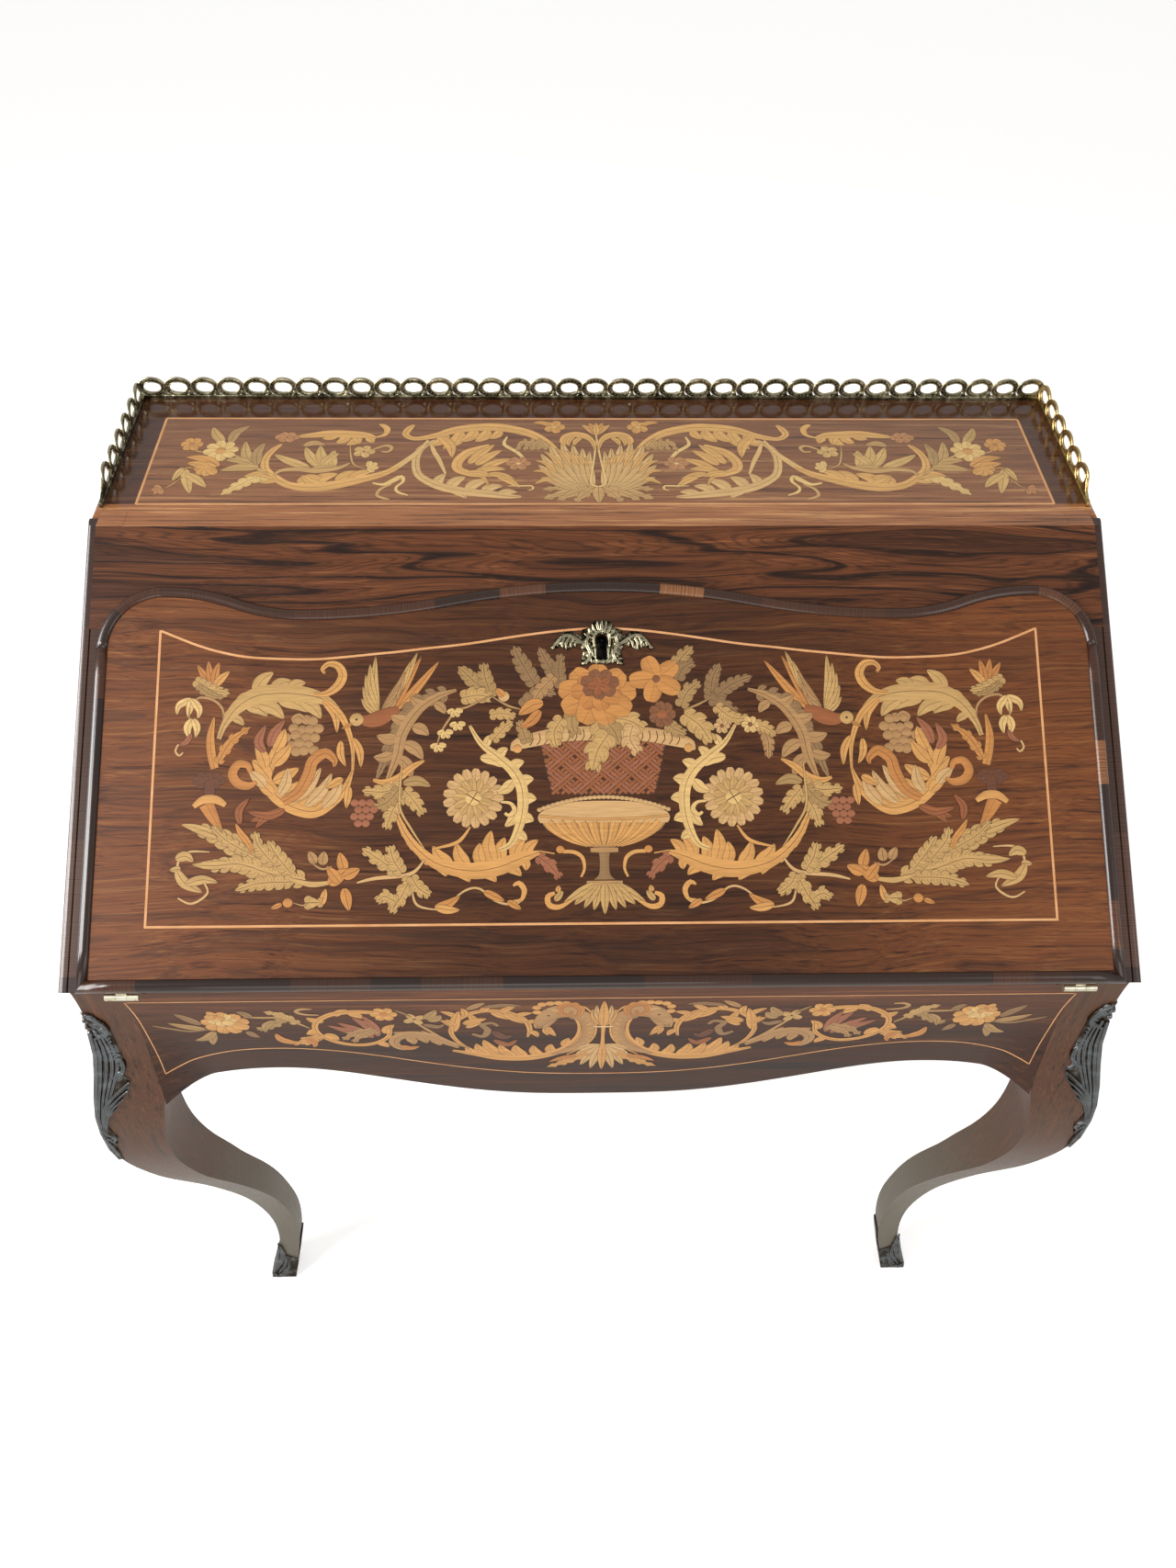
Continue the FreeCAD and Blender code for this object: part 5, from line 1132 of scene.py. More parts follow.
topLeft += band("gold", [
    (-88, 104, 3), (-96, 100, 4), (-106, 94, 4.6), (-113, 82, 4.6), (-112, 72, 4.4), (-102, 66, 3.6),
    (-92, 62, 2), (-87, 50, 1)], vein=0.7, shade=0.4)
topLeft += spray("gold", [
    (-104, 80, -84, 106, 4.6), (-98, 78, -78, 98, 4.6), (-94, 72, -70, 86, 4.4), (-98, 70, -74, 72, 4),
    (-104, 68, -84, 62, 3.6), (-88, 66, -66, 58, 3.6), (-80, 62, -62, 48, 3.6)], 0, 2)
topLeft += stem("straw", 1.1, [(-72, 50), (-62, 50), (-53, 50), (-52, 46), (-56, 44)])
topLeft += blossom("pink", -64, 80, 6, 1, 10, 4, squash=0.9, core=2)
for x in (-46, -40, -34):
    topLeft += leaf("tan", 3.4, [(-52 + (x + 46), 100), (x - 14, 110), (x - 20, 96)], teeth=3)
# outer ring
topLeft += band("pale", [(-139, 112, 1.2), (-146, 96, 2.4), (-156, 82, 3), (-166, 70, 3.2)])
topLeft += acanthus("gold", [
    (-160, 76, 2), (-172, 66, 3.4), (-190, 58, 4.6), (-210, 51, 5.4), (-228, 48, 5), (-244, 51, 4),
    (-256, 60, 3.6), (-266, 72, 3.4), (-268, 86, 3), (-264, 98, 2.6), (-258, 106, 1)], [
    (-226, 52, -208, 66, 4.4), (-238, 54, -220, 62, 4), (-208, 56, -188, 68, 4.4), (-198, 58, -180, 70, 3.6),
    (-216, 50, -236, 64, 3.4), (-252, 60, -276, 62, 4)])
topLeft += leafRows(
    ("straw", 5.4, 5, (-262, 62), (-276, 58), (-296, 38)), ("gold", 4, 0, (-256, 60), (-270, 66), (-282, 62)))
topLeft += band("gold", [
    (-182, 116, 1.2), (-175, 120, 2.2), (-174, 128, 3), (-178, 133, 2.4), (-181, 134, 1)], shade=0.4)
topLeft += acanthus("gold", [
    (-182, 115, 1.6), (-192, 119, 4), (-205, 120, 5), (-220, 121, 4.6), (-234, 119, 3.4), (-245, 117, 1.6)], [
    (-205, 118, -214, 108, 3.4), (-196, 117, -205, 105, 3.4), (-190, 116, -184, 108, 3),
    (-214, 120, -226, 114, 3), (-200, 118, -196, 106, 3)])
topLeft += blossom("pink", -255, 116, 6, 1, 10, 4, squash=0.7)
topLeft += spray("olive", [
    (-222, 74, -238, 102, 5), (-232, 74, -262, 92, 4.6), (-218, 76, -226, 104, 5),
    (-212, 76, -214, 98, 4.4), (-222, 78, -210, 94, 4.4), (-230, 72, -208, 76, 3.4)], -2)
topLeft += band("tan", [
    (-258, 63, 1), (-254, 70, 2.2), (-240, 72, 3), (-224, 70, 3.4), (-208, 74, 2.6), (-200, 80, 1)],
    shade=0.4)
topLeft += leaf("tan", 3.4, [(-240, 104), (-232, 108), (-222, 105)])
topLeft += stem("moss", 1, [(-202, 104), (-200, 90), (-196, 78), (-186, 72)])
topLeft += blossom("straw", -184, 75, 4, 0, 8, 3, turn=-60, arc=200)
topLeft += blossom("olive", -190, 96, 5, 1, 9, 3.8, squash=0.9)
topLeft += band("tan", [(-184, 98, 1), (-174, 104, 1.6), (-168, 102, 1.8), (-170, 96, 1.4), (-176, 96, 1)])
topLeft += band("straw", [
    (-179, 54, 1.2), (-170, 52, 2), (-162, 58, 2.8), (-157, 62, 2.4), (-155, 56, 1.6), (-160, 48, 1.4),
    (-158, 42, 1.6), (-150, 38, 1)])
topLeft += band("tan", [(-164, 52, 1), (-172, 46, 1.6), (-174, 38, 1.6), (-168, 34, 1.6), (-164, 33, 0.8)])
# sprig of flowers at the end
topLeft += stem("moss", 1.8, [(-262, 64), (-274, 74), (-284, 84), (-296, 92)])
topLeft += leafRows(
    ("moss", 5, 0, (-274, 76), (-284, 90), (-288, 110)),
    ("grey", 4.6, 0, (-274, 78), (-276, 94), (-272, 108)), ("moss", 5, 0, (-272, 74), (-288, 74), (-302, 70)),
    ("moss", 4.4, 0, (-280, 80), (-290, 84), (-300, 84)),
    ("moss", 4.6, 0, (-306, 108), (-314, 120), (-318, 130)),
    ("grey", 4.4, 0, (-300, 108), (-298, 122), (-288, 132)))
topLeft += stem("tan", 1, [(-314, 94), (-324, 96), (-330, 102)])
topLeft += blossom("amber", -331, 106, 6, 2, 9, 4, core=2.4, middle="rust")
topLeft += blossom("straw", -306, 97, 8, 4, 14, 4.6, core=4.4, middle="amber", turn=10)
topLeft += leafRows(
    ("amber", 5, 0, (-304, 76), (-318, 86), (-332, 88)), ("orange", 5, 0, (-306, 74), (-318, 78), (-330, 80)))
topLeft += blossom("orange", -312, 74, 5, 1, 11, 4.4, turn=150, arc=200)
topLeft += leafRows(
    ("olive", 4.6, 0, (-330, 72), (-326, 58), (-320, 40)),
    ("olive", 4.4, 0, (-328, 66), (-318, 58), (-309, 48)),
    ("olive", 3.2, 0, (-332, 74), (-335, 64), (-337, 56)))
topLeft += stem("amber", 1, [(-318, 72), (-328, 74), (-332, 72)])
topLeft += stem("tan", 0.8, [(-330, 62), (-336, 52), (-341, 47)])
topLeft += blossom("pink", -344, 46, 4, 0, 7, 2.6, turn=140, arc=200)
topPieces = sides(topLeft + fan) + leafRows(
    ("tan", 5, 0, (0, 49), (0, 38), (0, 28)), ("gold", 3, 0, (0, 120), (0, 129), (0, 137)))
# lighter copies of the inlay tones for the top: painted light on its upward face
paintedLitTopTones = {name: withPaintedLight(colour) for name, colour in tones.items()}
finishPiece(ribbonPiece("top_marquetry", topPieces, onTop, inlayWood, toneOf=paintedLitTopTones),
            "case", "veneered_rosewood")


# the frieze follows the swelling of the apron and legs: every point is dropped on it
def surfaceOf(*names):
    points, faces = [], []
    for name in names:
        mesh = nodes[name].data
        start = len(points)
        points += [v.co.copy() for v in mesh.vertices]
        faces += [[start + i for i in polygon.vertices] for polygon in mesh.polygons]
    return BVHTree.FromPolygons(points, faces)


friezeGround = surfaceOf("apron_front", "leg_front_left", "leg_front_right")


# figures were traced in the upright plane of the frieze, as the camera saw them
def onFrieze(a, z, up):
    flat = Vector((a, desk["friezeY"], desk["footZ"] + z)) * mm
    eye = Vector(view["place"])
    ahead = (flat - eye).normalized()
    hit, normal = friezeGround.ray_cast(eye, ahead)[:2]
    if hit is None:
        hit, normal = flat, Vector((0, -1, 0))
    if normal.dot(ahead) > 0:
        normal = -normal
    return hit + normal * (up * mm if up > 0 else -0.0001)


lowLine = [
    (-349, -136), (-335, -123), (-320, -111), (-300, -101.5), (-280, -96), (-255, -94), (-230, -95.5),
    (-200, -101), (-170, -110), (-150, -117), (-120, -127), (-90, -135), (-60, -140.5), (-30, -143),
    (0, -143.6)]
friezeLines = band("cream", [(x, z, lineHalf["friezeLow"]) for x, z in mirrored(lowLine)])
friezeLines += band("cream", [(x, -21, lineHalf["friezeHigh"]) for x in range(-348, 349, 24)])
friezeEnd = ((349, -21), (346, -45), (346, -80), (347, -110), (349, -136))
for side in (-1, 1):
    friezeLines += band("cream", [(side * x, z, lineHalf["friezeEnd"]) for x, z in friezeEnd])
finishPiece(ribbonPiece("frieze_stringing", friezeLines, onFrieze, boxwoodLine,
                        height=inlay["onCurve"]), "case", "veneered_rosewood")
frieze = acanthus("gold", [
    (-34, -38, 1.2), (-22, -48, 2.2), (-17, -64, 2.6), (-20, -84, 3.2), (-34, -104, 3.8), (-56, -114, 4.4),
    (-80, -114, 4.2), (-100, -107, 3), (-117, -101, 1.4)], [
    (-60, -113, -68, -93, 4), (-48, -112, -54, -94, 3.6), (-74, -113, -92, -84, 4.4),
    (-88, -110, -98, -90, 3.6), (-98, -107, -106, -94, 3), (-38, -108, -40, -92, 3.4),
    (-28, -98, -26, -82, 3), (-68, -113, -80, -92, 3.6)])
frieze += band("gold", [
    (-104, -98, 1), (-113, -84, 2), (-116, -68, 2.2), (-110, -52, 2.4), (-98, -41, 2.6), (-84, -38, 2.6),
    (-70, -42, 2.6), (-60, -52, 2.6), (-56, -66, 2.4), (-58, -80, 1)], vein=0.8, shade=0.4)
frieze += spray("gold", [
    (-108, -50, -122, -38, 3.2), (-114, -62, -123, -52, 3.2), (-92, -40, -84, -29, 3.2),
    (-78, -40, -66, -32, 3.2), (-66, -46, -53, -42, 3.2), (-58, -56, -48, -56, 3.2),
    (-104, -46, -106, -34, 3.2), (-56, -70, -50, -80, 3.2)], 1, 1)
frieze += spray("gold", [
    (-114, -70, -108, -38, 4.4), (-112, -62, -118, -50, 3), (-84, -40, -68, -52, 3.6),
    (-74, -42, -60, -58, 3.6), (-100, -44, -92, -60, 3.4), (-106, -58, -88, -50, 4),
    (-104, -64, -92, -56, 3)], -1)
frieze += band("grey", [
    (-100, -74, 1.6), (-92, -78, 2.6), (-88, -68, 3), (-92, -60, 2.4), (-84, -57, 2), (-80, -62, 1.6)])
frieze += leafRows(
    ("rust", 3.4, 0, (-84, -84), (-74, -92), (-66, -84)), ("plum", 4, 0, (-84, -70), (-76, -80), (-70, -76)),
    ("tan", 3, 0, (-102, -36), (-94, -30), (-88, -26)), ("grey", 2.6, 0, (-90, -33), (-74, -30), (-60, -31)))
# horned head looking outwards: neck, face, wool, horn, beard
frieze += band("tan", [
    (-40, -109, 1.2), (-30, -104, 3.4), (-18, -94, 5), (-11.5, -79, 5.4), (-11, -62, 6), (-14, -50, 7),
    (-22, -44, 8)], shade=0.5)
frieze += band("gold", [
    (-28, -110, 0.8), (-15, -97, 1), (-6.8, -80, 1), (-5.6, -61, 1), (-8, -46, 1), (-14, -34, 1)])
for k in range(7):
    frieze += leaf("gold", 1.3, [
        (-7 - 0.5 * (k - 3) ** 2 / 2, -52 - 7 * k), (-13 - 0.5 * (k - 3) ** 2 / 2, -56 - 6.4 * k)], vein=0)
frieze += band("tan", [(-38, -50, 4), (-43, -60, 3.6), (-46, -66, 2.2)], shade=0.4)
frieze += band("tan", [
    (-20, -42, 8), (-30, -40, 9.5), (-38, -43, 9), (-45, -51, 6.6), (-49, -60, 4.4), (-49.5, -66, 2.6)],
    shade=0.4)
frieze += dots("gold", 3.5, [
    (-50, -41), (-50, -34), (-46, -29.5), (-40, -28), (-34, -27.5), (-28, -28), (-22, -30), (-17, -35)],
    shade=0.6)
frieze += band("amber", [
    (-20, -49, 1.8), (-17, -38, 3), (-23, -30.6, 3), (-31, -32, 2.8), (-33, -40, 2.6), (-29, -46.5, 2.2),
    (-24.5, -45, 1.6), (-24.5, -39.5, 1.0)], vein=0.7, shade=0.6)
frieze += leaf("pale", 2.4, [(-34, -40), (-39, -37), (-44, -38)]) + dots("dark", 1.1, [(-41.5, -46.5)])
frieze += dots("dark", 0.7, [(-50, -62)])
frieze += band("dark", [(-51, -65, 0.35), (-46, -62.5, 0.35)])
frieze += leafRows(
    ("gold", 3, 0, (-42, -64), (-40, -72), (-36, -79)), ("gold", 2.4, 0, (-45, -66), (-44, -72), (-42, -78)))
frieze += stem("tan", 1.6, [(-106, -96), (-122, -82), (-134, -66), (-142, -54)])
frieze += acanthus("tan", [
    (-112, -96, 1.4), (-122, -86, 4), (-134, -77, 5), (-148, -74, 5), (-158, -79, 4.6), (-161, -88, 4),
    (-156, -96, 3), (-146, -97, 1.2)], [(-124, -84, -138, -68, 3.6), (-132, -80, -126, -92, 3.4),
    (-142, -76, -136, -88, 3.4), (-150, -78, -146, -90, 3.2), (-148, -73, -160, -70, 3)])
frieze += leaf("amber", 3.4, [(-156, -92), (-150, -96), (-142, -93)])
frieze += blossom("olive", -142, -50, 4, 1, 9, 3.4, turn=30)
frieze += leafRows(
    ("moss", 4.2, 0, (-134, -50), (-128, -42), (-125, -36)),
    ("moss", 4, 0, (-132, -52), (-126, -50), (-122, -44)))
frieze += stem("grey", 1.4, [(-144, -46), (-150, -40), (-155, -36)])
frieze += leaf("grey", 3, [(-136, -58), (-126, -62), (-120, -58)])
frieze += acanthus("gold", [
    (-161, -60, 1), (-164, -76, 1.8), (-175, -87, 2), (-190, -90, 2), (-206, -84, 2.2), (-217, -70, 2.2),
    (-216, -54, 2.4), (-204, -42, 2.6), (-188, -38, 2.6), (-172, -39, 2.4), (-162, -43, 1.4)], [
    (-210, -52, -222, -46, 3), (-214, -76, -232, -78, 3.6), (-212, -72, -203, -82, 3),
    (-166, -72, -158, -58, 3), (-174, -86, -166, -94, 2.8), (-190, -40, -180, -48, 3),
    (-218, -64, -226, -72, 3), (-200, -44, -190, -34, 2.6)])
frieze += spray("pink", [
    (-172, -74, -188, -46, 4.4), (-172, -76, -180, -44, 4), (-176, -78, -200, -54, 4.4),
    (-182, -78, -208, -58, 3.8)], 2, vein=0.7)
frieze += leafRows(
    ("tan", 4.2, 4, (-174, -66), (-188, -70), (-200, -82)),
    ("tan", 4, 3, (-172, -68), (-186, -76), (-192, -86)))
frieze += blossom("gold", -164, -42, 6, 2, 10, 4, core=3, middle="amber")
frieze += leafRows(
    ("gold", 4.6, 4, (-216, -74), (-228, -84), (-240, -86)),
    ("orange", 4, 0, (-236, -86), (-246, -80), (-249, -70)),
    ("amber", 3.4, 0, (-226, -78), (-222, -88), (-224, -93)))
frieze += band("tan", [(-212, -42, 1), (-222, -41, 1.6), (-228, -37, 1.8), (-224, -33, 1.8), (-216, -33, 1)])
frieze += stem("moss", 1.6, [(-222, -62), (-230, -54), (-240, -46), (-256, -45), (-268, -44)])
frieze += leafRows(
    ("olive", 4.4, 4, (-230, -54), (-240, -42), (-252, -36)),
    ("moss", 4.4, 4, (-240, -48), (-248, -56), (-262, -64)),
    ("moss", 3.6, 0, (-246, -50), (-254, -58), (-256, -68)),
    ("grey", 3.4, 0, (-262, -44), (-268, -38), (-272, -36)))
frieze += stem("grey", 1.4, [(-296, -62), (-312, -65), (-328, -60), (-338, -56)])
frieze += leafRows(
    ("grey", 4, 0, (-302, -55), (-310, -46), (-318, -38)),
    ("moss", 3.8, 0, (-300, -62), (-314, -58), (-326, -52)),
    ("moss", 4, 0, (-296, -66), (-298, -76), (-300, -87)),
    ("moss", 4, 0, (-294, -66), (-302, -76), (-312, -80)),
    ("grey", 3.4, 0, (-270, -66), (-266, -72), (-262, -76)))
frieze += blossom("gold", -283, -53, 9, 5, 18, 5.6, turn=12, squash=0.9)
frieze += blossom("straw", -285, -48, 7, 2, 11, 4.4, squash=0.9)
frieze += blossom("gold", -288, -42, 4, 0, 8, 3.2, turn=40, core=1.6, middle="amber")
# leaves above and below the belt at the middle
middleFan = leafRows(
    ("gold", 3, 0, (-2, -62), (-7, -50), (-9, -37)), ("pale", 2.8, 0, (-1, -61), (-5, -45), (-5.5, -31)))
for tip, h in (((-21, -102), 3.8), ((-22, -113), 4.2), ((-17, -128), 4.4), ((-9, -134), 4)):
    middleFan += leaf("pale", h, [(0, -95), (tip[0] * 0.55, (tip[1] - 95) / 2 + 2), tip], vein=0.9)
middleFan += leafRows(
    ("gold", 4.4, 5, (-12, -107), (-21, -115), (-33, -125), (-44, -131)),
    ("amber", 3.2, 0, (-20, -112), (-32, -116), (-42, -122)))
middlePieces = sides(middleFan) + leafRows(
    ("gold", 4.2, 0, (0, -64), (0, -45), (0, -25)), ("gold", 3.6, 0, (0, -95), (0, -113), (0, -136)))
middlePieces += band("gold", [(0, -62, 2), (0, -80, 1.5), (0, -98, 2.2)])
middlePieces += band("cream", [(-7.5, -64, 1.1), (0, -64.6, 1.4), (7.5, -64, 1.1)])
friezePieces = sides(frieze) + middlePieces
finishPiece(ribbonPiece("frieze_marquetry", friezePieces, onFrieze, inlayWood,
                        height=inlay["onCurve"]), "case", "veneered_rosewood")
print("top and frieze inlaid:", len(topPieces), "and", len(friezePieces), "pieces")


# plain string panels on the sides of the case
sideOutline = [(-190, 706), (222, 706), (222, 832), (26, 832)]


def onSide(y, z, up):
    return Vector((sideNow * (desk["halfWidth"] + up), y, z)) * mm


for sideNow, word in ((-1, "left"), (1, "right")):
    sideLines = lineRun(lineHalf["side"], sideOutline, closed=True)
    finishPiece(ribbonPiece("side_stringing_" + word, sideLines, onSide, boxwoodLine),
                "case", "veneered_rosewood")


# Pierced gallery: broad oval rings, each lapping over the next, with a row of pearls on a rail
gallery = {"pitch": 22.057, "backLoops": 35, "sideLoops": 6, "ringWidth": 19.0, "ringHeight": 13.8,
           "foot": 1.2, "band": 4.4, "bandThick": 1.5, "rim": 0.55, "pearl": 1.0, "pearls": 17, "lap": 3.5,
           "railHeight": 3.2, "railFoot": -0.7, "railThick": 2.8, "railPast": 16.6, "x": 386.0, "y": 236.0,
           "thick": 3.0, "start": 233.0, "tipThick": 2.2, "soft": 0.5,
           "tip": ((-5, 2.0), (16.4, 2.0), (16, 4.0), (11, 4.6), (6, 6.8), (2.6, 10.8), (-0.4, 14.6),
                   (-3, 15.0), (-1.6, 9.0))}
galleryLengths = {"Pitch": "pitch", "Ring width": "ringWidth", "Ring height": "ringHeight", "Band": "band",
                  "Band thickness": "bandThick", "Rim radius": "rim", "Pearl radius": "pearl",
                  "Foot height": "foot"}


def galleryTree():
    tree = bpy.data.node_groups.new("lappedRings", "GeometryNodeTree")
    tree.interface.new_socket("Geometry", in_out="OUTPUT", socket_type="NodeSocketGeometry")
    kinds = {"Rings": "Int", "Pearls": "Int", **dict.fromkeys(galleryLengths, "Float"),
             "Lap angle": "Float", "Metal": "Material"}
    sockets = {name: tree.interface.new_socket(name, in_out="INPUT",
        socket_type="NodeSocket" + kind).identifier for name, kind in kinds.items()}
    given = addNode(tree, "NodeGroupInput").outputs

    def times(name, share):
        return maths(tree, "MULTIPLY", given[name], share)

    def vector(x=0.0, y=0.0, z=0.0):
        return addNode(tree, "ShaderNodeCombineXYZ", {0: x, 1: y, 2: z}).outputs[0]

    def add(kind, links, output=0, **settings):
        return addNode(tree, "GeometryNode" + kind, links, **settings).outputs[output]

    def placed(geometry, **place):
        return add("Transform", {"Geometry": geometry, **place})

    def marked(geometry, relief):
        return add("StoreNamedAttribute", {"Geometry": geometry, "Name": "relief", "Value": relief},
                   data_type="FLOAT", domain="POINT")

    def oval(grow):
        loop = add("CurvePrimitiveCircle", {"Resolution": 26, "Radius": 0.5}, "Curve")
        return placed(loop, Scale=vector(maths(tree, "ADD", given["Ring width"], grow),
                                         maths(tree, "ADD", given["Ring height"], grow), 1.0))

    def sweep(curve, wide, thick, sides, relief):
        profile = add("CurvePrimitiveCircle", {"Resolution": sides, "Radius": 0.5}, "Curve")
        shaped = placed(profile, Scale=vector(wide, thick, 1.0))
        return marked(add("CurveToMesh", {"Curve": curve, "Profile Curve": shaped}), relief)

    def joined(*parts):
        joint = addNode(tree, "GeometryNodeJoinGeometry")
        for part in parts:
            tree.links.new(part, joint.inputs[0])
        return joint.outputs[0]

    def onPoints(points, instance):
        return add("InstanceOnPoints", {"Points": points, "Instance": instance})

    # rims and pearls carry a high relief mark, so the metal shows them bright: rubbed bright and painted
    # highlight; the flat band stays dull
    rimWide, rimTall = times("Rim radius", 2.0), times("Band thickness", 1.3)
    flat = sweep(oval(0.0), given["Band"], given["Band thickness"], 8, 0.15)
    outerRim, innerRim = (sweep(oval(times("Band", share)), rimWide, rimTall, 6, 0.9)
                          for share in (0.86, -0.86))
    spots = add("ResampleCurve", {"Curve": oval(0.0), "Count": given["Pearls"]})
    pearl = add("MeshIcoSphere", {"Radius": given["Pearl radius"], "Subdivisions": 1}, "Mesh")
    ring = joined(flat, outerRim, innerRim, onPoints(spots, marked(pearl, 1.0)))
    upright = placed(ring, Rotation=(math.radians(90), 0, 0))
    lapped = placed(upright, Rotation=vector(z=given["Lap angle"]))
    whole = maths(tree, "ADD", given["Ring height"], given["Band"])
    middle = maths(tree, "ADD", maths(tree, "MULTIPLY", whole, 0.5), given["Foot height"])
    row = add("MeshLine", {"Count": given["Rings"], "Start Location": vector(times("Pitch", 0.5), 0.0,
        middle), "Offset": vector(given["Pitch"])})
    # a small leaf fills the foot of each lap
    sprig = add("MeshIcoSphere", {"Radius": 0.001, "Subdivisions": 1}, "Mesh")
    leafed = placed(sprig, Scale=(2.3, 0.9, 3.4), Rotation=(0, math.radians(-28), 0))
    aside = vector(times("Pitch", 0.42), 0.0, maths(tree, "MULTIPLY", whole, -0.3))
    feet = add("SetPosition", {"Geometry": row, "Offset": aside})
    real = add("RealizeInstances", {"Geometry": joined(onPoints(row, lapped), onPoints(feet, leafed))})
    addNode(tree, "NodeGroupOutput", {0: add("SetMaterial", {"Geometry": real, "Material": given["Metal"]})})
    return tree, sockets


def applyTree(name, tree, sockets, values):
    holder = bpy.data.objects.new(name, bpy.data.meshes.new(name))
    bpy.context.scene.collection.objects.link(holder)
    modifier = holder.modifiers.new("nodes", "NODES")
    modifier.node_group = tree
    for key, value in values.items():
        modifier[sockets[key]] = value
    bpy.context.view_layer.update()
    grown = holder.evaluated_get(bpy.context.evaluated_depsgraph_get())
    mesh = bpy.data.meshes.new_from_object(grown)
    holder.modifiers.clear()
    bpy.data.objects.remove(holder)
    return mesh


def joinMeshes(name, meshes, material):
    whole = bmesh.new()
    for mesh, place in meshes:
        mesh.transform(place)
        whole.from_mesh(mesh)
    bmesh.ops.recalc_face_normals(whole, faces=whole.faces)
    for face in whole.faces:
        face.material_index = 0
        face.smooth = True
    return addPiece(name, meshFrom(whole, name), material)


# bar cut to an outline in X and Z, with softened arrises
def barMesh(name, outline, thick, soft):
    shape = bmesh.new()
    shape.faces.new([shape.verts.new((x * mm, 0, z * mm)) for x, z in outline])
    grown = bmesh.ops.extrude_face_region(shape, geom=shape.faces[:])
    for vert in grown["geom"]:
        if isinstance(vert, bmesh.types.BMVert):
            vert.co.y += thick * mm
    bmesh.ops.recalc_face_normals(shape, faces=shape.faces)
    bmesh.ops.bevel(shape, geom=shape.edges[:], offset=soft * mm, segments=2, affect="EDGES",
                    profile=0.6, clamp_overlap=True)
    return meshFrom(shape, name)


def buildGallery():
    tree, sockets = galleryTree()
    base = {name: gallery[key] * mm for name, key in galleryLengths.items()}
    base.update({"Pearls": gallery["pearls"], "Lap angle": math.radians(gallery["lap"]),
        "Metal": galleryBrass})
    topZ, thick, soft = desk["topZ"] * mm, gallery["railThick"], gallery["soft"]
    foot, head = gallery["railFoot"], gallery["railHeight"]

    def railRun(word, loops, past):
        rings = applyTree(word + "_rings", tree, sockets, {**base, "Rings": loops})
        end = loops * gallery["pitch"] + past
        return rings, barMesh(word + "_rail", [(0, foot), (end, foot), (end, head), (0, head)], thick, soft)

    def moved(lay, bar, wide):
        return bar, lay @ Matrix.Translation((0, -wide / 2 * mm, 0))

    rings, bar = railRun("back", gallery["backLoops"], 0.0)
    lay = Matrix.Translation((-gallery["backLoops"] * gallery["pitch"] / 2 * mm,
                              (gallery["y"] - gallery["thick"] / 2) * mm, topZ))
    back = joinMeshes("back_gallery", [(rings, lay), moved(lay, bar, thick)], galleryBrass)
    finishPiece(back, "case", "gallery_brass", "gallery_back")
    run = gallery["sideLoops"] * gallery["pitch"]
    for side, word in ((-1, "left"), (1, "right")):
        rings, bar = railRun(word, gallery["sideLoops"], gallery["railPast"])
        tip = barMesh(word + "_tip", [(run + x, z) for x, z in gallery["tip"]], gallery["tipThick"], soft)
        # the run starts at the back and comes forward
        lay = (Matrix.Translation((side * (gallery["x"] - gallery["thick"] / 2) * mm,
                                   gallery["start"] * mm, topZ)) @ Matrix.Rotation(math.radians(-90), 4, "Z"))
        piece = joinMeshes(word + "_gallery", [(rings, lay), moved(lay, bar, thick),
                                               moved(lay, tip, gallery["tipThick"])],
                           # the right gallery takes the lighter copy of the brass as painted light
                           litGalleryBrass if side > 0 else galleryBrass)
        finishPiece(piece, "case", "gallery_brass", "gallery_" + word)


buildGallery()
print("gallery bent")

# Bronze leafwork: ribbons with a rounded, grooved section, chased and rubbed bright on top, the bright crests
# partly painted highlight and the groove and rims painted shade
domeSection = ((-1, 0), (-0.88, 0.5), (-0.5, 0.9), (-0.16, 0.92), (0, 0.66), (0.16, 0.92), (0.5, 0.9),
               (0.88, 0.5), (1, 0))


# what lies on top is told by its lift
def lifted(pieces, lift):
    return [{**piece, "lift": lift} for piece in pieces]


def cast(points, lift=1.0):
    return lifted(band("dark", points), lift)


def frond(half, points, lift=1.0):
    return lifted(leaf("dark", half, points), lift)


def boss(radius, places, lift=1.0):
    return lifted(dots("dark", radius, places), lift)


# smooth faces and no step between layers
def bronzePiece(name, shapes, put, material, height):
    layer = inlay["rise"]
    inlay["rise"] = 0.0
    piece = ribbonPiece(name, shapes, put, material, section=domeSection, height=height)
    inlay["rise"] = layer
    for polygon in piece.data.polygons:
        polygon.use_smooth = len(polygon.vertices) == 4
    return piece


# line of the outer arris of a leg: share of its height, sway out, as the leg is sawn
swayShares = ((1.0, 0), (0.955, 0), (0.915, 0.07), (0.873, 0.21), (0.837, 0.42), (0.80, 0.66), (0.764, 0.85),
              (0.728, 0.955), (0.686, 1.0), (0.64, 0.94), (0.59, 0.74), (0.543, 0.49), (0.494, 0.155),
              (0.444, -0.205), (0.386, -0.566), (0.32, -0.915), (0.25, -1.155), (0.19, -1.26),
              (0.133, -1.235), (0.08, -1.07), (0.037, -0.81), (0, -0.51))
legGround = {}
for side, word in ((-1, "left"), (1, "right")):
    for end in ("front", "rear"):
        legGround[(side, end)] = surfaceOf("leg_" + end + "_" + word)


def arrisAt(z):
    share = z / desk["writingLevel"]
    for (high, sway), (low, lower) in zip(swayShares, swayShares[1:]):
        if share >= low:
            t = (share - low) / (high - low)
            return (lower + (sway - lower) * t) * desk["kneeSwell"]
    return swayShares[-1][1] * desk["kneeSwell"]


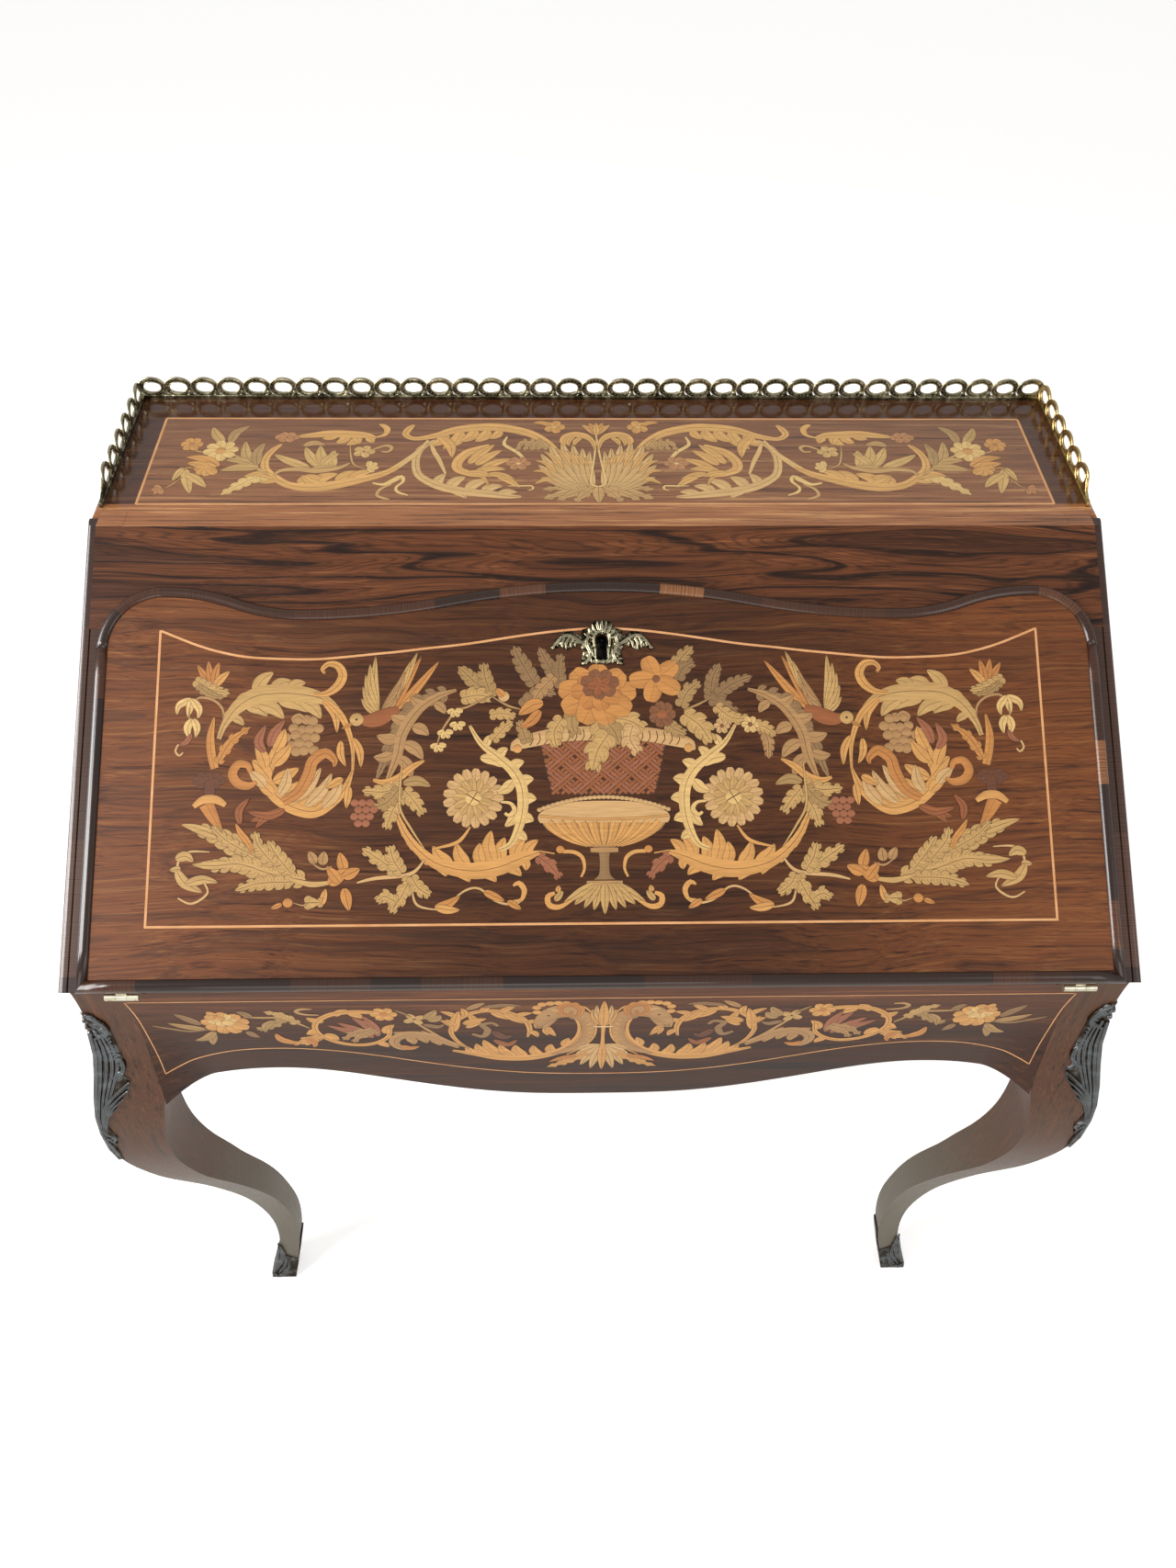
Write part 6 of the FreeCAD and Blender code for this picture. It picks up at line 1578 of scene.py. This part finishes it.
# leaf-shaped sheet on both faces of the arris, its outline as the mount is cast
kneeOutline = ((1.0, 0.10), (0.955, 0.36), (0.905, 0.54), (0.84, 0.60), (0.765, 0.68), (0.69, 0.82),
               (0.632, 0.70), (0.60, 0.98), (0.555, 0.97), (0.495, 0.78), (0.445, 0.48), (0.40, 0.24),
               (0.345, 0.17), (0.29, 0.27), (0.24, 0.35), (0.19, 0.24), (0.12, 0.14), (0, 0.07))
knee = {"foot": 446.0, "head": 655.0, "reach": 27.0, "sheet": 0.9, "relief": 2.9, "arris": 1.6,
        "standOff": 30, "sight": 60, "stray": 8}


# w runs from the arris: inwards over the front face if positive, backwards over the side if not
def onKnee(side, end, w, z, up):
    sway, inward = arrisAt(z), 1 if end == "front" else -1
    x, y = desk["halfWidth"] + sway, desk["friezeY"] - sway if end == "front" else desk["backY"] + sway
    if abs(w) < knee["arris"]:
        # over the arris the bronze stands out at an angle
        share = (w / knee["arris"] + 1) / 2
        lean = Vector((side * (1 - share), -inward * share, 0)).normalized()
        corner = Vector((side * (x - max(w, 0)), y + inward * max(-w, 0), z)) * mm
        return corner + lean * up * mm
    if w > 0:
        plain, ahead = Vector((side * (x - w), y, z)) * mm, Vector((0, inward, 0))
    else:
        plain, ahead = Vector((side * x, y - inward * w, z)) * mm, Vector((-side, 0, 0))
    origin = plain - ahead * knee["standOff"] * mm
    hit = legGround[(side, end)].ray_cast(origin, ahead, knee["sight"] * mm)[0]
    if hit is None or (hit - plain).length > knee["stray"] * mm:
        hit = plain
    return hit - ahead * up * mm


def kneeSheet(side, end):
    tall = knee["head"] - knee["foot"]
    rows = []
    for (high, wide), (low, narrow) in zip(kneeOutline, kneeOutline[1:]):
        for k in range(3):
            rows.append((high + (low - high) * k / 3, wide + (narrow - wide) * k / 3))
    rows.append(kneeOutline[-1])
    across = [-1, -0.85, -0.66, -0.46, -0.26, -0.1, 0, 0.1, 0.26, 0.46, 0.66, 0.85, 1]
    points, faces, count = [], [], len(across)
    for up in (0.0, knee["sheet"]):
        for share, reach in rows:
            for u in across:
                rim = 0.6 if abs(u) == 1 and up else 1.0
                points.append(onKnee(side, end, u * reach * knee["reach"], knee["foot"] + share * tall,
                    up * rim))
    total = len(rows) * count
    for i in range(len(rows) - 1):
        for k in range(count - 1):
            a = i * count + k
            faces.append((a, a + 1, a + count + 1, a + count))
            faces.append((total + a, total + a + count, total + a + count + 1, total + a + 1))
        for k in (0, count - 1):
            a = i * count + k
            faces.append((a, a + count, total + a + count, total + a))
    for i in (0, len(rows) - 1):
        for k in range(count - 1):
            a = i * count + k
            faces.append((a, a + 1, total + a + 1, total + a))
    return points, faces


def kneeLeafwork():
    # one face, w inwards and z up from the foot of the mount; the other face is its mirror
    shapes = []
    for w, drift, lift in ((3.2, 0.0, 0.92), (7.2, 1.6, 0.86), (11.0, 3.2, 0.8), (14.4, 4.6, 0.7)):
        shapes += cast([
            (w * 0.75, 178, 1.1), (w, 160, 1.9), (w + drift * 0.4, 140, 2.1), (w * 0.95, 122, 1.9),
            (w * 0.74, 104, 1.6), (w * 0.55, 86, 1.2), (w * 0.36, 66, 0.9), (w * 0.25, 50, 0.5)], lift)
    for w0, z0, w1, z1, half, lift in ((4, 74, 25.4, 124, 2.5, 0.95), (4, 70, 24.4, 114, 2.4, 1.0),
                                       (4, 66, 21, 104, 2.3, 0.9), (3.4, 62, 15.6, 92, 2.0, 0.8)):
        shapes += frond(half, [
            (w0, z0), (w0 + 3, z0 + (z1 - z0) * 0.4), (w0 + (w1 - w0) * 0.55, z0 + (z1 - z0) * 0.72),
            (w1, z1)], lift)
    shapes += cast([
        (12, 128, 1.4), (17, 131, 2.2), (20.6, 138, 2.4), (19.6, 147, 2.4), (15.6, 152, 1.6)], 0.9)
    shapes += boss(2.6, [(19, 134)], 1.0) + boss(2.2, [(20, 144)], 0.9) + boss(2.0, [(17.4, 155)], 0.8)
    for k in range(6):
        shapes += frond(1.5, [(12.5, 150 + 5 * k), (16.5 - k * 0.5, 154 + 5 * k)], 0.8)
    # scroll at the head
    shapes += cast([
        (2.0, 206, 1.6), (6.6, 202, 2.6), (11.4, 194, 2.8), (13.0, 186, 2.6), (9.6, 180, 2.4),
        (5.0, 181, 2.0), (4.4, 187, 1.5)], 1.0)
    shapes += boss(3.0, [(5.4, 196)], 1.0)
    shapes += boss(2.4, [(10.6, 188)], 0.9)
    shapes += frond(2.2, [(1.2, 208), (6, 205), (9, 199)], 0.8)
    shapes += frond(2.4, [(2.0, 176), (8.0, 181), (14.8, 189)], 0.9)
    # hook and tail
    shapes += cast([(1.8, 60, 1.2), (3.4, 54, 1.9), (7.6, 50, 1.9), (8.4, 45, 1.6), (5.2, 41, 1.4)], 0.9)
    shapes += boss(1.9, [(7.4, 48)], 1.0) + frond(1.6, [(1.6, 48), (5.4, 41), (7.6, 36)], 0.8)
    shapes += frond(2.0, [(1.4, 40), (2.8, 24), (1.6, 6)], 0.9)
    return [{**piece, "run": [(x, knee["foot"] + z, h) for x, z, h in piece["run"]]} for piece in shapes]


def buildKnees():
    leaves = kneeLeafwork()
    arris = cast([
        (0, knee["foot"] + z, h) for z, h in ((3, 0.9), (20, 1.5), (44, 1.9), (70, 2.1), (100, 2.4),
        (130, 2.6), (160, 2.6), (184, 2.2))], 0.98)
    arris += boss(3.0, [(0, knee["foot"] + 200)], 0.95) + boss(2.4, [(0, knee["foot"] + 191)], 0.95)
    for side, word in ((-1, "left"), (1, "right")):
        points, faces = kneeSheet(side, "front")
        sheet = makeMesh("sheet", points, faces, darkBronze, smooth=True,
                         marks={"relief": ("FLOAT", [0.1] * len(points))})
        relief = bronzePiece("relief", leaves + flip(leaves) + arris,
                             lambda w, z, up: onKnee(side, "front", w, z, up), darkBronze, knee["relief"])
        piece = joinMeshes("knee_leaf_" + word, [(sheet.data, Matrix()), (relief.data, Matrix())], darkBronze)
        bpy.data.objects.remove(sheet)
        bpy.data.objects.remove(relief)
        finishPiece(piece, "case", "dark_bronze", "knee_mount_" + word)


buildKnees()

# Leafwork cast on each shoe, over the plain cup that holds the foot
def buildShoes():
    shapes = frond(3.2, [(0.6, 12), (4.2, 34), (1.0, 62)], 0.8) + frond(2.8, [(4, 8), (9.4, 24), (6.2, 44)],
        0.8)
    shapes += frond(2.6, [(8, 6), (14, 16), (12.4, 31)], 0.75)
    shapes += cast([
        (1.6, 3, 1.6), (6, 2.6, 2.2), (11, 4.6, 2.4), (14.6, 9.6, 2.2), (12.4, 14.0, 1.8), (8.6, 12.6, 1.4)],
        1.0)
    shapes += cast([(0, 50, 1.4), (4.6, 47, 1.8), (7.4, 41, 1.4)], 0.9) + boss(2.2, [(10.6, 9.4)], 1.0)
    toe = boss(3.4, [(0, 6.0)], 1.3) + cast([(0, 10, 1.6), (0, 30, 2.0), (0, 54, 1.2)], 0.95)
    for side, word in ((-1, "left"), (1, "right")):
        for end in ("front", "rear"):
            piece = bronzePiece("shoe_leaf_" + end + "_" + word, shapes + flip(shapes) + toe,
                                lambda w, z, up: onKnee(side, end, w, z, up + 1.5), darkBronze, 1.5)
            finishPiece(piece, "case", "dark_bronze")


buildShoes()

# Winged keyhole plate, right half in mm across the fall and up its slope, then turned over
plate = {"foot": 236.0, "height": 35.0, "half": 38.0, "keyhole": 256.0, "radius": 4.6, "slotHalf": 3.6,
         "slotLong": 15.0, "sheet": 0.8, "relief": 2.6,
         "outline": ((0.0, 0.04), (0.20, 0.10), (0.42, 0.0), (0.37, 0.30), (0.42, 0.47), (0.56, 0.45),
                     (0.68, 0.33), (0.78, 0.43), (1.0, 0.37), (0.90, 0.58), (0.74, 0.75), (0.58, 0.76),
                     (0.42, 0.65), (0.38, 0.80), (0.22, 0.85), (0.15, 0.98), (0.0, 1.0))}


def plateSheet():
    half = [(x * plate["half"], plate["foot"] + share * plate["height"]) for x, share in plate["outline"]]
    outer = half + [(-x, s) for x, s in half[-2:0:-1]]
    start = math.asin(plate["slotHalf"] / plate["radius"])
    hole = [(plate["radius"] * math.sin(angle), plate["keyhole"] - plate["radius"] * math.cos(angle))
            for angle in (start + (2 * math.pi - 2 * start) * k / 20 for k in range(21))]
    hole += [(-plate["slotHalf"], plate["keyhole"] - plate["slotLong"]),
             (plate["slotHalf"], plate["keyhole"] - plate["slotLong"])]
    shape = bmesh.new()
    edges = []
    for loop in (outer, hole):
        ring = [shape.verts.new(onFall(a, s, 0.0)) for a, s in loop]
        edges += [shape.edges.new((ring[i], ring[(i + 1) % len(ring)])) for i in range(len(ring))]
    bmesh.ops.triangle_fill(shape, edges=edges, use_beauty=True)
    grown = bmesh.ops.extrude_face_region(shape, geom=shape.faces[:])
    lift = onFall(0, 0, plate["sheet"]) - onFall(0, 0, 0)
    for vert in grown["geom"]:
        if isinstance(vert, bmesh.types.BMVert):
            vert.co += lift
    return meshFrom(shape, "plate_sheet")


def buildPlate():
    right = cast([(5.4, 250, 1.0), (5.9, 254, 1.3), (5.6, 259, 1.5), (3.4, 261.8, 1.5), (0, 262.6, 1.5)], 0.9)
    right += cast([(5.0, 241, 0.9), (4.9, 245, 1.0), (5.3, 250, 1.0)], 0.9)
    right += lifted(spray("dark", [(1.6, 262, 3.4, 270.6, 1.7), (4.0, 261, 7.4, 268.0, 1.6),
                                   (6.2, 259.5, 10.2, 264.8, 1.6), (7.2, 257, 13.2, 260.6, 1.7)], 0.6), 0.9)
    # wing: arched stem with feathers that hang from it
    right += cast([
        (9.0, 252.2, 1.6), (14.0, 252.8, 1.7), (19.5, 256.6, 1.8), (25.6, 259.2, 1.8), (31.0, 257.0, 1.6),
        (34.6, 252.4, 1.3), (37.2, 249.2, 0.9)], 1.0)
    right += lifted(spray("dark", [
        (17.6, 254.4, 19.8, 250.4, 1.3), (20.4, 256.2, 23.0, 249.6, 1.5), (24.0, 257.8, 26.6, 248.2, 1.6),
        (27.4, 257.6, 29.4, 249.0, 1.5), (30.6, 256.0, 33.2, 250.6, 1.4),
        (15, 253, 20.6, 254.2, 1.2)], 1.2, 0.8), 0.8)
    right += boss(1.5, [(36.6, 249.6)], 1.0) + boss(1.2, [(13.4, 250.0)], 0.9)
    # skirt: leafy columns that turn out at the foot
    right += cast([
        (9.4, 259, 1.4), (11.4, 255, 1.8), (10.6, 250, 1.9), (8.6, 246, 1.8), (9.4, 241.6, 1.8),
        (12.6, 238.4, 1.6), (15.0, 237.0, 0.9)], 0.95)
    right += lifted(spray("dark", [
        (7.6, 249, 6.2, 242.0, 1.3), (8.4, 243, 7.6, 237.8, 1.4), (10.6, 241, 11.6, 236.8, 1.2),
        (9.6, 247, 13.4, 244.0, 1.4), (10.4, 252, 14.6, 248.4, 1.4), (6.4, 240, 3.0, 237.6, 1.3),
        (5.0, 241, 1.4, 238.4, 1.2)], 0.5), 0.85)
    right += boss(1.4, [(8.2, 262.6), (13.6, 241.2)], 0.9)
    middle = frond(2.0, [(0, 262.5), (0, 266), (0, 271)], 1.0)
    middle += cast([(-4.6, 239.6, 1.0), (0, 238.8, 1.3), (4.6, 239.6, 1.0)], 0.9)
    relief = bronzePiece("plate_relief", right + flip(right) + middle, onFall, giltBronze, plate["relief"])
    sheet = plateSheet()
    sheet.attributes.new("relief", "FLOAT", "POINT")
    piece = joinMeshes("keyhole_leafwork", [(sheet, Matrix()), (relief.data, Matrix())], giltBronze)
    bpy.data.objects.remove(relief)
    finishPiece(piece, "fall", "gilt_bronze", "keyhole_plate")


# drum and pin of the lock, seen down the keyhole, made near black as painted shade for the dark inside of the
# lock: depth and radius of its rings, and its stop
drumRings = ((0.2, 0), (0.2, plate["radius"] - 0.1), (1.0, plate["radius"] - 0.1), (1.0, 1.5), (5.4, 1.5),
             (6.2, 1.0), (6.2, 0))
drumStop = {"half": 3.4, "foot": 0.2, "head": -2.0, "from": 5.2, "to": 5.6}


def buildDrum():
    points, n = [], 24
    for out, radius in drumRings:
        for k in range(n):
            angle = 2 * math.pi * k / n
            points.append(onSlope(radius * math.cos(angle), plate["keyhole"] + radius * math.sin(angle), out))
    shape = bmesh.new()
    verts = [shape.verts.new(point) for point in points]
    for face in tubeFaces(len(drumRings), n, capped=False):
        shape.faces.new([verts[i] for i in face])
    bmesh.ops.remove_doubles(shape, verts=shape.verts, dist=1e-6)
    bmesh.ops.dissolve_degenerate(shape, edges=shape.edges, dist=1e-7)
    bmesh.ops.recalc_face_normals(shape, faces=shape.faces)
    half, low = drumStop["half"], plate["keyhole"] - plate["slotLong"] + drumStop["foot"]
    high = plate["keyhole"] + drumStop["head"]
    corners = [shape.verts.new(onSlope(a, s, out)) for out in (drumStop["from"], drumStop["to"])
               for a, s in ((-half, low), (half, low), (half, high), (-half, high))]
    for quad in ((3, 2, 1, 0), (4, 5, 6, 7), (0, 1, 5, 4), (1, 2, 6, 5), (2, 3, 7, 6), (3, 0, 4, 7)):
        shape.faces.new([corners[i] for i in quad])
    bmesh.ops.recalc_face_normals(shape, faces=shape.faces)
    finishPiece(addPiece("lock_drum", meshFrom(shape, "lock_drum"), keyholeShadeMetal), "fall", "lock_steel")


buildPlate()
buildDrum()
print("bronze cast")

# Slotted screw heads on plates that nothing slides over: body, slot, finish, normal, up, places in mm
screws = {"sides": 14, "slotShare": 0.15, "height": 0.36, "rim": 0.2, "inner": 0.78, "seed": 5}
screwSets = [
    ("lock_screws", "fall", "lock_steel", filedSteel, 2.3,
     [((a, s, -7.0), "in") for a in (-29.5, 29.5) for s in (235.5, 266.0)]),
    ("strike_screws", "case", "fitting_brass", polishedBrass, 1.5,
     [((a, 273.0, -7.6), "down") for a in (-18.5, 18.5)]),
    ("lug_screws", "fall", "fitting_brass", polishedBrass, 1.9,
     [((side * 344.5, s, -8.6), "in") for side in (-1, 1) for s in (129.0, 144.5)]),
]


def screwHead(shape, centre, normal, along, radius):
    across = normal.cross(along)

    def ring(outline, share, height):
        return [shape.verts.new(
            centre + (u * along + v * across) * radius * share * mm + normal * height * mm) for u,
            v in outline]

    def solid(rings):
        shape.faces.new(rings[0][::-1])
        shape.faces.new(rings[-1])
        for low, high in zip(rings, rings[1:]):
            for i in range(len(low)):
                k = (i + 1) % len(low)
                shape.faces.new((low[i], low[k], high[k], high[i]))

    n, slot = screws["sides"], screws["slotShare"]
    circle = [(math.cos(2 * math.pi * k / n), math.sin(2 * math.pi * k / n)) for k in range(n)]
    solid([ring(circle, 0.98, -0.02), ring(circle, 0.98, 0.08)])
    for side in (1, -1):
        start = math.asin(slot)
        half = [(side * math.cos(angle), side * math.sin(angle))
                for angle in (start + (math.pi - 2 * start) * k / (n // 2) for k in range(n // 2 + 1))]
        inner = [(u * screws["inner"], side * slot + (v - side * slot) * screws["inner"]) for u, v in half]
        solid([ring(half, 1.0, 0.04), ring(half, 1.0, screws["rim"]), ring(inner, 1.0, screws["height"])])


def buildScrews():
    chance = random.Random(screws["seed"])
    base, sideways = onSlope(0, 0, 0), Vector((1, 0, 0))
    normals = {"in": (onSlope(0, 0, -1) - base).normalized(), "down": (onSlope(0, -1, 0) - base).normalized()}
    for name, body, slot, metal, radius, places in screwSets:
        shape = bmesh.new()
        for place, faces in places:
            normal, turn = normals[faces], chance.uniform(-0.7, 0.7)
            along = math.cos(turn) * sideways + math.sin(turn) * normal.cross(sideways)
            screwHead(shape, onSlope(*place), normal, along, radius)
        bmesh.ops.recalc_face_normals(shape, faces=shape.faces)
        finishPiece(addPiece(name, meshFrom(shape, name), metal), body, slot)


buildScrews()
print("screws driven")


# Camera where the photograph was taken, lamps and floor
def setCamera():
    yaw, pitch, roll = (math.radians(view[key]) for key in ("yaw", "pitch", "roll"))
    ahead = Vector((math.sin(yaw) * math.cos(pitch), math.cos(yaw) * math.cos(pitch), -math.sin(pitch)))
    right = Vector((math.cos(yaw), -math.sin(yaw), 0))
    down = ahead.cross(right)
    across = math.cos(roll) * right + math.sin(roll) * down
    below = -math.sin(roll) * right + math.cos(roll) * down
    turn = Matrix((across, -below, -ahead)).transposed().to_4x4()
    data = bpy.data.cameras.new("camera")
    data.sensor_fit = "VERTICAL"
    data.sensor_height = view["sensor"]
    data.lens = view["lens"]
    data.clip_end = 50
    camera = bpy.data.objects.new("camera", data)
    camera.matrix_world = Matrix.Translation(view["place"]) @ turn
    bpy.context.scene.collection.objects.link(camera)
    bpy.context.scene.camera = camera


lamps = {
    "windowLamp": {"place": (-1.9, -0.9, 2.3), "target": (-0.1, -0.1, 0.7), "size": 0.8, "watts": 36},
    "fillLamp": {"place": (1.9, -1.7, 1.9), "target": (0.1, -0.1, 0.6), "size": 1.6, "watts": 15},
    "lowLamp": {"place": (-0.3, -2.6, 0.9), "target": (0.0, -0.2, 0.5), "size": 1.4, "watts": 11},
    # shows only as a shine along whatever faces left
    "sideLamp": {"place": (-2.3, -0.1, 1.35), "target": (-0.3, -0.1, 0.8), "size": 1.5, "watts": 70,
                 "shineOnly": True},
    "backLamp": {"place": (0.5, 2.6, 0.8), "target": (0.0, 0.2, 0.5), "size": 1.2, "watts": 12},
}


def setLamps():
    for name, lamp in lamps.items():
        data = bpy.data.lights.new(name, "AREA")
        data.size = lamp["size"]
        data.energy = lamp["watts"]
        piece = bpy.data.objects.new(name, data)
        piece.visible_diffuse = not lamp.get("shineOnly", False)
        aim = Vector(lamp["target"]) - Vector(lamp["place"])
        piece.matrix_world = (Matrix.Translation(lamp["place"])
                              @ aim.to_track_quat("-Z", "Y").to_matrix().to_4x4())
        bpy.context.scene.collection.objects.link(piece)
    world = bpy.data.worlds.new("studio")
    bpy.context.scene.world = world
    world.use_nodes = True
    tree = world.node_tree
    tree.nodes.clear()
    ray = addNode(tree, "ShaderNodeLightPath").outputs
    seen = maths(tree, "MAXIMUM", ray["Is Camera Ray"], ray["Is Transmission Ray"])
    back = addNode(tree, "ShaderNodeBackground", {
        "Color": (1, 1, 1, 1), "Strength": ranged(tree, seen, 0.0, 1.0, 0.5, 1.0)})
    addNode(tree, "ShaderNodeOutputWorld", {"Surface": back.outputs[0]})


def setFloor():
    material, tree = startMaterial("paleFloor")[:2]
    paint = addNode(tree, "ShaderNodeBsdfDiffuse", {"Color": linear("#e6e4e0")})
    ray = addNode(tree, "ShaderNodeLightPath").outputs
    glow = addNode(tree, "ShaderNodeEmission", {
        "Color": (1, 1, 1, 1), "Strength": ranged(tree, ray["Is Camera Ray"], 0.0, 1.0, 0.0, 0.55)})
    both = addNode(tree, "ShaderNodeAddShader", {0: paint.outputs[0], 1: glow.outputs[0]})
    addNode(tree, "ShaderNodeOutputMaterial", {"Surface": both.outputs[0]})
    mesh = bpy.data.meshes.new("studio_floor")
    mesh.from_pydata([(-6, -6, 0), (6, -6, 0), (6, 6, 0), (-6, 6, 0)], [], [(0, 1, 2, 3)])
    floor = addPiece("studio_floor", mesh, material)


setCamera()
setLamps()
setFloor()
bpy.context.scene.view_settings.view_transform = "Standard"
print("stage set")
